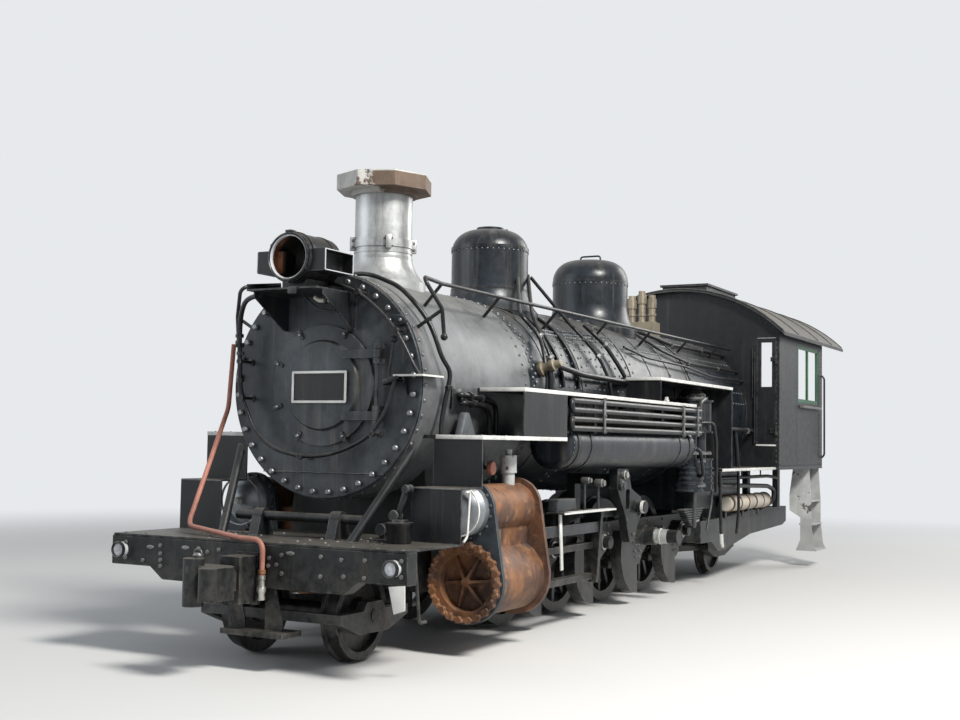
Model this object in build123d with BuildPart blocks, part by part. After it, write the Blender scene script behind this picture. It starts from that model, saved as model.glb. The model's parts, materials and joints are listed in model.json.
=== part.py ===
"""Narrow-gauge 2-8-2 steam locomotive with outside frames, its rods taken off.

Millimetres. +X is the locomotive's left, -Y is forward, +Z is up.
z = 0 is the floor that the wheel flanges stand on, and the origin is the
middle of the whole machine's box. Stations are distances behind the
smokebox front plate, turned into Y by at().
"""
import os
from math import cos, radians, sin, sqrt

from build123d import *

os.makedirs("parts", exist_ok=True)

# Fits: flat faces and seats, turning pins, moving leaves and guards
SEAT = 0.3
PIN_FIT = 0.5
LEAF_GAP = 6.0

# Reach ahead of and behind the smokebox front plate, which set the origin
REACH_AHEAD = 1560.0
REACH_BEHIND = 11870.0
FRONT_Y = (REACH_AHEAD - REACH_BEHIND) / 2

# Track and wheels
GAUGE = 914.0
FLANGE = 25.0
TYRE_WIDTH = 130.0
BACK_TO_BACK = GAUGE - 54.0
DRIVER_TREAD = 1118.0
TRUCK_TREAD = 711.0
AXLE_RADIUS = 90.0
TRUCK_AXLE_RADIUS = 70.0
DRIVER_STATION = 2200.0
DRIVER_SPACING = 1205.0
DRIVER_COUNT = 4
MAIN_DRIVER = 3
PILOT_STATION = -200.0
TRAILING_STATION = 8400.0

# Cranks outside the frames
FRAME_INSIDE = 625.0
FRAME_PLATE = 90.0
CRANK_GAP = 10.0
CRANK_HUB_LENGTH = 115.0
CRANK_WEB = 125.0
CRANK_THROW = 305.0
CRANK_HUB_RADIUS = 150.0
PIN_RADIUS = 65.0
PIN_LENGTH = 85.0
MAIN_PIN_LENGTH = 390.0
MAIN_PIN_RADIUS = 78.0
WEIGHT_RADIUS = 451.0
WEIGHT_HALF_ANGLE = 62.0
LEFT_PIN_ANGLE = 30.0
RIGHT_PIN_ANGLE = 120.0

# Boiler, smokebox and firebox
BOILER_Z = 2198.0
SMOKEBOX_RADIUS = 945.0
SMOKEBOX_SHELL = 16.0
SMOKEBOX_END = 1950.0
FRONT_PLATE = 25.0
DOOR_HOLE = 440.0
COURSE_RADIUS = 935.0
REAR_COURSE_RADIUS = 975.0
TAPER_START = 3200.0
TAPER_END = 4500.0
FIREBOX_START = 6450.0
FIREBOX_RADIUS = 990.0
FIREBOX_HALF_WIDTH = 900.0
FIREBOX_BOTTOM = 950.0
BAND_WIDTH = 60.0
BAND_HEIGHT = 6.0

# Smokebox door, its hinge and the blank plate
DOOR_RADIUS = 500.0
DOOR_RIM = 22.0
DOOR_RISE = 28.0
DOOR_PANEL = 380.0
HINGE_X = 560.0
HINGE_FORWARD = 62.0
HINGE_PIN = 16.0
HINGE_RISE = 252.0
STRAP_HEIGHT = 70.0
STRAP_THICK = 18.0
PLATE_WIDTH = 550.0
PLATE_HEIGHT = 265.0

# Headlight and its shelf
LAMP_Z = 3205.0
LAMP_RADIUS = 205.0
LAMP_FRONT = 520.0
LAMP_LENGTH = 440.0
LAMP_SHELL = 14.0
SHELF_TOP = 2955.0
SHELF_LEFT = 305.0
SHELF_RIGHT = 390.0
SHELF_REACH = 560.0
SHELF_PLATE = 14.0

# Chimney
STACK_STATION = 854.0
STACK_RADIUS = 256.0
STACK_WALL = 16.0
STACK_BASE_RADIUS = 385.0
STACK_CAP_Z = 3924.0
STACK_TOP = 4100.0
CAP_RADIUS = 433.0

# Domes
SAND_STATION = 2876.0
SAND_RADIUS = 395.0
SAND_SEAM = 3730.0
SAND_TOP = 3925.0
STEAM_STATION = 5446.0
STEAM_RADIUS = 450.0
STEAM_SEAM = 3676.0
STEAM_TOP = 3945.0
DOME_FLARE = 110.0
LID_RADIUS = 150.0
LID_THICK = 26.0
LID_PIN_BACK = 170.0
LID_PIN_RISE = 26.0
LID_PIN = 9.0
LID_EYE = 18.0
LID_LUG_HALF = 60.0
FILLER_RADIUS = 110.0

# Cylinders
CYLINDER_X = 1105.0
CYLINDER_Z = 606.0
CYLINDER_RADIUS = 296.0
CYLINDER_BORE = 254.0
CYLINDER_FRONT = 490.0
CYLINDER_LENGTH = 900.0
CYLINDER_FLANGE = 345.0
FLANGE_THICK = 42.0
VALVE_Z = 1194.0
VALVE_RADIUS = 205.0
VALVE_FLANGE = 250.0

# Frames and beam
FRAME_TOP = 900.0
FRAME_BOTTOM = 500.0
PEDESTAL_BOTTOM = 390.0
FRONT_RAIL_BOTTOM = 775.0
BEAM_STATION = -915.0
BEAM_THICK = 135.0
BEAM_WIDTH = 2820.0
BEAM_TOP = 950.0
BEAM_END_BOTTOM = 715.0
BEAM_LOW = 618.0
DECK_PLATE = 14.0

# Running boards
BOARD_OUT = 1400.0
BOARD_THICK = 30.0
LOW_BOARD_Z = 1802.0
HIGH_BOARD_Z = 2215.0
TOP_BOARD_Z = 2470.0
CAB_BOARD_Z = 1475.0

# Cab
CAB_STATION = 8570.0
CAB_LENGTH = 2360.0
CAB_HALF = 1449.0
CAB_FLOOR = 1465.0
CAB_WALL = 40.0
ROOF_RADIUS = 2197.0
ROOF_RIDGE = 3950.0
ROOF_OVERHANG = 101.0
ROOF_PLATE = 30.0
ROOF_FRONT = 8450.0


def at(station):
    """Y of a station behind the smokebox front plate."""
    return FRONT_Y + station


def face(y):
    """A sketch plane across the machine at y: x to the left, y up."""
    return Plane.XZ.offset(-y)


def side(x):
    """A sketch plane along the machine at x: x rearwards, y up."""
    return Plane.YZ.offset(x)


def level(z):
    """A level sketch plane at height z."""
    return Plane.XY.offset(z)


AXLE_Z = FLANGE + DRIVER_TREAD / 2
TRUCK_AXLE_Z = FLANGE + TRUCK_TREAD / 2
TYRE_INNER = BACK_TO_BACK / 2
FRAME_OUTSIDE = FRAME_INSIDE + FRAME_PLATE
CRANK_START = FRAME_OUTSIDE + CRANK_GAP
CRANK_INNER = CRANK_START + CRANK_HUB_LENGTH
CRANK_FACE = CRANK_INNER + CRANK_WEB
DRIVERS = [DRIVER_STATION + DRIVER_SPACING * number for number in range(DRIVER_COUNT)]
ROOF_HALF = CAB_HALF + ROOF_OVERHANG
ROOF_CENTRE = ROOF_RIDGE - ROOF_RADIUS
ROOF_UNDER = ROOF_RADIUS - ROOF_PLATE - SEAT
SIDE_TOP = ROOF_CENTRE + sqrt(ROOF_UNDER ** 2 - CAB_HALF ** 2)
CAB_REAR = CAB_STATION + CAB_LENGTH
SIDES = (("left", 1), ("right", -1))


# Truck pivots and frames
PILOT_PIVOT = 1100.0
PIVOT_TIE_LENGTH = 140.0
TRAILING_PIVOT = 6630.0
PIVOT_RADIUS = 40.0
PIVOT_LOW = 290.0
PIVOT_TIE_LOW = 440.0
TRUCK_FRAME_IN = 600.0
TRUCK_FRAME_PLATE = 80.0
TRUCK_FRAME_LOW = 290.0
TRUCK_FRAME_HIGH = 425.0

# Frames: two outside bar frames with pedestals, tied across
PEDESTAL_HALF = 210.0
WINDOW_LENGTH = 480.0
WINDOW_LOW = 580.0
WINDOW_HIGH = 790.0
FRAME_STEP = 300.0
FRAME_REAR = 6760.0
TIE_THICK = 70.0
TIE_LOW = 800.0
with BuildPart() as main_frames:
    with BuildSketch(side(FRAME_INSIDE)):
        with BuildLine():
            Polyline(
                (at(BEAM_STATION + BEAM_THICK), FRONT_RAIL_BOTTOM),
                (at(FRAME_STEP), FRONT_RAIL_BOTTOM),
                (at(FRAME_STEP + 120), FRAME_BOTTOM),
                (at(FRAME_REAR), FRAME_BOTTOM),
                (at(FRAME_REAR), FRAME_TOP),
                (at(BEAM_STATION + BEAM_THICK), FRAME_TOP),
                close=True,
            )
        make_face()
        for station in DRIVERS:
            with Locations((at(station), (PEDESTAL_BOTTOM + FRAME_BOTTOM) / 2)):
                Rectangle(2 * PEDESTAL_HALF, FRAME_BOTTOM - PEDESTAL_BOTTOM)
        for station in DRIVERS[:-1]:
            middle = at(station + DRIVER_SPACING / 2)
            with Locations((middle, (WINDOW_LOW + WINDOW_HIGH) / 2)):
                RectangleRounded(WINDOW_LENGTH, WINDOW_HIGH - WINDOW_LOW, 60, mode=Mode.SUBTRACT)
        for station in DRIVERS:
            with Locations((at(station), AXLE_Z)):
                Circle(AXLE_RADIUS + PIN_FIT, mode=Mode.SUBTRACT)
    extrude(amount=FRAME_PLATE)
    mirror(about=Plane.YZ)
    for pivot in (PILOT_PIVOT, TRAILING_PIVOT):
        with Locations((0, at(pivot), (PIVOT_TIE_LOW + FRAME_BOTTOM + PIVOT_RADIUS) / 2)):
            Box(2 * FRAME_INSIDE + 20, PIVOT_TIE_LENGTH, FRAME_BOTTOM + PIVOT_RADIUS - PIVOT_TIE_LOW)
        with Locations((0, at(pivot), (PIVOT_LOW + PIVOT_TIE_LOW) / 2)):
            Cylinder(PIVOT_RADIUS, PIVOT_TIE_LOW - PIVOT_LOW)
    tie_middle = (TIE_LOW + FRAME_TOP) / 2
    tie_places = [(0, at(station + DRIVER_SPACING / 2), tie_middle) for station in DRIVERS[:-1]]
    tie_places.append((0, at(FRAME_STEP - 100), tie_middle))
    tie_places.append((0, at(FRAME_REAR - TIE_THICK / 2), tie_middle))
    with Locations(*tie_places):
        Box(2 * FRAME_INSIDE, TIE_THICK, FRAME_TOP - TIE_LOW)
main_frames.part.label = "main_frames"
export_step(main_frames.part, "parts/main_frames.step")

# Pilot beam: a deep steel beam, lower between its chamfered ends
BEAM_MIDDLE_HALF = 869.0
BEAM_CHAMFER = 130.0
with BuildPart() as pilot_beam:
    with BuildSketch(face(at(BEAM_STATION))):
        with BuildLine():
            Polyline(
                (-BEAM_WIDTH / 2, BEAM_TOP),
                (-BEAM_WIDTH / 2, BEAM_END_BOTTOM),
                (-BEAM_MIDDLE_HALF - BEAM_CHAMFER, BEAM_END_BOTTOM),
                (-BEAM_MIDDLE_HALF, BEAM_LOW),
                (BEAM_MIDDLE_HALF, BEAM_LOW),
                (BEAM_MIDDLE_HALF + BEAM_CHAMFER, BEAM_END_BOTTOM),
                (BEAM_WIDTH / 2, BEAM_END_BOTTOM),
                (BEAM_WIDTH / 2, BEAM_TOP),
                close=True,
            )
        make_face()
    extrude(amount=-BEAM_THICK)
    front_edges = pilot_beam.edges().filter_by(Axis.X).group_by(Axis.Y)[0]
    chamfer(front_edges, 8)
pilot_beam.part.label = "pilot_beam"
export_step(pilot_beam.part, "parts/pilot_beam.step")

# Coupler: striking casting on the beam, shank, guard arm and a tall knuckle
COUPLER_Z = 690.0
HEAD_LENGTH = 330.0
HEAD_HALF = 165.0
HEAD_HEIGHT = 240.0
STRIKER_HALF = 95.0
STRIKER_REACH = 235.0
STRIKER_HEIGHT = 350.0
SHANK_WIDTH = 130.0
SHANK_HEIGHT = 150.0
KNUCKLE_X = -125.0
KNUCKLE_RADIUS = 78.0
KNUCKLE_HEIGHT = 350.0
COUPLER_FACE = REACH_AHEAD + BEAM_STATION
with BuildPart() as front_coupler:
    tip = at(-REACH_AHEAD)
    back = tip + HEAD_LENGTH
    with BuildSketch(level(COUPLER_Z - HEAD_HEIGHT / 2)):
        with BuildLine():
            Polyline(
                (-HEAD_HALF, back),
                (-HEAD_HALF, tip + 120),
                (-HEAD_HALF + 40, tip + 70),
                (-60, tip + 130),
                (-20, tip + 130),
            )
            Line((-20, tip + 130), (20, tip + 40))
            ThreePointArc((20, tip + 40), (95, tip), (HEAD_HALF, tip + 90))
            Polyline((HEAD_HALF, tip + 90), (HEAD_HALF, back - 60), (80, back), (-HEAD_HALF, back))
        make_face()
    extrude(amount=HEAD_HEIGHT)
    with Locations((KNUCKLE_X, tip + 2 * KNUCKLE_RADIUS, COUPLER_Z)):
        Cylinder(KNUCKLE_RADIUS, KNUCKLE_HEIGHT)
    shank_length = COUPLER_FACE - HEAD_LENGTH
    with Locations((0, at(BEAM_STATION) - shank_length / 2, COUPLER_Z)):
        Box(SHANK_WIDTH, shank_length, SHANK_HEIGHT)
    with Locations((0, at(BEAM_STATION) - SEAT - STRIKER_REACH / 2, COUPLER_Z)):
        Box(2 * STRIKER_HALF, STRIKER_REACH, STRIKER_HEIGHT)
    with Locations((0, at(BEAM_STATION) - SEAT - 15, COUPLER_Z)):
        Box(2 * STRIKER_HALF + 20, 30, STRIKER_HEIGHT + 40)
front_coupler.part.label = "front_coupler"
export_step(front_coupler.part, "parts/front_coupler.step")

# Pilot deck: plate behind the beam with raised side plates
DECK_HALF = 1395.0
DECK_REAR = 330.0
DECK_WING = -100.0
DECK_POST = 500.0
DECK_POST_STATION = -300.0
with BuildPart() as pilot_deck:
    with BuildSketch(level(BEAM_TOP + SEAT)):
        with BuildLine():
            Polyline(
                (-DECK_HALF, at(BEAM_STATION)),
                (DECK_HALF, at(BEAM_STATION)),
                (DECK_HALF, at(DECK_WING)),
                (FRAME_OUTSIDE, at(DECK_WING)),
                (FRAME_OUTSIDE, at(DECK_REAR)),
                (-FRAME_OUTSIDE, at(DECK_REAR)),
                (-FRAME_OUTSIDE, at(DECK_WING)),
                (-DECK_HALF, at(DECK_WING)),
                close=True,
            )
        make_face()
    extrude(amount=DECK_PLATE)
    post_height = BEAM_TOP - FRAME_TOP
    with Locations(
        (FRAME_INSIDE + FRAME_PLATE / 2, at(DECK_POST_STATION), BEAM_TOP + SEAT - post_height / 2),
        (-FRAME_INSIDE - FRAME_PLATE / 2, at(DECK_POST_STATION), BEAM_TOP + SEAT - post_height / 2),
    ):
        Box(FRAME_PLATE, DECK_POST, post_height)
pilot_deck.part.label = "pilot_deck"
export_step(pilot_deck.part, "parts/pilot_deck.step")

# Cross shaft over the deck with its two bearing brackets
SHAFT_Z = 1122.0
SHAFT_STATION = -300.0
SHAFT_HALF = 620.0
SHAFT_RADIUS = 38.0
BEARING_X = 380.0
BEARING_WIDTH = 90.0
BEARING_RADIUS = 62.0
BEARING_FOOT = 110.0
DECK_TOP = BEAM_TOP + SEAT + DECK_PLATE
with BuildPart() as deck_shaft:
    with Locations((0, at(SHAFT_STATION), SHAFT_Z)):
        Cylinder(SHAFT_RADIUS, 2 * SHAFT_HALF, rotation=(0, 90, 0))
    for bearing_x in (-BEARING_X, BEARING_X):
        with BuildSketch(side(bearing_x - BEARING_WIDTH / 2)):
            with BuildLine():
                shaft_y = at(SHAFT_STATION)
                Polyline(
                    (shaft_y - BEARING_RADIUS, SHAFT_Z),
                    (shaft_y - BEARING_FOOT, DECK_TOP + SEAT),
                    (shaft_y + BEARING_FOOT, DECK_TOP + SEAT),
                    (shaft_y + BEARING_RADIUS, SHAFT_Z),
                )
                ThreePointArc(
                    (shaft_y + BEARING_RADIUS, SHAFT_Z),
                    (shaft_y, SHAFT_Z + BEARING_RADIUS),
                    (shaft_y - BEARING_RADIUS, SHAFT_Z),
                )
            make_face()
        extrude(amount=BEARING_WIDTH)
deck_shaft.part.label = "deck_shaft"
export_step(deck_shaft.part, "parts/deck_shaft.step")

# Low footboard hung under the middle of the beam on two gusset plates
FOOT_TOP = 300.0
FOOT_THICK = 40.0
FOOT_LEFT = 370.0
FOOT_RIGHT = 220.0
FOOT_DEPTH = 240.0
FOOT_HANGER = 160.0
with BuildPart() as footboards:
    foot_middle = (FOOT_LEFT - FOOT_RIGHT) / 2
    with Locations((foot_middle, at(BEAM_STATION) + FOOT_DEPTH / 4, FOOT_TOP - FOOT_THICK / 2)):
        Box(FOOT_LEFT + FOOT_RIGHT, FOOT_DEPTH, FOOT_THICK)
    for hanger_x in (FOOT_LEFT - FOOT_HANGER, -FOOT_RIGHT + FOOT_HANGER / 2):
        with BuildSketch(face(at(BEAM_STATION + 40))):
            with BuildLine():
                Polyline(
                    (hanger_x - FOOT_HANGER / 2, FOOT_TOP - 1),
                    (hanger_x + FOOT_HANGER / 2, FOOT_TOP - 1),
                    (hanger_x + FOOT_HANGER / 2, FOOT_TOP + 60),
                    (hanger_x + 10, BEAM_LOW - SEAT),
                    (hanger_x - FOOT_HANGER / 2, BEAM_LOW - SEAT),
                    close=True,
                )
            make_face()
        extrude(amount=-16)
footboards.part.label = "footboards"
export_step(footboards.part, "parts/footboards.step")

# Round lamps on the ends of the beam
END_LAMP_X = 1300.0
END_LAMP_Z = 835.0
END_LAMP_RADIUS = 62.0
END_LAMP_DEPTH = 50.0
with BuildPart() as beam_lamps:
    for end in (1, -1):
        lamp_centre = (end * END_LAMP_X, at(BEAM_STATION) - SEAT, END_LAMP_Z)
        with BuildSketch(Plane(origin=lamp_centre, x_dir=(1, 0, 0), z_dir=(0, -1, 0))):
            Circle(END_LAMP_RADIUS)
        extrude(amount=END_LAMP_DEPTH)
    lamp_rims = beam_lamps.edges().filter_by(GeomType.CIRCLE).group_by(Axis.Y)[0]
    fillet(lamp_rims, 14)
beam_lamps.part.label = "beam_lamps"
export_step(beam_lamps.part, "parts/beam_lamps.step")

# Front steps of bent plate, from the deck up to the running boards
STEP_IN = 950.0
STEP_OUT = 1400.0
STEP_FRONT = -130.0
STEP_REAR = 200.0
STEP_TOP = 1390.0
STEP_WALL = 12.0
LOW_BOARD_UNDER = LOW_BOARD_Z - BOARD_THICK
with BuildPart() as step_boxes:
    with BuildSketch(side(STEP_IN)):
        with BuildLine():
            Polyline(
                (at(STEP_FRONT), DECK_TOP + SEAT),
                (at(STEP_FRONT), STEP_TOP),
                (at(STEP_REAR), STEP_TOP),
                (at(STEP_REAR), LOW_BOARD_UNDER - SEAT),
                (at(STEP_REAR) + STEP_WALL, LOW_BOARD_UNDER - SEAT),
                (at(STEP_REAR) + STEP_WALL, STEP_TOP - STEP_WALL),
                (at(STEP_FRONT) + STEP_WALL, STEP_TOP - STEP_WALL),
                (at(STEP_FRONT) + STEP_WALL, DECK_TOP + SEAT),
                close=True,
            )
        make_face()
    extrude(amount=STEP_OUT - STEP_IN)
    mirror(about=Plane.YZ)
step_boxes.part.label = "step_boxes"
export_step(step_boxes.part, "parts/step_boxes.step")

# Smokebox shell, open at the front and under the chimney
with BuildPart() as smokebox:
    with BuildSketch(face(at(FRONT_PLATE + SEAT))):
        with Locations((0, BOILER_Z)):
            Circle(SMOKEBOX_RADIUS)
            Circle(SMOKEBOX_RADIUS - SMOKEBOX_SHELL, mode=Mode.SUBTRACT)
    extrude(amount=-(SMOKEBOX_END - FRONT_PLATE - SEAT))
    with BuildSketch(level(BOILER_Z)):
        with Locations((0, at(STACK_STATION))):
            Circle(STACK_RADIUS - STACK_WALL)
    extrude(amount=2 * SMOKEBOX_RADIUS, mode=Mode.SUBTRACT)
smokebox.part.label = "smokebox"
export_step(smokebox.part, "parts/smokebox.step")

# Smokebox front plate with the door hole and the fixed hinge lugs
FRONT_EDGE = 10.0
HINGE_EYE = 34.0
LUG_THICK = 40.0
LUG_PLAY = 6.0
with BuildPart() as smokebox_front:
    with BuildSketch(face(at(0))):
        with Locations((0, BOILER_Z)):
            Circle(SMOKEBOX_RADIUS - 5)
            Circle(DOOR_HOLE, mode=Mode.SUBTRACT)
    extrude(amount=-FRONT_PLATE)
    front_circles = smokebox_front.edges().filter_by(GeomType.CIRCLE).group_by(Axis.Y)[0]
    fillet(front_circles.sort_by(SortBy.LENGTH)[-1], FRONT_EDGE)
    lug_offset = STRAP_HEIGHT / 2 + LUG_THICK / 2 + LUG_PLAY
    lug_heights = (
        BOILER_Z + HINGE_RISE + lug_offset,
        BOILER_Z + HINGE_RISE - lug_offset,
        BOILER_Z - HINGE_RISE + lug_offset,
        BOILER_Z - HINGE_RISE - lug_offset,
    )
    for lug_z in lug_heights:
        with BuildSketch(level(lug_z - LUG_THICK / 2)):
            with Locations((HINGE_X, at(-HINGE_FORWARD))):
                Circle(HINGE_EYE)
            with Locations((HINGE_X + HINGE_EYE / 2, at(-HINGE_FORWARD / 2))):
                Rectangle(HINGE_EYE, HINGE_FORWARD)
        extrude(amount=LUG_THICK)
    with BuildSketch(level(BOILER_Z - HINGE_RISE - 110)):
        with Locations((HINGE_X, at(-HINGE_FORWARD))):
            Circle(HINGE_PIN)
    extrude(amount=2 * HINGE_RISE + 220)
smokebox_front.part.label = "smokebox_front"
export_step(smokebox_front.part, "parts/smokebox_front.step")

# Small corner step on the left of the smokebox front, on a gusset
CORNER_Z = 2275.0
CORNER_IN = 740.0
CORNER_OUT = 1020.0
CORNER_AHEAD = 105.0
CORNER_BACK = 220.0
CORNER_PLATE = 12.0
CORNER_GUSSET = 150.0
with BuildPart() as front_steps:
    corner_x = (CORNER_IN + CORNER_OUT) / 2
    with Locations((corner_x, at((CORNER_BACK - CORNER_AHEAD) / 2), CORNER_Z - CORNER_PLATE / 2)):
        Box(CORNER_OUT - CORNER_IN, CORNER_AHEAD + CORNER_BACK, CORNER_PLATE)
    with BuildSketch(side(CORNER_IN + CORNER_GUSSET / 2)):
        with BuildLine():
            Polyline(
                (at(-SEAT), CORNER_Z - CORNER_PLATE),
                (at(-CORNER_AHEAD + CORNER_PLATE), CORNER_Z - CORNER_PLATE),
                (at(-SEAT), CORNER_Z - CORNER_PLATE - CORNER_GUSSET),
                close=True,
            )
        make_face()
    extrude(amount=CORNER_PLATE)
    shell_length = 2 * CORNER_BACK + 2 * SEAT
    with Locations((0, at(CORNER_BACK), BOILER_Z)):
        Cylinder(SMOKEBOX_RADIUS + SEAT, shell_length, rotation=(90, 0, 0), mode=Mode.SUBTRACT)
front_steps.part.label = "front_steps"
export_step(front_steps.part, "parts/front_steps.step")

# Smokebox door: flat rim, raised panel, two strap hinges round the pin
DOOR_BACK = -LEAF_GAP
STRAP_START = 230.0
with BuildPart() as smokebox_door:
    with BuildSketch(face(at(DOOR_BACK))):
        with Locations((0, BOILER_Z)):
            Circle(DOOR_RADIUS)
    extrude(amount=DOOR_RIM)
    with BuildSketch(face(at(DOOR_BACK - DOOR_RIM))):
        with Locations((0, BOILER_Z)):
            Circle(DOOR_PANEL)
    extrude(amount=DOOR_RISE, taper=35)
    for strap_z in (BOILER_Z + HINGE_RISE, BOILER_Z - HINGE_RISE):
        with BuildSketch(level(strap_z - STRAP_HEIGHT / 2)):
            with Locations(((HINGE_X + STRAP_START) / 2, at(-HINGE_FORWARD + STRAP_THICK / 2))):
                Rectangle(HINGE_X - STRAP_START, STRAP_THICK + 22)
            with Locations((HINGE_X, at(-HINGE_FORWARD))):
                Circle(HINGE_EYE)
                Circle(HINGE_PIN + PIN_FIT, mode=Mode.SUBTRACT)
        extrude(amount=STRAP_HEIGHT)
smokebox_door.part.label = "smokebox_door"
export_step(smokebox_door.part, "parts/smokebox_door.step")

# Blank name plate with a raised edge, bolted on the door panel
PLATE_THICK = 14.0
PLATE_CORNER = 12.0
PLATE_BORDER = 20.0
PLATE_BORDER_RISE = 8.0
PLATE_BACK = DOOR_BACK - DOOR_RIM - DOOR_RISE - SEAT
PLATE_Z = BOILER_Z - 16
with BuildPart() as number_plate:
    with BuildSketch(face(at(PLATE_BACK))):
        with Locations((0, PLATE_Z)):
            RectangleRounded(PLATE_WIDTH, PLATE_HEIGHT, PLATE_CORNER)
    extrude(amount=PLATE_THICK)
    plate_field_width = PLATE_WIDTH - 2 * PLATE_BORDER
    plate_field_height = PLATE_HEIGHT - 2 * PLATE_BORDER
    with BuildSketch(face(at(PLATE_BACK - PLATE_THICK))):
        with Locations((0, PLATE_Z)):
            RectangleRounded(PLATE_WIDTH, PLATE_HEIGHT, PLATE_CORNER)
            RectangleRounded(plate_field_width, plate_field_height, PLATE_CORNER / 2, mode=Mode.SUBTRACT)
    extrude(amount=PLATE_BORDER_RISE)
number_plate.part.label = "number_plate"
export_step(number_plate.part, "parts/number_plate.step")

# Headlight: an open drum with a bowl inside, and an open box on each side
LAMP_REAR = -LAMP_FRONT + LAMP_LENGTH
BOX_IN = 120.0
BOX_OUT = 330.0
BOX_LOW = 3085.0
BOX_HIGH = 3265.0
BOX_SETBACK = 20.0
BOX_WALL = 12.0
BOX_OPEN_DEPTH = 100.0
BOWL_START = 70.0
BOWL_DEPTH = 330.0
BOWL_SIDE = 262.0
BOWL_SIDE_RADIUS = 108.0
with BuildPart() as headlight:
    with BuildSketch(Plane.YZ):
        with BuildLine():
            lamp_tip = at(-LAMP_FRONT)
            Polyline(
                (lamp_tip + BOWL_START, LAMP_Z + LAMP_RADIUS - LAMP_SHELL),
                (lamp_tip, LAMP_Z + LAMP_RADIUS - LAMP_SHELL),
                (lamp_tip, LAMP_Z + LAMP_RADIUS),
                (at(LAMP_REAR), LAMP_Z + LAMP_RADIUS),
                (at(LAMP_REAR), LAMP_Z),
                (lamp_tip + BOWL_DEPTH, LAMP_Z),
            )
            ThreePointArc(
                (lamp_tip + BOWL_DEPTH, LAMP_Z),
                (lamp_tip + BOWL_SIDE, LAMP_Z + BOWL_SIDE_RADIUS),
                (lamp_tip + BOWL_START, LAMP_Z + LAMP_RADIUS - LAMP_SHELL),
            )
        make_face()
    revolve(axis=Axis((0, 0, LAMP_Z), (0, 1, 0)))
    for end in (1, -1):
        box_length = LAMP_LENGTH - 2 * BOX_SETBACK
        box_height = BOX_HIGH - BOX_LOW
        box_y = at(-LAMP_FRONT + BOX_SETBACK + box_length / 2)
        box_z = (BOX_LOW + BOX_HIGH) / 2
        with Locations((end * (BOX_OUT + BOX_IN) / 2, box_y, box_z)):
            Box(BOX_OUT - BOX_IN, box_length, box_height)
        open_length = box_length - 2 * BOX_WALL
        open_height = box_height - 2 * BOX_WALL
        with Locations((end * (BOX_OUT - BOX_OPEN_DEPTH / 2), box_y, box_z)):
            Box(BOX_OPEN_DEPTH, open_length, open_height, mode=Mode.SUBTRACT)
    with Locations((0, at(-LAMP_FRONT), LAMP_Z)):
        Cylinder(LAMP_RADIUS - LAMP_SHELL, 2 * BOWL_START, rotation=(90, 0, 0), mode=Mode.SUBTRACT)
headlight.part.label = "headlight"
export_step(headlight.part, "parts/headlight.step")

# Shelf in front of the smokebox top, its brackets and the lamp's saddle
SHELF_BRACKET = 12.0
SHELF_BRACKET_DROP = 300.0
LAMP_SADDLE_WIDTH = 230.0
LAMP_SADDLE_LENGTH = 300.0
with BuildPart() as headlight_shelf:
    shelf_middle = (SHELF_LEFT - SHELF_RIGHT) / 2
    with Locations((shelf_middle, at(-SHELF_REACH / 2 - SEAT), SHELF_TOP - SHELF_PLATE / 2)):
        Box(SHELF_LEFT + SHELF_RIGHT, SHELF_REACH, SHELF_PLATE)
    for bracket_x in (-SHELF_RIGHT, SHELF_LEFT - SHELF_BRACKET):
        with BuildSketch(side(bracket_x)):
            with BuildLine():
                Polyline(
                    (at(-SEAT), SHELF_TOP - SHELF_PLATE),
                    (at(-SHELF_REACH + 90), SHELF_TOP - SHELF_PLATE),
                    (at(-SHELF_REACH + 90), SHELF_TOP - SHELF_PLATE - 40),
                    (at(-SEAT - 60), SHELF_TOP - SHELF_BRACKET_DROP),
                    (at(-SEAT), SHELF_TOP - SHELF_BRACKET_DROP),
                    close=True,
                )
            make_face()
        extrude(amount=SHELF_BRACKET)
    with Locations((0, at(-LAMP_FRONT + LAMP_LENGTH / 2), (SHELF_TOP + LAMP_Z) / 2)):
        Box(LAMP_SADDLE_WIDTH, LAMP_SADDLE_LENGTH, LAMP_Z - SHELF_TOP)
    with Locations((0, at(-LAMP_FRONT + LAMP_LENGTH / 2), LAMP_Z)):
        Cylinder(LAMP_RADIUS + SEAT, 2 * LAMP_LENGTH, rotation=(90, 0, 0), mode=Mode.SUBTRACT)
headlight_shelf.part.label = "headlight_shelf"
export_step(headlight_shelf.part, "parts/headlight_shelf.step")

# Chimney: barrel, riveted flare and seam bands, seated on the smokebox
FLARE_TOP = 3420.0
FLARE_LOW = 3040.0
with BuildPart() as stack:
    with BuildSketch(Plane.XZ.offset(-at(STACK_STATION))):
        with BuildLine():
            inner = STACK_RADIUS - STACK_WALL
            Polyline(
                (STACK_RADIUS, FLARE_TOP),
                (STACK_RADIUS, STACK_CAP_Z),
                (inner, STACK_CAP_Z),
                (inner, FLARE_LOW),
                (STACK_BASE_RADIUS, FLARE_LOW),
                (STACK_BASE_RADIUS, FLARE_LOW + 105),
            )
            ThreePointArc(
                (STACK_BASE_RADIUS, FLARE_LOW + 105),
                (STACK_RADIUS + 34, FLARE_TOP - 150),
                (STACK_RADIUS, FLARE_TOP),
            )
        make_face()
    revolve(axis=Axis((0, at(STACK_STATION), 0), (0, 0, 1)))
    with Locations((0, at(STACK_STATION), FLARE_TOP - 60)):
        Cylinder(STACK_RADIUS + 8, 34)
    with Locations((0, at(STACK_STATION), STACK_CAP_Z / 2)):
        Cylinder(inner, STACK_CAP_Z + 10, mode=Mode.SUBTRACT)
    with Locations((0, at(STACK_STATION), BOILER_Z)):
        Cylinder(SMOKEBOX_RADIUS + SEAT, 2000, rotation=(90, 0, 0), mode=Mode.SUBTRACT)
stack.part.label = "stack"
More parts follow.
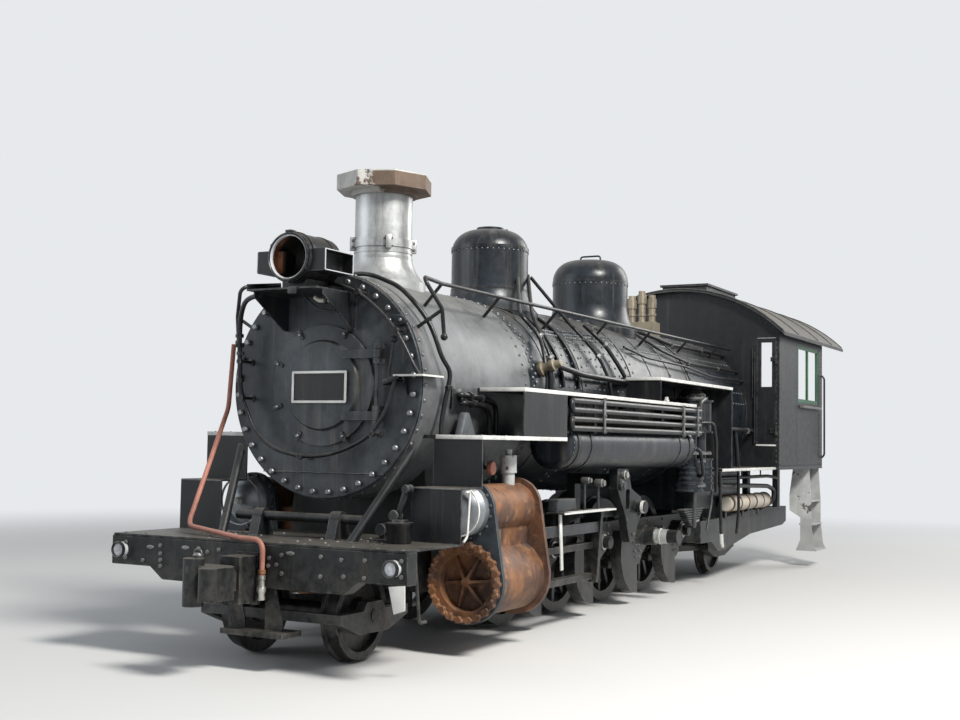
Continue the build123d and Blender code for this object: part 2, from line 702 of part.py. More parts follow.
export_step(stack.part, "parts/stack.step")

# Chimney cap: an eight-sided collar on a round neck
CAP_NECK = 40.0
with BuildPart() as stack_cap:
    with BuildSketch(level(STACK_CAP_Z + SEAT)):
        with Locations((0, at(STACK_STATION))):
            Circle(STACK_RADIUS + CAP_NECK)
            Circle(STACK_RADIUS - STACK_WALL, mode=Mode.SUBTRACT)
    extrude(amount=CAP_NECK)
    with BuildSketch(level(STACK_CAP_Z + SEAT + CAP_NECK)):
        with Locations((0, at(STACK_STATION))):
            RegularPolygon(CAP_RADIUS, 8, major_radius=True)
            Circle(STACK_RADIUS - STACK_WALL, mode=Mode.SUBTRACT)
    extrude(amount=STACK_TOP - STACK_CAP_Z - SEAT - CAP_NECK)
stack_cap.part.label = "stack_cap"
export_step(stack_cap.part, "parts/stack_cap.step")

# Boiler: courses from a table, each closed by raised bands
COURSES = (
    # start station, end station, radius at the start, radius at the end
    (SMOKEBOX_END + SEAT, TAPER_START, COURSE_RADIUS, COURSE_RADIUS),
    (TAPER_START, TAPER_END, COURSE_RADIUS, REAR_COURSE_RADIUS),
    (TAPER_END, FIREBOX_START, REAR_COURSE_RADIUS, REAR_COURSE_RADIUS),
)
BAND_STATIONS = (1985.0, 2400.0, 3200.0, 3850.0, 4500.0, 5150.0, 5800.0, 6400.0)


def boiler_radius(station):
    """Outer radius of the boiler cladding at a station."""
    for start, end, front_radius, rear_radius in COURSES:
        if start <= station <= end:
            return front_radius + (rear_radius - front_radius) * (station - start) / (end - start)
    return COURSE_RADIUS


with BuildPart() as boiler:
    for start, end, front_radius, rear_radius in COURSES:
        with Locations((0, at((start + end) / 2), BOILER_Z)):
            if front_radius == rear_radius:
                Cylinder(front_radius, end - start, rotation=(-90, 0, 0))
            else:
                Cone(front_radius, rear_radius, end - start, rotation=(-90, 0, 0))
    for station in BAND_STATIONS:
        with Locations((0, at(station), BOILER_Z)):
            Cylinder(boiler_radius(station) + BAND_HEIGHT, BAND_WIDTH, rotation=(90, 0, 0))
boiler.part.label = "boiler"
export_step(boiler.part, "parts/boiler.step")

# Firebox: round top, straight sides down to the foundation ring
with BuildPart() as firebox:
    with BuildSketch(face(at(FIREBOX_START + SEAT))):
        with Locations((0, BOILER_Z)):
            Circle(FIREBOX_RADIUS)
        with Locations((0, (BOILER_Z + FIREBOX_BOTTOM) / 2)):
            Rectangle(2 * FIREBOX_HALF_WIDTH, BOILER_Z - FIREBOX_BOTTOM)
        with Locations((0, FIREBOX_BOTTOM / 2)):
            Rectangle(3 * FIREBOX_RADIUS, FIREBOX_BOTTOM, mode=Mode.SUBTRACT)
    extrude(amount=-(CAB_STATION - FIREBOX_START - 2 * SEAT))
firebox.part.label = "firebox"
export_step(firebox.part, "parts/firebox.step")

# Domes: flared barrels with rounded tops, trimmed to the boiler
DOME_ROOT = 260.0
DOME_FLARE_DROP = 60.0
DOME_FLARE_RISE = 210.0
DOMES = (
    # name, station, radius, seam height, top height, filler hole
    ("sand_dome", SAND_STATION, SAND_RADIUS, SAND_SEAM, SAND_TOP, True),
    ("steam_dome", STEAM_STATION, STEAM_RADIUS, STEAM_SEAM, STEAM_TOP, False),
)
for name, station, radius, seam, top, filler in DOMES:
    crown = BOILER_Z + boiler_radius(station)
    foot_radius = radius + DOME_FLARE
    flare_low = crown - DOME_FLARE_DROP
    flare_high = crown + DOME_FLARE_RISE
    dome_root = crown - DOME_ROOT
    saddle_radius = boiler_radius(station + radius) + BAND_HEIGHT + SEAT
    with BuildPart() as dome:
        with BuildSketch(Plane.XZ.offset(-at(station))):
            with BuildLine():
                Line((0, dome_root), (foot_radius, dome_root))
                Line((foot_radius, dome_root), (foot_radius, flare_low))
                ThreePointArc((foot_radius, flare_low), (radius + 28, crown + 70), (radius, flare_high))
                Line((radius, flare_high), (radius, seam))
                ThreePointArc((radius, seam), (radius * 0.8, top - 55), (radius * 0.4, top))
                Line((radius * 0.4, top), (0, top))
                Line((0, top), (0, dome_root))
            make_face()
        revolve(axis=Axis((0, at(station), 0), (0, 0, 1)))
        with Locations((0, at(station), seam - 12)):
            Cylinder(radius + 7, 24)
        with Locations((0, at(station), BOILER_Z)):
            Cylinder(saddle_radius, 2400, rotation=(90, 0, 0), mode=Mode.SUBTRACT)
        if filler:
            with Locations((0, at(station), top)):
                Cylinder(FILLER_RADIUS, 240, mode=Mode.SUBTRACT)
            pin_y = at(station) + LID_PIN_BACK
            with BuildSketch(side(-LID_LUG_HALF)):
                with Locations((pin_y, top + LID_PIN_RISE)):
                    Circle(LID_EYE)
                with Locations((pin_y, top + LID_PIN_RISE / 2 - LID_EYE / 2)):
                    Rectangle(2 * LID_EYE, LID_PIN_RISE + LID_EYE)
            extrude(amount=2 * LID_LUG_HALF)
            with Locations((0, pin_y, top + LID_PIN_RISE)):
                Cylinder(LID_PIN, 4 * LID_LUG_HALF, rotation=(0, 90, 0))
    dome.part.label = name
    export_step(dome.part, f"parts/{name}.step")

# Sand dome lid: a disc with two arms that end in eyes round the pin
LID_ARM = 40.0
LID_ARM_X = 92.0
LID_BOTTOM = SAND_TOP + LEAF_GAP
with BuildPart() as sand_dome_lid:
    with Locations((0, at(SAND_STATION), LID_BOTTOM + LID_THICK / 2)):
        Cylinder(LID_RADIUS - 8, LID_THICK)
    for arm_x in (LID_ARM_X, -LID_ARM_X):
        with BuildSketch(side(arm_x - LID_ARM / 2)):
            arm_start = at(SAND_STATION) + LID_RADIUS / 2
            arm_end = at(SAND_STATION) + LID_PIN_BACK
            with Locations(((arm_start + arm_end) / 2, LID_BOTTOM + LID_THICK / 2)):
                Rectangle(arm_end - arm_start, LID_THICK)
            with Locations((arm_end, SAND_TOP + LID_PIN_RISE)):
                Circle(LID_EYE)
                Circle(LID_PIN + PIN_FIT, mode=Mode.SUBTRACT)
        extrude(amount=LID_ARM)
sand_dome_lid.part.label = "sand_dome_lid"
export_step(sand_dome_lid.part, "parts/sand_dome_lid.step")

# Cylinders: stadium end flanges round cylinder and valve chest, barrels between
CYLINDER_REAR = CYLINDER_FRONT + CYLINDER_LENGTH
CASTING_INNER = FRAME_OUTSIDE + SEAT
for hand, sign in SIDES:
    centre_x = sign * CYLINDER_X
    with BuildPart() as cylinder:
        for flange_start in (CYLINDER_FRONT, CYLINDER_REAR - FLANGE_THICK):
            with BuildSketch(face(at(flange_start))):
                with Locations((centre_x, CYLINDER_Z)):
                    Circle(CYLINDER_FLANGE)
                with Locations((centre_x, VALVE_Z)):
                    Circle(VALVE_FLANGE)
                with BuildLine():
                    Polyline(
                        (centre_x - CYLINDER_FLANGE + 4, CYLINDER_Z + 40),
                        (centre_x + CYLINDER_FLANGE - 4, CYLINDER_Z + 40),
                        (centre_x + VALVE_FLANGE - 3, VALVE_Z + 40),
                        (centre_x - VALVE_FLANGE + 3, VALVE_Z + 40),
                        close=True,
                    )
                make_face()
            extrude(amount=-FLANGE_THICK)
        with BuildSketch(face(at(CYLINDER_FRONT + 1))):
            with Locations((centre_x, CYLINDER_Z)):
                Circle(CYLINDER_RADIUS)
            with Locations((centre_x, VALVE_Z)):
                Circle(VALVE_RADIUS)
            with Locations((centre_x - sign * 40, (CYLINDER_Z + VALVE_Z) / 2)):
                Rectangle(2 * VALVE_RADIUS - 80, VALVE_Z - CYLINDER_Z)
        extrude(amount=-(CYLINDER_LENGTH - 2))
        web_middle = at((CYLINDER_FRONT + CYLINDER_REAR) / 2)
        with Locations((sign * (CASTING_INNER + 120), web_middle, 900)):
            Box(240, CYLINDER_LENGTH - 200, 480)
        with BuildSketch(face(at(CYLINDER_FRONT))):
            with Locations((centre_x, CYLINDER_Z)):
                Circle(CYLINDER_BORE)
        extrude(amount=-140, mode=Mode.SUBTRACT)
        with Locations((sign * (CASTING_INNER - 500), web_middle, 700)):
            Box(1000, 2 * CYLINDER_LENGTH, 2400, mode=Mode.SUBTRACT)
    cylinder.part.label = f"cylinder_{hand}"
    export_step(cylinder.part, f"parts/cylinder_{hand}.step")

# Front cylinder heads: a scalloped bolting ring round a deep well with star ribs
HEAD_RADIUS = 335.0
HEAD_RING = 58.0
HEAD_THICK = 52.0
BOSS_COUNT = 22
BOSS_WIDTH = 46.0
RING_TRIM = 16.0
WELL_WALL = 14.0
WELL_DEPTH = 110.0
HUB_RISE = 118.0
RIB_COUNT = 6
RIB_THICK = 22.0
with BuildPart() as cylinder_heads:
    well_radius = CYLINDER_BORE - SEAT
    ring_middle = HEAD_RADIUS - HEAD_RING / 2
    for hand, sign in SIDES:
        centre = (sign * CYLINDER_X, CYLINDER_Z)
        rim_y = at(CYLINDER_FRONT) - SEAT
        floor_y = rim_y + WELL_DEPTH
        with BuildSketch(face(rim_y)):
            with Locations(centre):
                Circle(HEAD_RADIUS - RING_TRIM)
                with PolarLocations(ring_middle, BOSS_COUNT):
                    SlotOverall(HEAD_RING, BOSS_WIDTH)
                Circle(HEAD_RADIUS - HEAD_RING + RING_TRIM, mode=Mode.SUBTRACT)
                with PolarLocations(ring_middle, BOSS_COUNT):
                    SlotOverall(HEAD_RING, BOSS_WIDTH)
        extrude(amount=HEAD_THICK)
        with BuildSketch(face(rim_y)):
            with Locations(centre):
                Circle(HEAD_RADIUS - RING_TRIM)
                Circle(well_radius - WELL_WALL, mode=Mode.SUBTRACT)
        extrude(amount=WELL_WALL)
        with BuildSketch(face(rim_y - 1)):
            with Locations(centre):
                Circle(well_radius)
                Circle(well_radius - WELL_WALL, mode=Mode.SUBTRACT)
        extrude(amount=-WELL_DEPTH - 1)
        with BuildSketch(face(floor_y)):
            with Locations(centre):
                Circle(well_radius)
        extrude(amount=WELL_WALL)
        with Locations((centre[0], floor_y - HUB_RISE / 2, centre[1])):
            Cone(70, 34, HUB_RISE, rotation=(90, 0, 0))
        for rib in range(RIB_COUNT):
            turn = 360 / RIB_COUNT * rib + 5
            rib_plane = Plane(
                origin=(centre[0], floor_y, centre[1]),
                x_dir=(cos(radians(turn)), 0, sin(radians(turn))),
                z_dir=(-sin(radians(turn)), 0, cos(radians(turn))),
            )
            with BuildSketch(rib_plane.offset(-RIB_THICK / 2)):
                with BuildLine():
                    rise = -HUB_RISE if rib_plane.y_dir.Y > 0 else HUB_RISE
                    rib_end = well_radius - 4
                    Polyline((0, 0), (rib_end, 0), (rib_end, rise * 0.3), (20, rise), (0, rise), close=True)
                make_face()
            extrude(amount=RIB_THICK)
cylinder_heads.part.label = "cylinder_heads"
export_step(cylinder_heads.part, "parts/cylinder_heads.step")

# Valve chest covers: domed, with a small nub
COVER_RADIUS = 212.0
COVER_LENGTH = 190.0
with BuildPart() as valve_covers:
    for hand, sign in SIDES:
        with BuildSketch(Plane(origin=(sign * CYLINDER_X, 0, 0), x_dir=(0, 1, 0), z_dir=(1, 0, 0))):
            with BuildLine():
                rim = at(CYLINDER_FRONT - SEAT)
                Polyline((rim, VALVE_Z), (rim, VALVE_Z + COVER_RADIUS), (rim - 70, VALVE_Z + COVER_RADIUS))
                ThreePointArc(
                    (rim - 70, VALVE_Z + COVER_RADIUS),
                    (rim - COVER_LENGTH + 42, VALVE_Z + COVER_RADIUS * 0.62),
                    (rim - COVER_LENGTH, VALVE_Z + 22),
                )
                Polyline(
                    (rim - COVER_LENGTH, VALVE_Z + 22),
                    (rim - COVER_LENGTH - 30, VALVE_Z + 22),
                    (rim - COVER_LENGTH - 30, VALVE_Z),
                    (rim, VALVE_Z),
                )
            make_face()
        revolve(axis=Axis((sign * CYLINDER_X, 0, VALVE_Z), (0, 1, 0)))
valve_covers.part.label = "valve_covers"
export_step(valve_covers.part, "parts/valve_covers.step")

# Relief valves and steam inlets on top of the valve chests
RELIEF_STATION = 1175.0
RELIEF_X = 1130.0
RELIEF_LENGTHS = (
    # radius, height of the middle over the chest, length
    (55.0, 60.0, 160.0),
    (72.0, 165.0, 150.0),
    (30.0, 260.0, 60.0),
)
with BuildPart() as relief_valves:
    for hand, sign in SIDES:
        for radius, rise, length in RELIEF_LENGTHS:
            with Locations((sign * RELIEF_X, at(RELIEF_STATION), VALVE_Z + VALVE_RADIUS + rise)):
                Cylinder(radius, length)
        with Locations((sign * CYLINDER_X, at(RELIEF_STATION), VALVE_Z)):
            Cylinder(VALVE_RADIUS + SEAT, 600, rotation=(90, 0, 0), mode=Mode.SUBTRACT)
relief_valves.part.label = "relief_valves"
export_step(relief_valves.part, "parts/relief_valves.step")

# Saddle between the frames and the smokebox
SADDLE_START = 560.0
SADDLE_END = 1320.0
SADDLE_WAIST_Z = 1130.0
SADDLE_TOP_Z = 1700.0
SADDLE_TOP_HALF = 620.0
with BuildPart() as saddle:
    with BuildSketch(face(at(SADDLE_START))):
        with BuildLine():
            Polyline(
                (-FRAME_OUTSIDE, FRAME_TOP + SEAT),
                (FRAME_OUTSIDE, FRAME_TOP + SEAT),
                (FRAME_OUTSIDE, SADDLE_WAIST_Z),
                (SADDLE_TOP_HALF, SADDLE_TOP_Z),
                (-SADDLE_TOP_HALF, SADDLE_TOP_Z),
                (-FRAME_OUTSIDE, SADDLE_WAIST_Z),
                close=True,
            )
        make_face()
    extrude(amount=-(SADDLE_END - SADDLE_START))
    with Locations((0, at((SADDLE_START + SADDLE_END) / 2), BOILER_Z)):
        Cylinder(SMOKEBOX_RADIUS + SEAT, 2400, rotation=(90, 0, 0), mode=Mode.SUBTRACT)
saddle.part.label = "saddle"
export_step(saddle.part, "parts/saddle.step")

# Guide bars, the yoke that carries them and the guard plate above
GUIDE_GAP = 150.0
GUIDE_END = 2960.0
GUIDE_WIDTH = 90.0
GUIDE_THICK = 60.0
YOKE_THICK = 50.0
with BuildPart() as guide_bars:
    for hand, sign in SIDES:
        guide_length = GUIDE_END - CYLINDER_REAR - 2 * SEAT
        guide_y = at(CYLINDER_REAR + SEAT + guide_length / 2)
        for rise in (GUIDE_GAP, -GUIDE_GAP):
            with Locations((sign * CYLINDER_X, guide_y, CYLINDER_Z + rise)):
                Box(GUIDE_WIDTH, guide_length, GUIDE_THICK)
guide_bars.part.label = "guide_bars"
export_step(guide_bars.part, "parts/guide_bars.step")

# Motion brackets: yoke plates out from the frames and the link supports
LINK_X = 1130.0
LINK_THICK = 90.0
BUSH_Z = 1100.0
BUSH_STATION = 3960.0
BRACKET_LOW = FRAME_TOP + SEAT
BRACKET_TOP = 1100.0
LINK_OUTLINE = (
    # station and height of each corner of the link support
    (3420.0, 1500.0),
    (3700.0, 1500.0),
    (3800.0, 1290.0),
    (4060.0, 1200.0),
    (4120.0, BUSH_Z),
    (4060.0, 1000.0),
    (BUSH_STATION, 900.0),
    (3900.0, 740.0),
    (3760.0, 740.0),
    (3640.0, 1020.0),
    (3420.0, 1300.0),
)
LINK_SLOT = (3700.0, 1180.0)
BUSH_RADIUS = 62.0
BUSH_LENGTH = 100.0
CROSS_BEAM_STATION = 3560.0
CROSS_BEAM_LENGTH = 140.0
CROSS_BEAM_TOP = 1445.0
CROSS_BEAM_DEPTH = 110.0
CROSS_BEAM_UNDER = CROSS_BEAM_TOP - CROSS_BEAM_DEPTH
POST_WIDTH = 90.0
TIE_BAR_Z = 1040.0
TIE_BAR_SIZE = 60.0
TIE_BAR_END = 3700.0
GUARD_X = 1215.0
GUARD_STATION = 2560.0
GUARD_Z = 1107.0
GUARD_SIZE = (190.0, 1220.0, 14.0)
with BuildPart() as motion_brackets:
    for hand, sign in SIDES:
        with BuildSketch(face(at(GUIDE_END))):
            with BuildLine():
                Polyline(
                    (sign * FRAME_INSIDE, BRACKET_LOW),
                    (sign * FRAME_INSIDE, BRACKET_TOP),
                    (sign * (CYLINDER_X + 140), BRACKET_TOP),
                    (sign * (CYLINDER_X + 90), CYLINDER_Z - GUIDE_GAP - 60),
                    (sign * (CYLINDER_X + 20), CYLINDER_Z - GUIDE_GAP - 60),
                    (sign * (CYLINDER_X - 44), CYLINDER_Z - GUIDE_GAP - 20),
                    (sign * (CYLINDER_X - 44), BRACKET_LOW + 150),
                    (sign * (FRAME_OUTSIDE + 60), BRACKET_LOW),
                    close=True,
                )
            make_face()
        extrude(amount=-YOKE_THICK)
        inner_x = sign * LINK_X if sign > 0 else sign * LINK_X - LINK_THICK
        with BuildSketch(side(inner_x)):
            with BuildLine():
                Polyline(*[(at(station), z) for station, z in LINK_OUTLINE], close=True)
            make_face()
            with Locations((at(LINK_SLOT[0]), LINK_SLOT[1])):
                RectangleRounded(110, 220, 40, mode=Mode.SUBTRACT)
        extrude(amount=LINK_THICK)
        with Locations((sign * (LINK_X + LINK_THICK + BUSH_LENGTH / 2), at(BUSH_STATION), BUSH_Z)):
            Cylinder(BUSH_RADIUS, BUSH_LENGTH, rotation=(0, 90, 0))
        beam_length = LINK_X - FRAME_INSIDE + 20
        beam_x = sign * (FRAME_INSIDE + beam_length / 2)
        with Locations((beam_x, at(CROSS_BEAM_STATION), CROSS_BEAM_TOP - CROSS_BEAM_DEPTH / 2)):
            Box(beam_length, CROSS_BEAM_LENGTH, CROSS_BEAM_DEPTH)
        post_x = sign * (FRAME_INSIDE + POST_WIDTH / 2)
        with Locations((post_x, at(CROSS_BEAM_STATION), (CROSS_BEAM_UNDER + BRACKET_LOW) / 2)):
            Box(POST_WIDTH, CROSS_BEAM_LENGTH, CROSS_BEAM_UNDER - BRACKET_LOW)
        with Locations((sign * (LINK_X - TIE_BAR_SIZE), at((GUIDE_END + TIE_BAR_END) / 2), TIE_BAR_Z)):
            Box(TIE_BAR_SIZE, TIE_BAR_END - GUIDE_END, TIE_BAR_SIZE)
        with Locations((sign * (LINK_X - TIE_BAR_SIZE / 3), at(TIE_BAR_END - TIE_BAR_SIZE), TIE_BAR_Z)):
            Box(TIE_BAR_SIZE, 2 * TIE_BAR_SIZE, TIE_BAR_SIZE)
        with Locations((sign * GUARD_X, at(GUARD_STATION), GUARD_Z)):
            Box(*GUARD_SIZE)
motion_brackets.part.label = "motion_brackets"
export_step(motion_brackets.part, "parts/motion_brackets.step")

# Driving wheelsets: axle, two spoked wheels, cranks with fan counterweights
RIM_DEPTH = 95.0
SPOKE_COUNT = 12
SPOKE_WIDTH = 52.0
SPOKE_DEPTH = 60.0
SPOKE_INSET = 30.0
HUB_RADIUS = 150.0
FLANGE_WIDTH = 32.0
PIN_BOSS = 115.0
CRANK_ARM = 215.0
COLLAR_LENGTH = 120.0
COLLAR_RISE = 22.0
for number, station in enumerate(DRIVERS, start=1):
    with BuildPart() as driver:
        with Locations((0, at(station), AXLE_Z)):
            Cylinder(AXLE_RADIUS, 2 * CRANK_FACE, rotation=(0, 90, 0))
        for hand, sign in SIDES:
            wheel_centre = (sign * TYRE_INNER, at(station), AXLE_Z)
            wheel_plane = Plane(origin=wheel_centre, x_dir=(0, sign, 0), z_dir=(sign, 0, 0))
            with BuildSketch(wheel_plane):
                Circle(DRIVER_TREAD / 2)
                Circle(DRIVER_TREAD / 2 - RIM_DEPTH, mode=Mode.SUBTRACT)
            extrude(amount=TYRE_WIDTH)
            with BuildSketch(wheel_plane):
                Circle(DRIVER_TREAD / 2 + FLANGE)
                Circle(DRIVER_TREAD / 2 - RIM_DEPTH, mode=Mode.SUBTRACT)
            extrude(amount=FLANGE_WIDTH)
            with BuildSketch(wheel_plane.offset(SPOKE_INSET)):
                Circle(HUB_RADIUS)
                with PolarLocations(DRIVER_TREAD / 4, SPOKE_COUNT):
                    Rectangle(DRIVER_TREAD / 2 - HUB_RADIUS, SPOKE_WIDTH)
            extrude(amount=SPOKE_DEPTH)
            with Locations((sign * (TYRE_INNER + TYRE_WIDTH / 2), at(station), AXLE_Z)):
                Cylinder(HUB_RADIUS, TYRE_WIDTH + 40, rotation=(0, 90, 0))
            pin_angle = LEFT_PIN_ANGLE if sign > 0 else RIGHT_PIN_ANGLE
            pin_y = at(station) + CRANK_THROW * cos(radians(pin_angle))
            pin_z = AXLE_Z + CRANK_THROW * sin(radians(pin_angle))
            with Locations((sign * (CRANK_START + CRANK_HUB_LENGTH / 2), at(station), AXLE_Z)):
                Cylinder(CRANK_HUB_RADIUS, CRANK_HUB_LENGTH, rotation=(0, 90, 0))
            web_x = CRANK_INNER if sign > 0 else -CRANK_FACE
            with BuildSketch(side(web_x)):
                with BuildLine():
                    opposite = pin_angle + 180
                    fan = [
                        (
                            at(station) + WEIGHT_RADIUS * cos(radians(opposite + turn)),
                            AXLE_Z + WEIGHT_RADIUS * sin(radians(opposite + turn)),
                        )
                        for turn in (-WEIGHT_HALF_ANGLE, 0, WEIGHT_HALF_ANGLE)
                    ]
                    Line((at(station), AXLE_Z), fan[0])
                    ThreePointArc(*fan)
                    Line(fan[2], (at(station), AXLE_Z))
                make_face()
                with Locations((at(station), AXLE_Z)):
                    Circle(CRANK_HUB_RADIUS)
                with Locations((pin_y, pin_z)):
                    Circle(PIN_BOSS)
                crank_middle = ((at(station) + pin_y) / 2, (AXLE_Z + pin_z) / 2)
                with Locations(Location(crank_middle, pin_angle)):
                    Rectangle(CRANK_THROW, CRANK_ARM)
            extrude(amount=CRANK_WEB)
            is_main = number == MAIN_DRIVER
            pin_length = MAIN_PIN_LENGTH if is_main else PIN_LENGTH
            pin_radius = MAIN_PIN_RADIUS if is_main else PIN_RADIUS
            with Locations((sign * (CRANK_FACE + pin_length / 2), pin_y, pin_z)):
                Cylinder(pin_radius, pin_length, rotation=(0, 90, 0))
            if is_main:
                with Locations((sign * (CRANK_FACE + COLLAR_LENGTH / 2), pin_y, pin_z)):
                    Cylinder(pin_radius + COLLAR_RISE, COLLAR_LENGTH, rotation=(0, 90, 0))
    driver.part.label = f"driver_{number}"
    export_step(driver.part, f"parts/driver_{number}.step")

# Truck wheelsets: a rail axle with two dished wheels
TRUCKS = (
    # name, station, half length of the axle
    ("pilot_wheels", PILOT_STATION, 690.0),
    ("trailing_wheels", TRAILING_STATION, 690.0),
)
for name, station, half_axle in TRUCKS:
    with BuildPart() as wheelset:
        with BuildSketch(Plane.XZ.offset(-at(station))):
            with BuildLine():
                wheel_out = TYRE_INNER + TYRE_WIDTH
                tread = TRUCK_TREAD / 2
                Polyline(
                    (0, 0),
                    (half_axle, 0),
                    (half_axle, TRUCK_AXLE_RADIUS - 15),
                    (wheel_out + 25, TRUCK_AXLE_RADIUS - 15),
                    (wheel_out + 25, 125),
                    (wheel_out - 40, 140),
                    (wheel_out - 55, tread - 70),
                    (wheel_out, tread - 60),
                    (wheel_out, tread - 3),
                    (TYRE_INNER + 34, tread + 2),
                    (TYRE_INNER + 28, tread + FLANGE),
                    (TYRE_INNER, tread + FLANGE),
                    (TYRE_INNER, tread - 70),
                    (TYRE_INNER + 35, tread - 80),
                    (TYRE_INNER + 20, 140),
                    (TYRE_INNER - 20, 125),
                    (TYRE_INNER - 20, TRUCK_AXLE_RADIUS),
                    (0, TRUCK_AXLE_RADIUS),
                    close=True,
                )
            make_face()
        revolve(axis=Axis((0, at(station), 0), (1, 0, 0)))
        mirror(about=Plane.YZ)
    moved = wheelset.part.moved(Location((0, 0, TRUCK_AXLE_Z)))
    moved.label = name
    export_step(moved, f"parts/{name}.step")

# Truck frames: side plates with axle bores, end ties and a tongue to the pivot
TRUCK_FRAMES = (
    # name, axle station, front end, rear end, pivot station
    ("pilot_truck", PILOT_STATION, -660.0, 290.0, PILOT_PIVOT),
    ("trailing_truck", TRAILING_STATION, 7900.0, 9000.0, TRAILING_PIVOT),
)
TONGUE_WIDTH = 150.0
TONGUE_THICK = 60.0
ARCH_HALF = 110.0
ARCH_SLOPE = 40.0
BELLY_HALF = 200.0
BELLY_DROP = 40.0
END_TIE = 50.0
SIDE_LOW = TRUCK_FRAME_LOW + 60
for name, station, front_end, rear_end, pivot in TRUCK_FRAMES:
    with BuildPart() as truck:
        with BuildSketch(side(TRUCK_FRAME_IN)):
            with BuildLine():
                Polyline(
                    (at(front_end), SIDE_LOW),
                    (at(front_end), TRUCK_FRAME_HIGH),
                    (at(station) - ARCH_HALF - ARCH_SLOPE, TRUCK_FRAME_HIGH),
                    (at(station) - ARCH_HALF, TRUCK_AXLE_Z + ARCH_HALF),
                    (at(station) + ARCH_HALF, TRUCK_AXLE_Z + ARCH_HALF),
                    (at(station) + ARCH_HALF + ARCH_SLOPE, TRUCK_FRAME_HIGH),
                    (at(rear_end), TRUCK_FRAME_HIGH),
                    (at(rear_end), SIDE_LOW),
                    (at(station) + BELLY_HALF, TRUCK_FRAME_LOW - BELLY_DROP),
                    (at(station) - BELLY_HALF, TRUCK_FRAME_LOW - BELLY_DROP),
                    close=True,
                )
            make_face()
            with Locations((at(station), TRUCK_AXLE_Z)):
                Circle(TRUCK_AXLE_RADIUS - 15 + PIN_FIT, mode=Mode.SUBTRACT)
        extrude(amount=TRUCK_FRAME_PLATE)
        mirror(about=Plane.YZ)
        tie_z = (SIDE_LOW + TRUCK_FRAME_HIGH) / 2
        with Locations((0, at(front_end + END_TIE / 2), tie_z), (0, at(rear_end - END_TIE / 2), tie_z)):
            Box(2 * TRUCK_FRAME_IN, END_TIE, TRUCK_FRAME_HIGH - SIDE_LOW)
        near_end = rear_end if pivot > station else front_end
        with BuildSketch(level(SIDE_LOW)):
            with BuildLine():
                Polyline(
                    (-TRUCK_FRAME_IN + 60, at(near_end)),
                    (TRUCK_FRAME_IN - 60, at(near_end)),
                    (TONGUE_WIDTH / 2, at(pivot)),
                    (-TONGUE_WIDTH / 2, at(pivot)),
                    close=True,
                )
            make_face()
            with Locations((0, at(pivot))):
                Circle(TONGUE_WIDTH / 2)
                Circle(PIVOT_RADIUS + PIN_FIT, mode=Mode.SUBTRACT)
        extrude(amount=TONGUE_THICK)
    truck.part.label = name
    export_step(truck.part, f"parts/{name}.step")

# Safety valves on their turret over the firebox
VALVE_STATION = 7150.0
TURRET_TOP = BOILER_Z + FIREBOX_RADIUS + 170.0
TURRET_SIZE = (420.0, 230.0, 400.0)
POP_VALVES = (
    # X and height of each valve
    (-140.0, 360.0),
    (0.0, 420.0),
    (140.0, 360.0),
)
POP_RADIUS = 46.0
POP_BODY_RADIUS = 60.0
POP_BODY_LENGTH = 120.0
POP_BODY_DROP = 110.0
with BuildPart() as safety_valves:
    with Locations((0, at(VALVE_STATION), TURRET_TOP - TURRET_SIZE[2] / 2)):
        Box(*TURRET_SIZE)
    for valve_x, valve_height in POP_VALVES:
        with Locations((valve_x, at(VALVE_STATION), TURRET_TOP + valve_height / 2)):
            Cylinder(POP_RADIUS, valve_height)
        with Locations((valve_x, at(VALVE_STATION), TURRET_TOP + valve_height - POP_BODY_DROP)):
            Cylinder(POP_BODY_RADIUS, POP_BODY_LENGTH)
    with Locations((0, at(VALVE_STATION), BOILER_Z)):
        Cylinder(FIREBOX_RADIUS + SEAT, 2000, rotation=(90, 0, 0), mode=Mode.SUBTRACT)
safety_valves.part.label = "safety_valves"
export_step(safety_valves.part, "parts/safety_valves.step")

# Handrails along the boiler on stanchions, bent down at the front to a ball end
RAIL_X = 790.0
RAIL_Z = 3075.0
RAIL_RADIUS = 17.0
RAIL_END = CAB_STATION - 150.0
RAIL_BALL = 30.0
RAIL_NOSE = (
    # X, station and Z of each point from the ball end up to the straight run
    (1050.0, 165.0, 2590.0),
    (1045.0, 135.0, 2815.0),
    (925.0, 20.0, RAIL_Z - 5),
    (805.0, 540.0, RAIL_Z),
)
RAIL_BENDS = [70, 60, 300]
STANCHION_RADIUS = 15.0
STANCHION_ROOT = 900.0
STANCHIONS = (
    # station, then X and Z of the rail there
    (140.0, 1044.0, 2810.0),
    (530.0, 806.0, RAIL_Z),
    (1580.0, 803.0, RAIL_Z),
    (2840.0, 800.0, RAIL_Z),
    (4100.0, 798.0, RAIL_Z),
    (5400.0, 796.0, RAIL_Z),
    (6700.0, 794.0, RAIL_Z),
    (7900.0, 792.0, RAIL_Z),
)
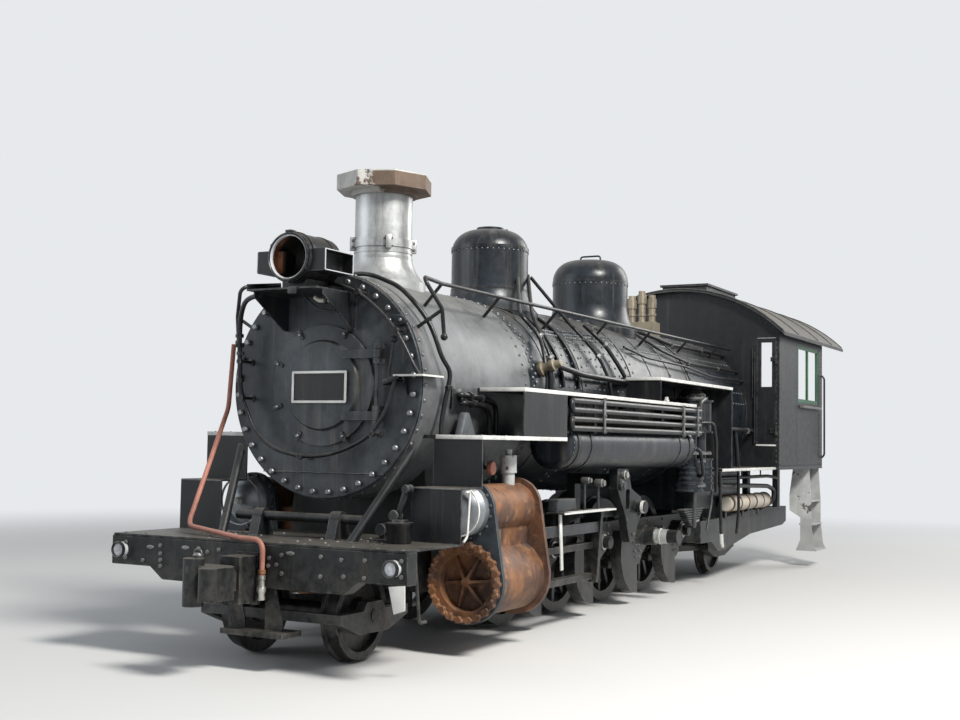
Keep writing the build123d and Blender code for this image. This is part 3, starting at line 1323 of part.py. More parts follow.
with BuildPart() as handrails:
    for hand, sign in SIDES:
        with BuildLine() as rail_path:
            nose = [(sign * x, at(station), z) for x, station, z in RAIL_NOSE]
            FilletPolyline(*nose, (sign * RAIL_X, at(RAIL_END), RAIL_Z), radius=RAIL_BENDS)
        with BuildSketch(rail_path.line ^ 0):
            Circle(RAIL_RADIUS)
        sweep(path=rail_path.line)
        with Locations(nose[0]):
            Sphere(RAIL_BALL)
        for station, rail_x, rail_z in STANCHIONS:
            reach = sqrt(rail_x ** 2 + (rail_z - BOILER_Z) ** 2)
            outward = Vector(sign * rail_x / reach, 0, (rail_z - BOILER_Z) / reach)
            foot = Vector(0, at(station), BOILER_Z) + outward * STANCHION_ROOT
            with BuildSketch(Plane(origin=foot, z_dir=outward)):
                Circle(STANCHION_RADIUS)
            extrude(amount=reach - STANCHION_ROOT)
    for shell, start, end in (
        (SMOKEBOX_RADIUS, 0, SMOKEBOX_END),
        (COURSE_RADIUS, SMOKEBOX_END, TAPER_START),
        (REAR_COURSE_RADIUS, TAPER_END, FIREBOX_START),
        (FIREBOX_RADIUS, FIREBOX_START, CAB_STATION),
    ):
        with Locations((0, at((start + end) / 2), BOILER_Z)):
            Cylinder(shell + SEAT, end - start, rotation=(90, 0, 0), mode=Mode.SUBTRACT)
    with Locations((0, at((TAPER_START + TAPER_END) / 2), BOILER_Z)):
        Cone(
            COURSE_RADIUS + SEAT,
            REAR_COURSE_RADIUS + SEAT,
            TAPER_END - TAPER_START,
            rotation=(-90, 0, 0),
            mode=Mode.SUBTRACT,
        )
handrails.part.label = "handrails"
export_step(handrails.part, "parts/handrails.step")

# Running boards: low, high and top levels, then the board to the cab
BOARD_INNER = 820.0
TOP_BOARD_START = 4150.0
TOP_BOARD_END = 6640.0
BOARDS = (
    # front station, rear station, height of the top
    (STEP_REAR, 1790.0, LOW_BOARD_Z),
    (930.0, 5300.0, HIGH_BOARD_Z),
    (TOP_BOARD_START, TOP_BOARD_END, TOP_BOARD_Z),
    (6250.0, CAB_STATION - SEAT, CAB_BOARD_Z),
)
PANEL = 12.0
PANEL_WIDTH = 400.0
PANEL_X = BOARD_OUT - PANEL_WIDTH / 2
SIDE_SHEET_STATION = 1360.0
SIDE_SHEET_LENGTH = 860.0
PANELS = (
    # middle x, station, width, length, bottom, top of each upright sheet
    (
        BOARD_OUT - PANEL / 2,
        SIDE_SHEET_STATION,
        PANEL,
        SIDE_SHEET_LENGTH,
        LOW_BOARD_Z - PANEL,
        HIGH_BOARD_Z - PANEL,
    ),
    (PANEL_X, TOP_BOARD_START + PANEL, PANEL_WIDTH, PANEL, HIGH_BOARD_Z - PANEL, TOP_BOARD_Z - PANEL),
    (PANEL_X, TOP_BOARD_END - PANEL, PANEL_WIDTH, PANEL, CAB_BOARD_Z - PANEL, TOP_BOARD_Z - PANEL),
)
BRACKET_STATIONS = (2700.0, 4000.0, 5150.0)
BRACKET_IN = 850.0
BRACKET_OUT = 1300.0
BRACKET_DEPTH = 100.0
BRACKET_PLATE = 16.0
for hand, sign in SIDES:
    with BuildPart() as running_board:
        for start, end, top in BOARDS:
            inner = BOARD_INNER if top != CAB_BOARD_Z else FIREBOX_HALF_WIDTH + SEAT
            with Locations((sign * (inner + BOARD_OUT) / 2, at((start + end) / 2), top - BOARD_THICK / 2)):
                Box(BOARD_OUT - inner, end - start, BOARD_THICK)
        for panel_x, station, width, length, low, high in PANELS:
            with Locations((sign * panel_x, at(station), (low + high) / 2)):
                Box(width, length, high - low)
        for station in BRACKET_STATIONS:
            with BuildSketch(face(at(station))):
                with BuildLine():
                    Polyline(
                        (sign * BRACKET_IN, HIGH_BOARD_Z - BOARD_THICK),
                        (sign * BRACKET_OUT, HIGH_BOARD_Z - BOARD_THICK),
                        (sign * BRACKET_IN, HIGH_BOARD_Z - BOARD_THICK - BRACKET_DEPTH),
                        close=True,
                    )
                make_face()
            extrude(amount=-BRACKET_PLATE)
        for shell, start, end in (
            (SMOKEBOX_RADIUS, 0, SMOKEBOX_END),
            (COURSE_RADIUS + BAND_HEIGHT, SMOKEBOX_END, TAPER_START),
            (REAR_COURSE_RADIUS + BAND_HEIGHT, TAPER_START, FIREBOX_START),
            (FIREBOX_RADIUS, FIREBOX_START, CAB_STATION),
        ):
            with Locations((0, at((start + end) / 2), BOILER_Z)):
                Cylinder(shell + SEAT, end - start, rotation=(90, 0, 0), mode=Mode.SUBTRACT)
    running_board.part.label = f"running_board_{hand}"
    export_step(running_board.part, f"parts/running_board_{hand}.step")

# Air reservoirs under the high boards, with strap hangers
TANK_X = 1140.0
TANK_Z = 1735.0
TANK_RADIUS = 230.0
TANK_START = 1970.0
TANK_END = 5400.0
TANK_END_ROUND = 85.0
TANK_STRAPS = (2450.0, 4900.0)
TANK_STRAP_WIDTH = 70.0
TANK_STRAP_RISE = 7.0
BOARD_UNDER = HIGH_BOARD_Z - BOARD_THICK
with BuildPart() as air_reservoirs:
    for hand, sign in SIDES:
        tank_middle = (sign * TANK_X, at((TANK_START + TANK_END) / 2), TANK_Z)
        with Locations(tank_middle):
            Cylinder(TANK_RADIUS, TANK_END - TANK_START, rotation=(90, 0, 0))
    ends = air_reservoirs.edges().filter_by(GeomType.CIRCLE)
    fillet(ends, TANK_END_ROUND)
    for hand, sign in SIDES:
        for station in TANK_STRAPS:
            with Locations((sign * TANK_X, at(station), TANK_Z)):
                Cylinder(TANK_RADIUS + TANK_STRAP_RISE, TANK_STRAP_WIDTH, rotation=(90, 0, 0))
            hanger_low = TANK_Z + TANK_RADIUS - 20
            with Locations((sign * TANK_X, at(station), (hanger_low + BOARD_UNDER - SEAT) / 2)):
                Box(2 * TANK_STRAP_RISE, TANK_STRAP_WIDTH, BOARD_UNDER - SEAT - hanger_low)
air_reservoirs.part.label = "air_reservoirs"
export_step(air_reservoirs.part, "parts/air_reservoirs.step")

# Cooling coil: four runs of pipe in one serpentine, on two hangers
COIL_X = 1392.0
COIL_RADIUS = 27.0
COIL_START = 1900.0
COIL_END = 5450.0
COIL_LOW = 1890.0
COIL_STEP = 84.0
COIL_RUNS = 4
COIL_HANGERS = (2500.0, 4950.0)
COIL_HANGER_THICK = 16.0
COIL_HANGER_WIDTH = 60.0
COIL_HANGER_DROP = 40.0
with BuildPart() as cooling_coil:
    with BuildLine() as coil_path:
        coil_points = []
        for run in range(COIL_RUNS):
            run_z = COIL_LOW + COIL_STEP * (COIL_RUNS - 1 - run)
            ends_of_run = [(COIL_X, at(COIL_END), run_z), (COIL_X, at(COIL_START), run_z)]
            coil_points += ends_of_run if run % 2 == 0 else ends_of_run[::-1]
        FilletPolyline(*coil_points, radius=COIL_STEP / 2 - 1)
    with BuildSketch(coil_path.line ^ 0):
        Circle(COIL_RADIUS)
    sweep(path=coil_path.line)
    for station in COIL_HANGERS:
        hanger_low = COIL_LOW - COIL_HANGER_DROP
        hanger_x = COIL_X - COIL_RADIUS - COIL_HANGER_THICK / 4
        with Locations((hanger_x, at(station), (hanger_low + BOARD_UNDER - SEAT) / 2)):
            Box(COIL_HANGER_THICK, COIL_HANGER_WIDTH, BOARD_UNDER - SEAT - hanger_low)
cooling_coil.part.label = "cooling_coil"
export_step(cooling_coil.part, "parts/cooling_coil.step")

# Two-stage air compressor on the left: steam cylinders over ribbed air cylinders
PUMP_X = 1200.0
PUMP_STATION = 5830.0
PUMP_SPREAD = 165.0
PUMP_LENGTHS = (
    # radius, bottom, top of each turned length
    (150.0, 1215.0, 1600.0),
    (78.0, 1595.0, 1905.0),
    (138.0, 1900.0, 2290.0),
    (100.0, 2285.0, 2330.0),
)
PUMP_RIBS = (1225.0, 1310.0, 1370.0, 1430.0, 1490.0, 1590.0, 1910.0, 2280.0)
PUMP_RIB_RADIUS = 163.0
PUMP_RIB_THICK = 20.0
PUMP_BACK_X = 1040.0
PUMP_BACK_Z = 1750.0
PUMP_BACK_WIDTH = 190.0
PUMP_BACK_HEIGHT = 1000.0
with BuildPart() as air_compressor:
    for shift in (-PUMP_SPREAD, PUMP_SPREAD):
        column_y = at(PUMP_STATION + shift)
        for radius, low, high in PUMP_LENGTHS:
            with Locations((PUMP_X, column_y, (low + high) / 2)):
                Cylinder(radius, high - low)
        for rib_z in PUMP_RIBS:
            with Locations((PUMP_X, column_y, rib_z)):
                Cylinder(PUMP_RIB_RADIUS, PUMP_RIB_THICK)
    with Locations((PUMP_BACK_X, at(PUMP_STATION), PUMP_BACK_Z)):
        Box(PUMP_BACK_WIDTH, 2 * PUMP_SPREAD, PUMP_BACK_HEIGHT)
    with Locations((0, at(PUMP_STATION), BOILER_Z)):
        Cylinder(REAR_COURSE_RADIUS + BAND_HEIGHT + SEAT, 1300, rotation=(90, 0, 0), mode=Mode.SUBTRACT)
air_compressor.part.label = "air_compressor"
export_step(air_compressor.part, "parts/air_compressor.step")

# Diagonal stays from the smokebox front to the deck
STAY_RADIUS = 36.0
STAY_UPPER = (880.0, 60.0, 1730.0)
STAY_LOWER = (600.0, -560.0, 860.0)
with BuildPart() as smokebox_stays:
    for hand, sign in SIDES:
        upper = Vector(sign * STAY_UPPER[0], at(STAY_UPPER[1]), STAY_UPPER[2])
        lower = Vector(sign * STAY_LOWER[0], at(STAY_LOWER[1]), STAY_LOWER[2])
        with BuildSketch(Plane(origin=upper, z_dir=lower - upper)):
            Circle(STAY_RADIUS)
        extrude(amount=(lower - upper).length)
    with Locations((0, at(500 - SEAT), 1700)):
        Box(4000, 1000, 1400, mode=Mode.SUBTRACT)
    with Locations((0, at(-300), DECK_TOP + SEAT - 300)):
        Box(4000, 2000, 600, mode=Mode.SUBTRACT)
smokebox_stays.part.label = "smokebox_stays"
export_step(smokebox_stays.part, "parts/smokebox_stays.step")

# Air pipe down the right side of the smokebox, over the deck to the coupler
PIPE_RADIUS = 20.0
PIPE_ON_DECK = DECK_TOP + SEAT + PIPE_RADIUS
PIPE_ROUTE = (
    # X, station and Z of each corner from the top down
    (-945.0, -25.0, 2560.0),
    (-985.0, -25.0, 2010.0),
    (-905.0, -590.0, 1030.0),
    (-120.0, -895.0, PIPE_ON_DECK),
    (150.0, -950.0, PIPE_ON_DECK),
    (150.0, -955.0, 700.0),
)
PIPE_BENDS = [200, 110, 200, 90]
with BuildPart() as air_pipe:
    with BuildLine() as pipe_path:
        FilletPolyline(*[(x, at(station), z) for x, station, z in PIPE_ROUTE], radius=PIPE_BENDS)
    with BuildSketch(pipe_path.line ^ 0):
        Circle(PIPE_RADIUS)
    sweep(path=pipe_path.line)
air_pipe.part.label = "air_pipe"
export_step(air_pipe.part, "parts/air_pipe.step")

# Sand pipes down both sides of the boiler
SAND_PIPE_RADIUS = 17.0
SAND_PIPE_ARC = 84.0
SAND_PIPE_STATIONS = (SAND_STATION - 186, SAND_STATION + 184)
with BuildPart() as sand_pipes:
    for station in SAND_PIPE_STATIONS:
        for hand, sign in SIDES:
            pipe_centre = COURSE_RADIUS + SEAT + SAND_PIPE_RADIUS
            with BuildSketch(side(0)):
                with Locations((at(station), BOILER_Z + pipe_centre)):
                    Circle(SAND_PIPE_RADIUS)
            revolve(axis=Axis((0, 0, BOILER_Z), (0, 1, 0)), revolution_arc=sign * SAND_PIPE_ARC)
    with Locations((0, at(SAND_STATION), BOILER_Z + 1000)):
        Cylinder(SAND_RADIUS + DOME_FLARE + SEAT, 1400, mode=Mode.SUBTRACT)
sand_pipes.part.label = "sand_pipes"
export_step(sand_pipes.part, "parts/sand_pipes.step")

# Cab front: wall round the boiler, with two narrow doorways
DOORWAY_IN = 1134.0
DOORWAY_OUT = 1398.0
DOORWAY_SILL = 310.0
DOORWAY_HEAD = 120.0
DOORWAY_LOW = CAB_FLOOR + DOORWAY_SILL
DOORWAY_HIGH = SIDE_TOP - DOORWAY_HEAD
DOOR_HINGE_X = 1403.0
DOOR_HINGE_STATION = CAB_STATION - 26.0
DOOR_PIN = 10.0
DOOR_EYE = 20.0
DOOR_EYES = (DOORWAY_LOW + 200, DOORWAY_HIGH - 300)
EYE_HEIGHT = 60.0
DOOR_LUG = 30.0
DOOR_LUG_PLAY = 3.0
with BuildPart() as cab_front:
    with BuildSketch(face(at(CAB_STATION))):
        with Locations((0, ROOF_CENTRE)):
            Circle(ROOF_UNDER)
        with Locations((0, CAB_FLOOR + SEAT + 2000)):
            Rectangle(2 * CAB_HALF, 4000, mode=Mode.INTERSECT)
        with Locations((0, BOILER_Z)):
            Circle(FIREBOX_RADIUS + SEAT, mode=Mode.SUBTRACT)
        with Locations((0, BOILER_Z - 600)):
            Rectangle(2 * (FIREBOX_HALF_WIDTH + SEAT), 1200, mode=Mode.SUBTRACT)
        for sign in (1, -1):
            with Locations((sign * (DOORWAY_IN + DOORWAY_OUT) / 2, (DOORWAY_LOW + DOORWAY_HIGH) / 2)):
                Rectangle(DOORWAY_OUT - DOORWAY_IN, DOORWAY_HIGH - DOORWAY_LOW, mode=Mode.SUBTRACT)
    extrude(amount=-CAB_WALL)
    for sign in (1, -1):
        for eye_z in DOOR_EYES:
            lug_offset = EYE_HEIGHT / 2 + DOOR_LUG / 2 + DOOR_LUG_PLAY
            for lug_z in (eye_z + lug_offset, eye_z - lug_offset):
                with BuildSketch(level(lug_z - DOOR_LUG / 2)):
                    with Locations((sign * DOOR_HINGE_X, at(DOOR_HINGE_STATION))):
                        Circle(DOOR_EYE)
                    with Locations((sign * (DOOR_HINGE_X + 12), at(CAB_STATION - 13))):
                        Rectangle(2 * (DOOR_EYE - 4), 28)
                extrude(amount=DOOR_LUG)
            with Locations((sign * DOOR_HINGE_X, at(DOOR_HINGE_STATION), eye_z)):
                Cylinder(DOOR_PIN, EYE_HEIGHT + 2 * DOOR_LUG)
cab_front.part.label = "cab_front"
export_step(cab_front.part, "parts/cab_front.step")

# Cab front doors, hinged on the outer edge of each doorway
DOOR_LEAF = 30.0
DOOR_STILE = 50.0
DOOR_RAIL = 60.0
for hand, sign in SIDES:
    with BuildPart() as cab_door:
        with BuildSketch(face(at(CAB_STATION + 4))):
            leaf_width = DOORWAY_OUT - DOORWAY_IN - 2 * LEAF_GAP
            leaf_height = DOORWAY_HIGH - DOORWAY_LOW - 2 * LEAF_GAP
            leaf_middle = (sign * (DOORWAY_IN + DOORWAY_OUT) / 2, (DOORWAY_LOW + DOORWAY_HIGH) / 2)
            with Locations(leaf_middle):
                Rectangle(leaf_width, leaf_height)
            with Locations((leaf_middle[0], leaf_middle[1] + leaf_height / 4)):
                Rectangle(leaf_width - 2 * DOOR_STILE, leaf_height / 2 - 2 * DOOR_RAIL, mode=Mode.SUBTRACT)
        extrude(amount=-DOOR_LEAF)
        for eye_z in DOOR_EYES:
            with BuildSketch(level(eye_z - EYE_HEIGHT / 2)):
                with Locations((sign * DOOR_HINGE_X, at(DOOR_HINGE_STATION))):
                    Circle(DOOR_EYE)
                with Locations((sign * (DOOR_HINGE_X - 40), at(CAB_STATION - 14))):
                    Rectangle(60, 40)
                with Locations((sign * DOOR_HINGE_X, at(DOOR_HINGE_STATION))):
                    Circle(DOOR_PIN + PIN_FIT, mode=Mode.SUBTRACT)
            extrude(amount=EYE_HEIGHT)
    cab_door.part.label = f"cab_door_{hand}"
    export_step(cab_door.part, f"parts/cab_door_{hand}.step")

# Cab sides with their windows, and the sashes in them
WINDOW_FRONT = 9530.0
WINDOW_REAR = 10680.0
WINDOW_SILL = 930.0
WINDOW_HEAD = 154.0
WINDOW_LOW_Z = CAB_FLOOR + WINDOW_SILL
WINDOW_HIGH_Z = SIDE_TOP - WINDOW_HEAD
WINDOW_MIDDLE = (at((WINDOW_FRONT + WINDOW_REAR) / 2), (WINDOW_LOW_Z + WINDOW_HIGH_Z) / 2)
SASH_WIDTH = 48.0
SASH_INSET = 5.0
for hand, sign in SIDES:
    with BuildPart() as cab_side:
        inner = CAB_HALF - CAB_WALL if sign > 0 else -CAB_HALF
        with BuildSketch(side(inner)):
            with BuildLine():
                Polyline(
                    (at(CAB_STATION + CAB_WALL + SEAT), CAB_FLOOR + SEAT),
                    (at(CAB_REAR), CAB_FLOOR + SEAT),
                    (at(CAB_REAR), SIDE_TOP),
                    (at(CAB_STATION + CAB_WALL + SEAT), SIDE_TOP),
                    close=True,
                )
            make_face()
            with Locations(WINDOW_MIDDLE):
                Rectangle(WINDOW_REAR - WINDOW_FRONT, WINDOW_HIGH_Z - WINDOW_LOW_Z, mode=Mode.SUBTRACT)
        extrude(amount=CAB_WALL)
    cab_side.part.label = f"cab_side_{hand}"
    export_step(cab_side.part, f"parts/cab_side_{hand}.step")

with BuildPart() as window_sashes:
    for sign in (1, -1):
        inner = SASH_INSET + (CAB_HALF - CAB_WALL if sign > 0 else -CAB_HALF)
        with BuildSketch(side(inner)):
            with Locations(WINDOW_MIDDLE):
                Rectangle(WINDOW_REAR - WINDOW_FRONT - 2 * SEAT, WINDOW_HIGH_Z - WINDOW_LOW_Z - 2 * SEAT)
                Rectangle(
                    WINDOW_REAR - WINDOW_FRONT - 2 * SASH_WIDTH,
                    WINDOW_HIGH_Z - WINDOW_LOW_Z - 2 * SASH_WIDTH,
                    mode=Mode.SUBTRACT,
                )
                Rectangle(SASH_WIDTH, WINDOW_HIGH_Z - WINDOW_LOW_Z - SASH_WIDTH)
        extrude(amount=CAB_WALL - 2 * SASH_INSET)
window_sashes.part.label = "window_sashes"
export_step(window_sashes.part, "parts/window_sashes.step")

# Cab roof: one arched sheet with a raised vent
VENT_FRONT = 8800.0
VENT_REAR = 10150.0
VENT_HALF = 330.0
VENT_RISE = 110.0
VENT_CAP = 30.0
VENT_TOP = ROOF_RIDGE + VENT_RISE
VENT_ROOT = ROOF_RIDGE - 28
with BuildPart() as cab_roof:
    with BuildSketch(face(at(ROOF_FRONT))):
        with Locations((0, ROOF_CENTRE)):
            Circle(ROOF_RADIUS)
            Circle(ROOF_RADIUS - ROOF_PLATE, mode=Mode.SUBTRACT)
        with Locations((0, ROOF_RIDGE)):
            Rectangle(2 * ROOF_HALF, 1600, mode=Mode.INTERSECT)
    extrude(amount=-(REACH_BEHIND - ROOF_FRONT))
    with Locations((0, at((VENT_FRONT + VENT_REAR) / 2), (VENT_ROOT + VENT_TOP - VENT_CAP) / 2)):
        Box(2 * VENT_HALF, VENT_REAR - VENT_FRONT, VENT_TOP - VENT_CAP - VENT_ROOT)
    with Locations((0, at((VENT_FRONT + VENT_REAR) / 2), VENT_TOP - VENT_CAP / 2)):
        Box(2 * (VENT_HALF + VENT_CAP), VENT_REAR - VENT_FRONT + 2 * VENT_CAP, VENT_CAP)
    with Locations((0, 0, ROOF_CENTRE)):
        Cylinder(ROOF_RADIUS - ROOF_PLATE, 30000, rotation=(90, 0, 0), mode=Mode.SUBTRACT)
cab_roof.part.label = "cab_roof"
export_step(cab_roof.part, "parts/cab_roof.step")

# Cab floor with the two seat lockers on it
FLOOR_PLATE = 25.0
LOCKER_X = 1170.0
LOCKER_STATION = 9980.0
LOCKER_WIDTH = 440.0
LOCKER_LENGTH = 560.0
LOCKER_HEIGHT = 481.0
LOCKER_SINK = 1.0
with BuildPart() as cab_floor:
    with Locations((0, at(CAB_STATION + CAB_LENGTH / 2), CAB_FLOOR - FLOOR_PLATE / 2)):
        Box(2 * CAB_HALF, CAB_LENGTH, FLOOR_PLATE)
    for sign in (1, -1):
        with Locations((sign * LOCKER_X, at(LOCKER_STATION), CAB_FLOOR + (LOCKER_HEIGHT - LOCKER_SINK) / 2)):
            Box(LOCKER_WIDTH, LOCKER_LENGTH, LOCKER_HEIGHT + LOCKER_SINK)
cab_floor.part.label = "cab_floor"
export_step(cab_floor.part, "parts/cab_floor.step")

# Backhead of the boiler inside the cab
BACKHEAD_END = 9230.0
with BuildPart() as backhead:
    with BuildSketch(face(at(CAB_STATION))):
        with Locations((0, BOILER_Z)):
            Circle(FIREBOX_RADIUS)
        with Locations((0, BOILER_Z - 500)):
            Rectangle(2 * FIREBOX_HALF_WIDTH, 1000)
        with Locations((0, CAB_FLOOR + SEAT - 500)):
            Rectangle(3 * FIREBOX_RADIUS, 1000, mode=Mode.SUBTRACT)
    extrude(amount=-(BACKHEAD_END - CAB_STATION))
    chamfer(backhead.edges().group_by(Axis.Y)[-1].filter_by(GeomType.CIRCLE), 50)
backhead.part.label = "backhead"
export_step(backhead.part, "parts/backhead.step")

# Ash pan hopper under the firebox
PAN_STATION = 7330.0
PAN_BOTTOM = 540.0
PAN_TOP_WIDTH = 1180.0
PAN_TOP_LENGTH = 1080.0
PAN_LOW_WIDTH = 620.0
PAN_LOW_LENGTH = 760.0
with BuildPart() as ash_pan:
    with BuildSketch(level(FIREBOX_BOTTOM - SEAT)):
        with Locations((0, at(PAN_STATION))):
            Rectangle(PAN_TOP_WIDTH, PAN_TOP_LENGTH)
    with BuildSketch(level(PAN_BOTTOM)):
        with Locations((0, at(PAN_STATION))):
            Rectangle(PAN_LOW_WIDTH, PAN_LOW_LENGTH)
    loft()
ash_pan.part.label = "ash_pan"
export_step(ash_pan.part, "parts/ash_pan.step")

# Rear frame: outside plates past the trailing wheels, tied at the rear
REAR_FRAME_IN = 880.0
REAR_FRAME_PLATE = 80.0
REAR_FRAME_END = 10700.0
REAR_TIE = 180.0
DRAWBAR_STATION = 10820.0
DRAWBAR_PIN = 46.0
DRAWBAR_Z = 730.0
DRAWBAR_DEPTH = 160.0
DRAWBAR_HALF = 210.0
DRAWBAR_REACH = 60.0
REAR_FRAME_OUTLINE = (
    # station and height of each corner
    (FRAME_REAR + SEAT, 530.0),
    (FRAME_REAR + SEAT, 800.0),
    (7640.0, 810.0),
    (8855.0, 862.0),
    (REAR_FRAME_END, 862.0),
    (REAR_FRAME_END, 640.0),
    (10500.0, 590.0),
    (8859.0, 540.0),
    (7716.0, 395.0),
    (7450.0, 395.0),
    (7200.0, 530.0),
)
FLOOR_POSTS = (8800.0, 10300.0)
FLOOR_POST_LENGTH = 120.0
FLOOR_POST_LOW = 850.0
FLOOR_POST_TOP = CAB_FLOOR - FLOOR_PLATE - SEAT
JOGGLE_WIDTH = 300.0
JOGGLE_LENGTH = 120.0
JOGGLE_HEIGHT = 260.0
JOGGLE_Z = 665.0
with BuildPart() as rear_frame:
    with BuildSketch(side(REAR_FRAME_IN)):
        with BuildLine():
            Polyline(*[(at(station), z) for station, z in REAR_FRAME_OUTLINE], close=True)
        make_face()
    extrude(amount=REAR_FRAME_PLATE)
    post_x = REAR_FRAME_IN + REAR_FRAME_PLATE / 2
    for post_station in FLOOR_POSTS:
        with Locations((post_x, at(post_station), (FLOOR_POST_LOW + FLOOR_POST_TOP) / 2)):
            Box(REAR_FRAME_PLATE, FLOOR_POST_LENGTH, FLOOR_POST_TOP - FLOOR_POST_LOW)
    with Locations((FRAME_INSIDE + JOGGLE_WIDTH / 2, at(FRAME_REAR + SEAT + JOGGLE_LENGTH / 2), JOGGLE_Z)):
        Box(JOGGLE_WIDTH, JOGGLE_LENGTH, JOGGLE_HEIGHT)
    mirror(about=Plane.YZ)
    with Locations((0, at(REAR_FRAME_END - REAR_TIE / 2), DRAWBAR_Z)):
        Box(2 * REAR_FRAME_IN, REAR_TIE, DRAWBAR_DEPTH + 90)
    block_start = REAR_FRAME_END - DRAWBAR_REACH / 2
    block_end = DRAWBAR_STATION + DRAWBAR_REACH
    with BuildSketch(level(DRAWBAR_Z - DRAWBAR_DEPTH / 2)):
        with Locations((0, at((block_start + block_end) / 2))):
            Rectangle(2 * DRAWBAR_HALF, block_end - block_start)
        with Locations((0, at(DRAWBAR_STATION))):
            Circle(DRAWBAR_PIN, mode=Mode.SUBTRACT)
    extrude(amount=DRAWBAR_DEPTH)
rear_frame.part.label = "rear_frame"
export_step(rear_frame.part, "parts/rear_frame.step")

# Steps under the rear of the cab: two shaped strings with treads between
STRING_FRONT = 10270.0
STRING_REAR = 10830.0
STRING_PLATE = 14.0
STEP_TREADS = (
    # height, inner X, outer X of each tread
    (245.0, 1235.0, 1520.0),
    (620.0, 1270.0, 1470.0),
    (960.0, 1150.0, 1440.0),
)
TREAD_THICK = 22.0
STRING_TOP = CAB_FLOOR - FLOOR_PLATE - SEAT
STRING_OUTLINE = (
    (1180.0, STRING_TOP),
    (1420.0, STRING_TOP),
    (1450.0, 960.0),
    (1450.0, 640.0),
    (1485.0, 330.0),
    (1530.0, 235.0),
    (1225.0, 235.0),
    (1290.0, 400.0),
    (1290.0, 720.0),
    (1130.0, 820.0),
    (1130.0, 1050.0),
)
with BuildPart() as rear_steps:
    for sign in (1, -1):
        for string_station in (STRING_FRONT, STRING_REAR):
            with BuildSketch(face(at(string_station))):
                with BuildLine():
                    Polyline(*[(sign * x, z) for x, z in STRING_OUTLINE], close=True)
                make_face()
            extrude(amount=-STRING_PLATE)
        for tread_z, tread_in, tread_out in STEP_TREADS:
            tread_y = at((STRING_FRONT + STRING_REAR + STRING_PLATE) / 2)
            with Locations((sign * (tread_in + tread_out) / 2, tread_y, tread_z)):
                Box(tread_out - tread_in, STRING_REAR - STRING_FRONT, TREAD_THICK)
rear_steps.part.label = "rear_steps"
export_step(rear_steps.part, "parts/rear_steps.step")
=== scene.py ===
import json
import math

import bmesh
import bpy
import numpy as np
from mathutils import Matrix, Vector


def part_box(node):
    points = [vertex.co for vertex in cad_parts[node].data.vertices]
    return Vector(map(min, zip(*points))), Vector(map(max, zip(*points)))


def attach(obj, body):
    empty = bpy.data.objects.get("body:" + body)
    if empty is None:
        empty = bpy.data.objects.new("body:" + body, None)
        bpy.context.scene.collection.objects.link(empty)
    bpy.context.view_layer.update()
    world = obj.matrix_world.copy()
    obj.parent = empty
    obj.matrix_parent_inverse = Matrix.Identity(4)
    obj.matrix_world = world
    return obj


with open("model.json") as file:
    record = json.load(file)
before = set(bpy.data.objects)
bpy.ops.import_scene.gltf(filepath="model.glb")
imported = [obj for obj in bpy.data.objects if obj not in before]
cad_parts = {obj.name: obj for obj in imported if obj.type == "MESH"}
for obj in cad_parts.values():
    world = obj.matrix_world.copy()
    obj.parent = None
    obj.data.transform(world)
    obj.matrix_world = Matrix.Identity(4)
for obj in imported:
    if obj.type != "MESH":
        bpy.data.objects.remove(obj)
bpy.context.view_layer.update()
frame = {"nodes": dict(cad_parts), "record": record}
NODES = frame["nodes"]

# %% [markdown]
# A narrow-gauge steam locomotive stands in a yard with its rods off. Its
# shapes come from the CAD model. Here it gets what time and weather gave it:
# paint, rust and dust, and the small fittings, rivets, bolts and pipes that
# cover such a machine. Everything is in metres, in the CAD model's frame.

# %% The locomotive's main sizes, measured from the CAD pieces
FRONT_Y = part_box("smokebox_front")[1].y - 0.025
BOILER_Z = (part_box("smokebox")[0].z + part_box("smokebox")[1].z) / 2
SMOKEBOX_RADIUS = (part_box("smokebox")[1].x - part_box("smokebox")[0].x) / 2
SIDES = (("left", 1), ("right", -1))


def at(station):
    """Y of a station, in metres behind the smokebox front plate."""
    return FRONT_Y + station


print("smokebox radius", round(SMOKEBOX_RADIUS, 3), "front plate at", round(FRONT_Y, 3))

# %% [markdown]
# The camera comes first, so that each piece can be compared with the
# photograph. Its place and turn were worked out from points on the machine.
# A lens's length in millimetres is its length in pixels times the sensor's
# width over the picture's width.

# %% Camera
EYE = Vector((6.265, -13.939, 1.751))
YAW, PITCH, ROLL = (math.radians(turn) for turn in (28.618, 3.634, -0.967))
FOCAL_PIXELS = 1289.1
PHOTO_WIDTH = 960
SENSOR = 36.0
ahead = Vector((-math.sin(YAW) * math.cos(PITCH), math.cos(YAW) * math.cos(PITCH), math.sin(PITCH)))
level_right = Vector((math.cos(YAW), math.sin(YAW), 0))
level_up = level_right.cross(ahead)
right = level_right * math.cos(ROLL) - level_up * math.sin(ROLL)
up = level_right * math.sin(ROLL) + level_up * math.cos(ROLL)
camera_data = bpy.data.cameras.new("yard_camera")
camera_data.sensor_width = SENSOR
camera_data.lens = FOCAL_PIXELS / PHOTO_WIDTH * SENSOR
camera = bpy.data.objects.new("yard_camera", camera_data)
bpy.context.scene.collection.objects.link(camera)
turn = Matrix((right, up, -ahead)).transposed().to_4x4()
camera.matrix_world = Matrix.Translation(EYE) @ turn
bpy.context.scene.camera = camera
print("lens", round(camera_data.lens, 2), "mm")

# %% [markdown]
# Black machines are shown by what they reflect, so the light is broad: one
# wide lamp from the upper right front, where the sun stands in the
# photograph, two weaker ones from the other side and from behind, and an
# even sky. The floor is plain and pale, so that nothing draws the eye away.

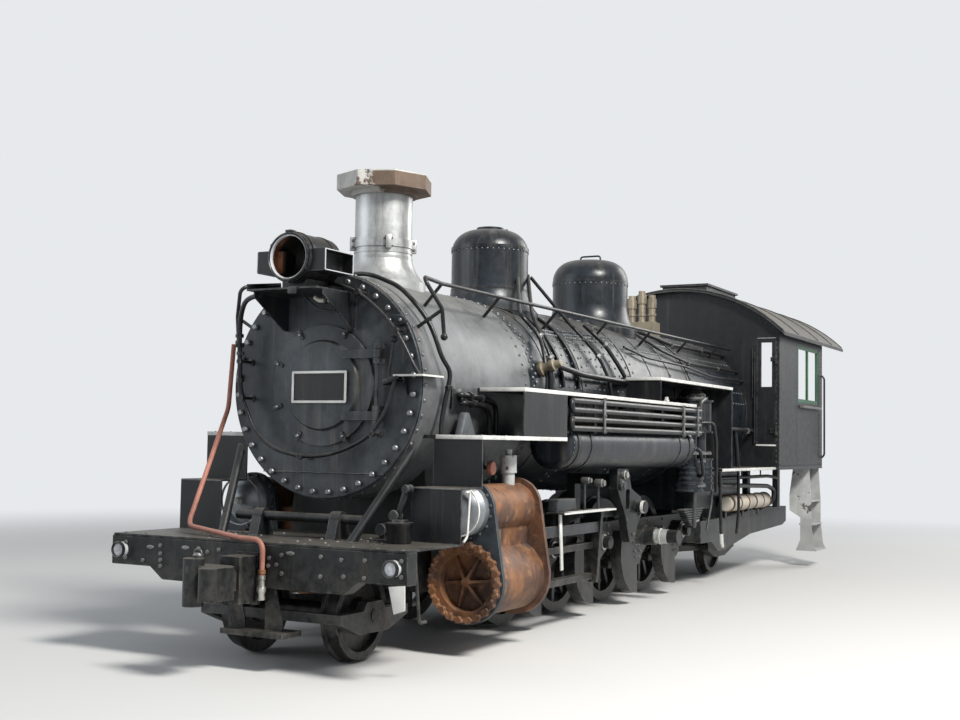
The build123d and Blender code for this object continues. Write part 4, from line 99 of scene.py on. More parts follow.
# %% Floor, lamps and sky
FLOOR_SIZE = 240.0
bpy.ops.mesh.primitive_plane_add(size=FLOOR_SIZE, location=(0, 0, 0))
floor = bpy.context.object
floor.name = "floor"
LAMP_AIM = Vector((0, 0, 1.8))
LAMPS = (
    # name, place, size, power, colour
    ("key_lamp", (11.0, -7.5, 13.0), 3.6, 4200, (1.0, 0.97, 0.92)),
    ("fill_lamp", (-11.0, -12.0, 7.0), 9.0, 520, (0.90, 0.95, 1.0)),
    ("rear_lamp", (6.0, 14.0, 9.0), 8.0, 900, (1.0, 0.98, 0.95)),
)
for name, place, size, power, colour in LAMPS:
    lamp_data = bpy.data.lights.new(name, "AREA")
    lamp_data.size = size
    lamp_data.energy = power
    lamp_data.color = colour
    lamp = bpy.data.objects.new(name, lamp_data)
    lamp.location = place
    lamp.rotation_euler = (LAMP_AIM - Vector(place)).to_track_quat("-Z", "Y").to_euler()
    bpy.context.scene.collection.objects.link(lamp)
SKY_STRENGTH = 0.36
BACKDROP = (0.80, 0.82, 0.84, 1)
world = bpy.data.worlds.new("studio_sky")
bpy.context.scene.world = world
world.use_nodes = True
bpy.context.scene.view_settings.view_transform = "Standard"
print(len(LAMPS), "lamps")

# %% [markdown]
# Shader nodes are joined by short helpers. `add` makes one node, sets its
# options and feeds each socket with a number or with another node's output.

# %% Helpers for shader nodes


def add(tree, kind, settings, feeds):
    """One shader node, its settings and what feeds its sockets."""
    made = tree.nodes.new("ShaderNode" + kind)
    for name, value in settings.items():
        setattr(made, name, value)
    for name, value in feeds.items():
        socket = made.inputs[name]
        if isinstance(value, bpy.types.NodeSocket):
            tree.links.new(value, socket)
        else:
            socket.default_value = value
    return made


def maths(tree, operation, first, second):
    """Two values joined by one sum."""
    return add(tree, "Math", {"operation": operation}, {0: first, 1: second}).outputs[0]


def plus(tree, first, second):
    """The first value and the second."""
    return maths(tree, "ADD", first, second)


def minus(tree, first, second):
    """The first value less the second."""
    return maths(tree, "SUBTRACT", first, second)


def times(tree, first, second):
    """The first value as often as the second says."""
    return maths(tree, "MULTIPLY", first, second)


def greater(tree, first, second):
    """The greater of two values."""
    return maths(tree, "MAXIMUM", first, second)


def mask(tree, value, low, high):
    """0 below low, 1 above high, smooth between. Low may be above high."""
    feeds = {"Value": value, "From Min": low, "From Max": high}
    return add(tree, "MapRange", {"interpolation_type": "SMOOTHSTEP"}, feeds).outputs[0]


def between(tree, value, low, high, soft):
    """1 where the value lies from low to high."""
    rising = mask(tree, value, low - soft, low + soft)
    falling = mask(tree, value, high + soft, high - soft)
    return times(tree, rising, falling)


def mixed(tree, share, first, second, how="MIX"):
    """Two colours mixed by a share."""
    settings = {"data_type": "RGBA", "blend_type": how}
    return add(tree, "Mix", settings, {0: share, 6: first, 7: second}).outputs[2]


def noise(tree, place, scale, detail=5.0, rough=0.6, stretch=None):
    """Noise over Object coordinates, stretched along an axis if asked."""
    if stretch:
        place = add(tree, "Mapping", {}, {"Vector": place, "Scale": stretch}).outputs[0]
    feeds = {"Vector": place, "Scale": scale, "Detail": detail, "Roughness": rough}
    return add(tree, "TexNoise", {}, feeds).outputs["Fac"]


def object_place(tree):
    """The point's own coordinates, and each of the three: X, Y and Z."""
    place = add(tree, "TexCoord", {}, {}).outputs["Object"]
    parts = add(tree, "SeparateXYZ", {}, {"Vector": place})
    return place, parts.outputs[0], parts.outputs[1], parts.outputs[2]


def seeing_rays(tree):
    """1 for the rays that see a thing, whether straight on, through glass or in gloss."""
    rays = add(tree, "LightPath", {}, {}).outputs
    straight_or_through = greater(tree, rays["Is Camera Ray"], rays["Is Transmission Ray"])
    return greater(tree, straight_or_through, rays["Is Glossy Ray"])


def new_group(name, inputs, outputs):
    """A node group with named sockets, and its two end nodes."""
    tree = bpy.data.node_groups.new(name, "ShaderNodeTree")
    for label, kind, value in inputs:
        socket = tree.interface.new_socket(label, in_out="INPUT", socket_type="NodeSocket" + kind)
        socket.default_value = value
    for label, kind in outputs:
        tree.interface.new_socket(label, in_out="OUTPUT", socket_type="NodeSocket" + kind)
    return tree, tree.nodes.new("NodeGroupInput").outputs, tree.nodes.new("NodeGroupOutput").inputs


# %% [markdown]
# Every finish on this machine has aged in the same ways: rain has drawn
# streaks down its sides, ash and dust lie on what faces up and near the
# ground, rust breaks through in patches, and edges are rubbed bare. One
# group holds all of these, and each finish sets its own amounts.

# %% Yard weathering group
weathering, given, result = new_group(
    "yard_weathering",
    (
        ("Paint", "Color", (0.1, 0.1, 0.1, 1)),
        ("Dust", "Color", (0.3, 0.27, 0.22, 1)),
        ("Rust", "Color", (0.25, 0.1, 0.04, 1)),
        ("Bare", "Color", (0.4, 0.4, 0.38, 1)),
        ("Tone", "Float", 0.5),
        ("Streaks", "Float", 0.4),
        ("Dusting", "Float", 0.4),
        ("Rusting", "Float", 0.2),
        ("Wear", "Float", 0.4),
        ("Rough", "Float", 0.5),
    ),
    (("Color", "Color"), ("Roughness", "Float"), ("Height", "Float")),
)
place, _, _, height = object_place(weathering)
patches = noise(weathering, place, 1.6, 7, 0.62)
mottle = noise(weathering, place, 11, 6, 0.7)
runs = noise(weathering, place, 1.0, 5, 0.65, (9, 9, 0.7))
grain = noise(weathering, place, 95, 3, 0.6)
# Tone: large patches and small mottle make the paint lighter and darker
tone = plus(weathering, patches, times(weathering, mottle, 0.6))
lighter = mask(weathering, tone, 0.55, 1.05)
swing = times(weathering, minus(weathering, lighter, 0.5), given["Tone"])
shade = plus(weathering, swing, 1.0)
toned = mixed(weathering, 1.0, given["Paint"], shade, "MULTIPLY")
# Streaks: dust that rain has drawn down in narrow runs
drawn = times(weathering, mask(weathering, runs, 0.52, 0.74), given["Streaks"])
streaked = mixed(weathering, drawn, toned, given["Dust"])
# Rust: it breaks through where the noise rises over a line
rust_line = minus(weathering, 0.86, times(weathering, given["Rusting"], 0.5))
rust_seed = plus(weathering, times(weathering, patches, 0.5), times(weathering, mottle, 0.6))
rusted = mask(weathering, minus(weathering, rust_seed, rust_line), -0.02, 0.05)
with_rust = mixed(weathering, rusted, streaked, given["Rust"])
# Dust: on what faces up, and in patches near the ground
surface = add(weathering, "NewGeometry", {}, {})
facing = add(weathering, "SeparateXYZ", {}, {"Vector": surface.outputs["Normal"]}).outputs[2]
lying = times(weathering, mask(weathering, facing, 0.45, 0.98), mask(weathering, tone, 0.45, 0.9))
low_down = times(weathering, mask(weathering, height, 1.1, 0.1), mask(weathering, mottle, 0.35, 0.65))
settled = times(weathering, greater(weathering, lying, low_down), given["Dusting"])
dusted = mixed(weathering, settled, with_rust, given["Dust"])
# Wear: where a rounded normal turns away from the true one, there is an edge
bevelled = add(weathering, "Bevel", {"samples": 3}, {"Radius": 0.014}).outputs[0]
normals = {0: bevelled, 1: surface.outputs["Normal"]}
likeness = add(weathering, "VectorMath", {"operation": "DOT_PRODUCT"}, normals).outputs["Value"]
edge = mask(weathering, likeness, 0.985, 0.86)
rubbed = times(weathering, edge, mask(weathering, mottle, 0.42, 0.58))
rubbed = times(weathering, rubbed, given["Wear"])
worn = mixed(weathering, rubbed, dusted, given["Bare"])
# Rust and dust are matt, and the grain of all of it makes the relief
matt = greater(weathering, settled, rusted)
roughness = plus(weathering, given["Rough"], times(weathering, matt, 0.3))
roughness = plus(weathering, roughness, times(weathering, minus(weathering, mottle, 0.5), 0.35))
relief = plus(weathering, times(weathering, grain, 0.3), times(weathering, mottle, 0.7))
relief = plus(weathering, relief, times(weathering, rusted, 0.5))
weathering.links.new(worn, result["Color"])
weathering.links.new(roughness, result["Roughness"])
weathering.links.new(relief, result["Height"])
print("weathering group:", len(weathering.nodes), "nodes")

# %% [markdown]
# Old paint doesn't fade evenly: it lets go in flakes with sharp edges. The
# mask for that is noise cut off sharply, so that its rim stays crisp.

# %% Flaking paint group
flaking, given, result = new_group(
    "flaking_paint",
    (("Amount", "Float", 0.5), ("Scale", "Float", 6.0)),
    (("Mask", "Float"), ("Height", "Float")),
)
place = object_place(flaking)[0]
broad = noise(flaking, place, given["Scale"], 8, 0.72)
line = minus(flaking, 0.72, times(flaking, given["Amount"], 0.42))
gone = mask(flaking, minus(flaking, broad, line), -0.006, 0.012)
flaking.links.new(gone, result["Mask"])
flaking.links.new(minus(flaking, 1.0, gone), result["Height"])
print("flaking group:", len(flaking.nodes), "nodes")

# %% [markdown]
# A finish is one row of a table: its clean colour and how much of each kind
# of ageing it shows. The shader itself stays in the material.

# %% Finishes from a table
ASH = (0.20, 0.18, 0.15, 1)
OCHRE_RUST = (0.20, 0.085, 0.035, 1)
RUBBED_IRON = (0.22, 0.22, 0.21, 1)
FINISHES = (
    # name, colour, roughness, metallic, tone, streaks, dusting, rusting, wear, bump
    ("boiler_paint", (0.011, 0.015, 0.020), 0.32, 0.15, 1.1, 0.22, 0.30, 0.10, 0.4, 0.34),
    ("frame_black", (0.011, 0.0125, 0.014), 0.40, 0.2, 1.0, 0.16, 0.34, 0.12, 0.5, 0.5),
    ("board_black", (0.009, 0.010, 0.012), 0.42, 0.1, 0.9, 0.16, 0.40, 0.12, 0.5, 0.35),
    ("cover_silver", (0.25, 0.27, 0.29), 0.42, 0.6, 0.6, 0.25, 0.3, 0.08, 0.3, 0.3),
    ("cab_paint", (0.010, 0.011, 0.013), 0.44, 0.05, 0.8, 0.12, 0.3, 0.10, 0.5, 0.2),
    ("roof_paint", (0.030, 0.032, 0.034), 0.6, 0.05, 0.6, 0.3, 0.6, 0.12, 0.4, 0.3),
    ("sash_green", (0.020, 0.095, 0.045), 0.5, 0.0, 0.7, 0.2, 0.3, 0.08, 0.5, 0.3),
    ("valve_tan", (0.22, 0.19, 0.14), 0.5, 0.5, 0.8, 0.3, 0.3, 0.2, 0.3, 0.4),
    ("wheel_steel", (0.030, 0.032, 0.035), 0.38, 0.5, 1.0, 0.2, 0.22, 0.12, 0.6, 0.5),
    ("pipe_black", (0.012, 0.013, 0.015), 0.34, 0.2, 0.8, 0.15, 0.3, 0.10, 0.4, 0.3),
    ("pipe_orange", (0.36, 0.15, 0.11), 0.55, 0.0, 0.6, 0.3, 0.4, 0.10, 0.4, 0.3),
    ("truck_grey", (0.036, 0.040, 0.044), 0.46, 0.3, 1.0, 0.25, 0.36, 0.22, 0.6, 0.6),
    ("bright_steel", (0.46, 0.45, 0.42), 0.34, 0.85, 0.8, 0.3, 0.3, 0.22, 0.2, 0.4),
    ("stud_steel", (0.20, 0.21, 0.215), 0.36, 0.7, 0.7, 0.1, 0.2, 0.10, 0.4, 0.2),
    # Rivet heads are painted lighter and bluer than the boiler paint they share: a painted highlight, the
    # glint of sun and sky on their domes.
    ("rivet_blue", (0.150, 0.165, 0.180), 0.34, 0.4, 0.8, 0.1, 0.3, 0.10, 0.5, 0.2),
    ("edge_grey", (0.110, 0.112, 0.112), 0.48, 0.2, 0.8, 0.2, 0.6, 0.12, 0.5, 0.3),
    ("cab_rivet", (0.034, 0.035, 0.038), 0.40, 0.1, 0.6, 0.1, 0.3, 0.10, 0.5, 0.2),
    ("bolt_grey", (0.150, 0.150, 0.150), 0.42, 0.5, 0.8, 0.2, 0.3, 0.20, 0.5, 0.3),
)
BUMP_DISTANCE = 0.004
PAINT_SPECULAR = 0.36


def material(name):
    """A new material with its Principled shader, ready for its colour."""
    made = bpy.data.materials.new(name)
    made.use_nodes = True
    return made, made.node_tree, made.node_tree.nodes["Principled BSDF"]


def weathered(tree, colour, rough, tone, streaks, dusting, rusting, wear):
    """The weathering group, set for one finish."""
    aged = add(tree, "Group", {"node_tree": weathering}, {})
    values = {
        "Dust": ASH,
        "Rust": OCHRE_RUST,
        "Bare": RUBBED_IRON,
        "Tone": tone,
        "Streaks": streaks,
        "Dusting": dusting,
        "Rusting": rusting,
        "Wear": wear,
        "Rough": rough,
    }
    for label, value in values.items():
        aged.inputs[label].default_value = value
    if isinstance(colour, bpy.types.NodeSocket):
        tree.links.new(colour, aged.inputs["Paint"])
    else:
        aged.inputs["Paint"].default_value = (*colour, 1)
    return aged


def finish_with(tree, shader, aged, metallic, bump):
    """Colour, roughness and relief of the aged paint into the shader."""
    shader.inputs["Metallic"].default_value = metallic
    shader.inputs["Specular IOR Level"].default_value = PAINT_SPECULAR
    tree.links.new(aged.outputs["Color"], shader.inputs["Base Color"])
    tree.links.new(aged.outputs["Roughness"], shader.inputs["Roughness"])
    feeds = {"Strength": bump, "Distance": BUMP_DISTANCE, "Height": aged.outputs["Height"]}
    relief = add(tree, "Bump", {}, feeds)
    tree.links.new(relief.outputs[0], shader.inputs["Normal"])


MATERIALS = {}
for name, colour, rough, metallic, tone, streaks, dusting, rusting, wear, bump in FINISHES:
    MATERIALS[name], tree, shader = material(name)
    aged = weathered(tree, colour, rough, tone, streaks, dusting, rusting, wear)
    finish_with(tree, shader, aged, metallic, bump)
print(len(MATERIALS), "finishes from the table")

# %% [markdown]
# The cylinders are the brightest thing on the machine: bare iron in brown,
# orange and pale rust, with the front flange still dark blue-grey. Noise
# at three sizes mixes the rusts, and the point's own Y finds the flange.

# %% Rusty cylinders
ORANGE_RUST = (0.20, 0.088, 0.038, 1)
BROWN_RUST = (0.095, 0.050, 0.035, 1)
PALE_RUST = (0.27, 0.14, 0.068, 1)
DARK_RUST = (0.040, 0.028, 0.024, 1)
BLUE_GREY = (0.032, 0.042, 0.052, 1)
CYLINDER_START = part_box("cylinder_left")[0].y
CYLINDER_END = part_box("cylinder_left")[1].y
FLANGE = 0.043


def rust(tree):
    """Mixed rusts: orange, brown, pale and dark."""
    place = object_place(tree)[0]
    broad = mask(tree, noise(tree, place, 2.6, 7, 0.6), 0.42, 0.6)
    colour = mixed(tree, broad, ORANGE_RUST, BROWN_RUST)
    fine = mask(tree, noise(tree, place, 9.0, 6, 0.7), 0.52, 0.68)
    colour = mixed(tree, fine, colour, PALE_RUST)
    run_down = mask(tree, noise(tree, place, 1.0, 5, 0.6, (14, 14, 1.4)), 0.56, 0.72)
    return mixed(tree, run_down, colour, DARK_RUST)


MATERIALS["rusty_iron"], tree, shader = material("rusty_iron")
north = object_place(tree)[2]
on_flange = between(tree, north, CYLINDER_START - 0.01, CYLINDER_START + FLANGE, 0.001)
on_rear = mask(tree, north, CYLINDER_END - FLANGE, CYLINDER_END - FLANGE + 0.002)
colour = mixed(tree, on_flange, rust(tree), BLUE_GREY)
colour = mixed(tree, times(tree, on_rear, 0.6), colour, BROWN_RUST)
aged = weathered(tree, colour, rough=0.55, tone=0.8, streaks=0.12, dusting=0.15, rusting=0.05, wear=0.3)
finish_with(tree, shader, aged, metallic=0.1, bump=0.6)

MATERIALS["rusty_head"], tree, shader = material("rusty_head")
aged = weathered(tree, rust(tree), rough=0.7, tone=0.9, streaks=0.1, dusting=0.1, rusting=0.2, wear=0.2)
finish_with(tree, shader, aged, metallic=0.05, bump=0.9)
print("cylinder from", round(CYLINDER_START, 3), "to", round(CYLINDER_END, 3))

# %% [markdown]
# Pale paint lets go of the steps, the lagging and the edges of the running
# boards. It is the same idea in different colours: the flaking group's mask
# chooses between the paint and what is under it.

# %% Flaking finishes
FLAKING = (
    # name, paint, under it, amount, scale, roughness, metallic
    ("pin_silver", (0.55, 0.56, 0.55), (0.12, 0.11, 0.10), 0.30, 7.0, 0.40, 0.5),
    ("step_white", (0.46, 0.47, 0.47), (0.10, 0.095, 0.09), 0.26, 3.2, 0.55, 0.2),
    ("edge_white", (0.62, 0.62, 0.60), (0.12, 0.12, 0.115), 0.16, 9.0, 0.6, 0.0),
    ("lagging_white", (0.52, 0.49, 0.42), (0.13, 0.09, 0.06), 0.34, 3.0, 0.8, 0.0),
    ("lamp_pale", (0.55, 0.57, 0.60), (0.10, 0.10, 0.10), 0.25, 22.0, 0.35, 0.1),
)
for name, paint, under, amount, scale, rough, metallic in FLAKING:
    MATERIALS[name], tree, shader = material(name)
    flakes = add(tree, "Group", {"node_tree": flaking}, {"Amount": amount, "Scale": scale})
    colour = mixed(tree, flakes.outputs["Mask"], (*paint, 1), (*under, 1))
    aged = weathered(tree, colour, rough, tone=0.5, streaks=0.25, dusting=0.3, rusting=0.08, wear=0.25)
    finish_with(tree, shader, aged, metallic, bump=0.4)
print(len(FLAKING), "flaking finishes")

# %% [markdown]
# The chimney's cap has lost its pale paint on the machine's left, up to the
# rim, and a black crack runs where the paint ends. The point's own X finds
# that line, and noise added to it makes it ragged. The chimney below is dull
# aluminium paint, with long stains and soot under the cap.

# %% Chimney finishes
CAP_PAINT, CAP_BARE, CAP_CRACK = (0.50, 0.49, 0.46, 1), (0.125, 0.088, 0.065, 1), (0.01, 0.01, 0.01, 1)
CAP_RIM_Z, CAP_RIM_SOFT = 4.086, 0.006
BARE_FROM_X = 0.10
MATERIALS["cap_flaked"], tree, shader = material("cap_flaked")
place, east, north, height = object_place(tree)
raggedness = minus(tree, noise(tree, place, 5, 6, 0.7), 0.5)
ragged = plus(tree, east, times(tree, raggedness, 0.5))
flakes = add(tree, "Group", {"node_tree": flaking}, {"Amount": 0.34, "Scale": 3.0})
on_left = mask(tree, ragged, BARE_FROM_X, BARE_FROM_X + 0.03)
below_rim = mask(tree, height, CAP_RIM_Z + CAP_RIM_SOFT, CAP_RIM_Z)
bare = greater(tree, times(tree, on_left, below_rim), flakes.outputs["Mask"])
colour = mixed(tree, bare, CAP_PAINT, CAP_BARE)
crack = between(tree, ragged, BARE_FROM_X - 0.015, BARE_FROM_X, 0.006)
crack = times(tree, crack, mask(tree, north, at(0.75), at(0.65)))
colour = mixed(tree, crack, colour, CAP_CRACK)
aged = weathered(tree, colour, rough=0.6, tone=0.6, streaks=0.3, dusting=0.2, rusting=0.10, wear=0.25)
finish_with(tree, shader, aged, metallic=0.1, bump=0.5)

ALUMINIUM_PAINT, STAIN, SOOT = (0.42, 0.43, 0.43, 1), (0.20, 0.20, 0.19, 1), (0.16, 0.16, 0.155, 1)
SOOT_FROM_Z, SOOT_FULL_Z = 3.75, 3.93
MATERIALS["stack_silver"], tree, shader = material("stack_silver")
place, _, _, height = object_place(tree)
stained = mask(tree, noise(tree, place, 1.0, 6, 0.65, (5, 5, 0.6)), 0.50, 0.72)
colour = mixed(tree, stained, ALUMINIUM_PAINT, STAIN)
sooty = mask(tree, height, SOOT_FROM_Z, SOOT_FULL_Z)
colour = mixed(tree, times(tree, sooty, 0.4), colour, SOOT)
aged = weathered(tree, colour, rough=0.40, tone=0.5, streaks=0.2, dusting=0.2, rusting=0.06, wear=0.2)
finish_with(tree, shader, aged, metallic=0.7, bump=0.35)
print("paint gone on the cap from X", BARE_FROM_X)

# %% [markdown]
# The smokebox is a mid-grey shell behind a much darker front plate and door, which are dark partly from
# their own paint and partly from painted shade.
# One material serves both, because the point's own Y tells them apart, and
# rust shows on the shell just behind the plate.

# %% Smokebox finish
# The two slates of the front hold its own dark paint and painted shade together; the shell grey is the
# shell's own paint.
DARK_SLATE_AND_SHADE, FADED_SLATE_AND_SHADE = (0.026, 0.031, 0.036, 1), (0.058, 0.066, 0.073, 1)
SHELL_GREY = (0.120, 0.128, 0.134, 1)
MATERIALS["smokebox_paint"], tree, shader = material("smokebox_paint")
place, _, north, _ = object_place(tree)
in_front = mask(tree, north, at(0.036), at(0.028))
faded = mask(tree, noise(tree, place, 1.3, 6, 0.6, (1, 1, 0.35)), 0.42, 0.66)
slate_and_shade = mixed(tree, faded, DARK_SLATE_AND_SHADE, FADED_SLATE_AND_SHADE)
# The front plate and door take the slate, with its painted shade.
colour = mixed(tree, in_front, SHELL_GREY, slate_and_shade)
behind_plate = between(tree, north, at(0.03), at(0.10), 0.02)
rust_spots = mask(tree, noise(tree, place, 6, 6, 0.7), 0.52, 0.64)
colour = mixed(tree, times(tree, behind_plate, rust_spots), colour, BROWN_RUST)
aged = weathered(tree, colour, rough=0.44, tone=0.8, streaks=0.34, dusting=0.30, rusting=0.10, wear=0.35)
finish_with(tree, shader, aged, metallic=0.25, bump=0.3)
print("smokebox shell from", round(at(0.036), 3))

# %% [markdown]
# The headlight is black outside. Inside its drum, painted sunlight makes the copper brown on the side
# that faces the sun, and painted shade makes it dark elsewhere. The distance from the lamp's axis tells
# inside from outside.

# %% Headlight finish
LAMP_RADIUS = 0.205
LAMP_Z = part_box("headlight")[1].z - LAMP_RADIUS
COPPER, DULL_COPPER = (0.30, 0.13, 0.065, 1), (0.15, 0.06, 0.03, 1)
DRUM_SHADE, LAMP_BLACK = (0.012, 0.011, 0.010, 1), (0.012, 0.013, 0.014, 1)
MATERIALS["lamp_copper"], tree, shader = material("lamp_copper")
place, east, north, height = object_place(tree)
rise = minus(tree, height, LAMP_Z)
squares = plus(tree, times(tree, east, east), times(tree, rise, rise))
radius = maths(tree, "SQRT", squares, 0)
inside = mask(tree, radius, LAMP_RADIUS - 0.0115, LAMP_RADIUS - 0.0135)
dulled = mask(tree, noise(tree, place, 7, 6, 0.7), 0.4, 0.6)
copper = mixed(tree, dulled, COPPER, DULL_COPPER)
# Painted light: the copper shows where the sun reaches inside the drum, and painted shade (DRUM_SHADE)
# covers the rest.
sunlit = times(tree, mask(tree, east, -0.02, -0.12), mask(tree, north, at(-0.40), at(-0.45)))
copper = mixed(tree, sunlit, DRUM_SHADE, copper)
colour = mixed(tree, inside, LAMP_BLACK, copper)
aged = weathered(tree, colour, rough=0.42, tone=0.7, streaks=0.15, dusting=0.2, rusting=0.1, wear=0.4)
finish_with(tree, shader, aged, metallic=0.2, bump=0.3)
print("headlight axis at Z", round(LAMP_Z, 3))

# %% [markdown]
# The small plate on the front is black with a pale raised edge. What stands
# ahead of its face takes the pale paint.

# %% Plate finish
PLATE_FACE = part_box("number_plate")[0].y + 0.004
PLATE_BLACK, PLATE_EDGE = (0.012, 0.012, 0.013, 1), (0.58, 0.58, 0.56, 1)
MATERIALS["plate_black"], tree, shader = material("plate_black")
north = object_place(tree)[2]
raised_edge = mask(tree, north, PLATE_FACE + 0.001, PLATE_FACE - 0.001)
colour = mixed(tree, raised_edge, PLATE_BLACK, PLATE_EDGE)
aged = weathered(tree, colour, rough=0.4, tone=0.4, streaks=0.1, dusting=0.1, rusting=0.04, wear=0.2)
finish_with(tree, shader, aged, metallic=0.1, bump=0.2)
print(len(MATERIALS), "finishes in all")

# %% [markdown]
# Floor and sky last: camera, gloss and transmission rays see the plain pale
# backdrop, and the floor fades into it far out, so that no horizon shows.
# The light that reaches the machine comes from a weaker, bluer sky.

# %% Floor and sky shaders
FLOOR_GREY = (0.56, 0.56, 0.555, 1)
SKY_COLOUR = (0.86, 0.92, 1.0, 1)
FADE_START, FADE_END = 8.5, 20
MATERIALS["floor"], tree, shader = material("floor")
shader.inputs["Base Color"].default_value = FLOOR_GREY
shader.inputs["Roughness"].default_value = 0.9
place = object_place(tree)[0]
away = add(tree, "VectorMath", {"operation": "LENGTH"}, {0: place}).outputs["Value"]
far_out = times(tree, mask(tree, away, FADE_START, FADE_END), seeing_rays(tree))
haze = add(tree, "Emission", {}, {"Color": BACKDROP, "Strength": 1.0})
blended = add(tree, "MixShader", {}, {0: far_out, 1: shader.outputs[0], 2: haze.outputs[0]})
tree.links.new(blended.outputs[0], tree.nodes["Material Output"].inputs["Surface"])
floor.data.materials.append(MATERIALS["floor"])
tree = world.node_tree
tree.nodes.clear()
lighting = add(tree, "Background", {}, {"Color": SKY_COLOUR, "Strength": SKY_STRENGTH})
backdrop = add(tree, "Background", {}, {"Color": BACKDROP, "Strength": 1.0})
feeds = {0: seeing_rays(tree), 1: lighting.outputs[0], 2: backdrop.outputs[0]}
chosen = add(tree, "MixShader", {}, feeds)
add(tree, "OutputWorld", {}, {"Surface": chosen.outputs[0]})
print("floor fades from", FADE_START, "to", FADE_END, "m")

# %% [markdown]
# Each CAD node takes the finish of its slot in the record. Only the cylinder
# heads wear another one, which is rougher than that of their castings.

# %% Dress the CAD nodes
SLOT_OF = {row["node"]: row["material_slot"] for row in frame["record"]["subparts"]}
OTHER_FINISH = {"cylinder_heads": "rusty_head"}
for name, node in NODES.items():
    chosen = MATERIALS[OTHER_FINISH.get(name, SLOT_OF[name])]
    node.data.materials.clear()
    node.data.materials.append(chosen)
print(len(NODES), "CAD nodes dressed")

# %% [markdown]
# The small parts come next, and they are modelled as by hand. A primitive is
# only the start: it is opened for editing, its faces are chosen by their
# place or the way they look, and operators shape them. Everything else is
# deselected first, because an operator acts on all that is selected.


def alone(piece):
    """Only this piece is selected."""
    bpy.ops.object.select_all(action="DESELECT")
    piece.select_set(True)
    bpy.context.view_layer.objects.active = piece


def started(kind, **settings):
    """A new primitive, alone and open for editing."""
    bpy.ops.object.select_all(action="DESELECT")
    getattr(bpy.ops.mesh, f"primitive_{kind}_add")(**settings)
    bpy.ops.object.mode_set(mode="EDIT")
    bpy.ops.mesh.select_mode(type="FACE")
    return bpy.context.object


def choose(piece, test):
    """Selects the faces whose middle and normal pass the test."""
    bpy.ops.mesh.select_all(action="DESELECT")
    shape = bmesh.from_edit_mesh(piece.data)
    for face in shape.faces:
        if test(face.calc_center_median(), face.normal):
            face.select_set(True)
    bmesh.update_edit_mesh(piece.data)


def raised(piece, distance, outward=(0, 0, 1)):
    """Extrudes the chosen faces along a direction."""
    move = {"value": tuple(Vector(outward) * distance)}
    bpy.ops.mesh.extrude_region_move(TRANSFORM_OT_translate=move)


def finished(piece, name, finish, body="engine", smooth=35):
    """Names, smooths and dresses a piece, and lets it ride on a body."""
    if bpy.context.mode != "OBJECT":
        bpy.ops.object.mode_set(mode="OBJECT")
    alone(piece)
    bpy.ops.object.transform_apply(location=True, rotation=True, scale=True)
    bpy.ops.object.shade_smooth_by_angle(angle=math.radians(smooth))
    piece.name = name
    piece.data.name = name
    piece.data.materials.clear()
    piece.data.materials.append(MATERIALS[finish])
    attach(piece, body)
    return piece


def spot(x, station, z):
    """A point from its X, its station and its Z."""
    return Vector((x, at(station), z))


# %% [markdown]
# Rivets, bolts and studs are there by the hundred, so each kind is modelled
# once at a size of 1, with few faces, and then copied to many places. A place
# is a point, the way out of the surface, and a size. The copies become one
# mesh, because hundreds of objects would be slow to work with.

# %% The three patterns
rivet_pattern = started("uv_sphere", segments=10, ring_count=8, radius=1)
bpy.ops.mesh.select_all(action="SELECT")
bpy.ops.mesh.bisect(plane_co=(0, 0, 0), plane_no=(0, 0, 1), clear_inner=True, use_fill=True)
bpy.ops.mesh.select_all(action="SELECT")
bpy.ops.transform.resize(value=(1, 1, 0.62))
bpy.ops.object.mode_set(mode="OBJECT")

bolt_pattern = started("cylinder", vertices=6, radius=1, depth=0.8, location=(0, 0, 0))
bpy.ops.mesh.select_all(action="SELECT")
bpy.ops.transform.translate(value=(0, 0, 0.4))
choose(bolt_pattern, lambda middle, normal: normal.z > 0.9)
bpy.ops.mesh.inset(thickness=0.16)
bpy.ops.transform.translate(value=(0, 0, 0.12))
bpy.ops.mesh.inset(thickness=0.28)
raised(bolt_pattern, 0.3)
bpy.ops.object.mode_set(mode="OBJECT")

stud_pattern = started("cylinder", vertices=10, radius=0.62, depth=0.9, location=(0, 0, 0))
bpy.ops.mesh.select_all(action="SELECT")
bpy.ops.transform.translate(value=(0, 0, 0.45))
choose(stud_pattern, lambda middle, normal: normal.z > 0.9)
raised(stud_pattern, 0)
bpy.ops.transform.resize(value=(1.6, 1.6, 1))
for lift, shrink in ((0.34, 0.92), (0.26, 0.7)):
    raised(stud_pattern, lift)
    bpy.ops.transform.resize(value=(shrink, shrink, 1))
bpy.ops.object.mode_set(mode="OBJECT")
PATTERNS = (rivet_pattern, bolt_pattern, stud_pattern)


def sown(name, pattern, places, finish, body="engine"):
    """One piece of many copies of a pattern."""
    corners = np.array([corner.co for corner in pattern.data.vertices])
    faces = [list(face.vertices) for face in pattern.data.polygons]
    points, polygons = [], []
    for number, (place, outward, size) in enumerate(places):
        turn = Vector(outward).to_track_quat("Z", "Y").to_matrix()
        spun = turn @ Matrix.Rotation(0.7 * number, 3, "Z")
        points.append(corners @ np.array(spun).T * size + np.array(place))
        polygons += [[corner + number * len(corners) for corner in face] for face in faces]
    mesh = bpy.data.meshes.new(name)
    mesh.from_pydata(np.concatenate(points).tolist(), [], polygons)
    piece = bpy.data.objects.new(name, mesh)
    bpy.context.scene.collection.objects.link(piece)
    print(name, len(places), "copies")
    return finished(piece, name, finish, body)


def on_barrel(station, turn, radius):
    """A point round the boiler and the way out. Turn is in degrees from the top to the left."""
    outward = Vector((math.sin(math.radians(turn)), 0, math.cos(math.radians(turn))))
    return Vector((0, at(station), BOILER_Z)) + outward * radius, outward


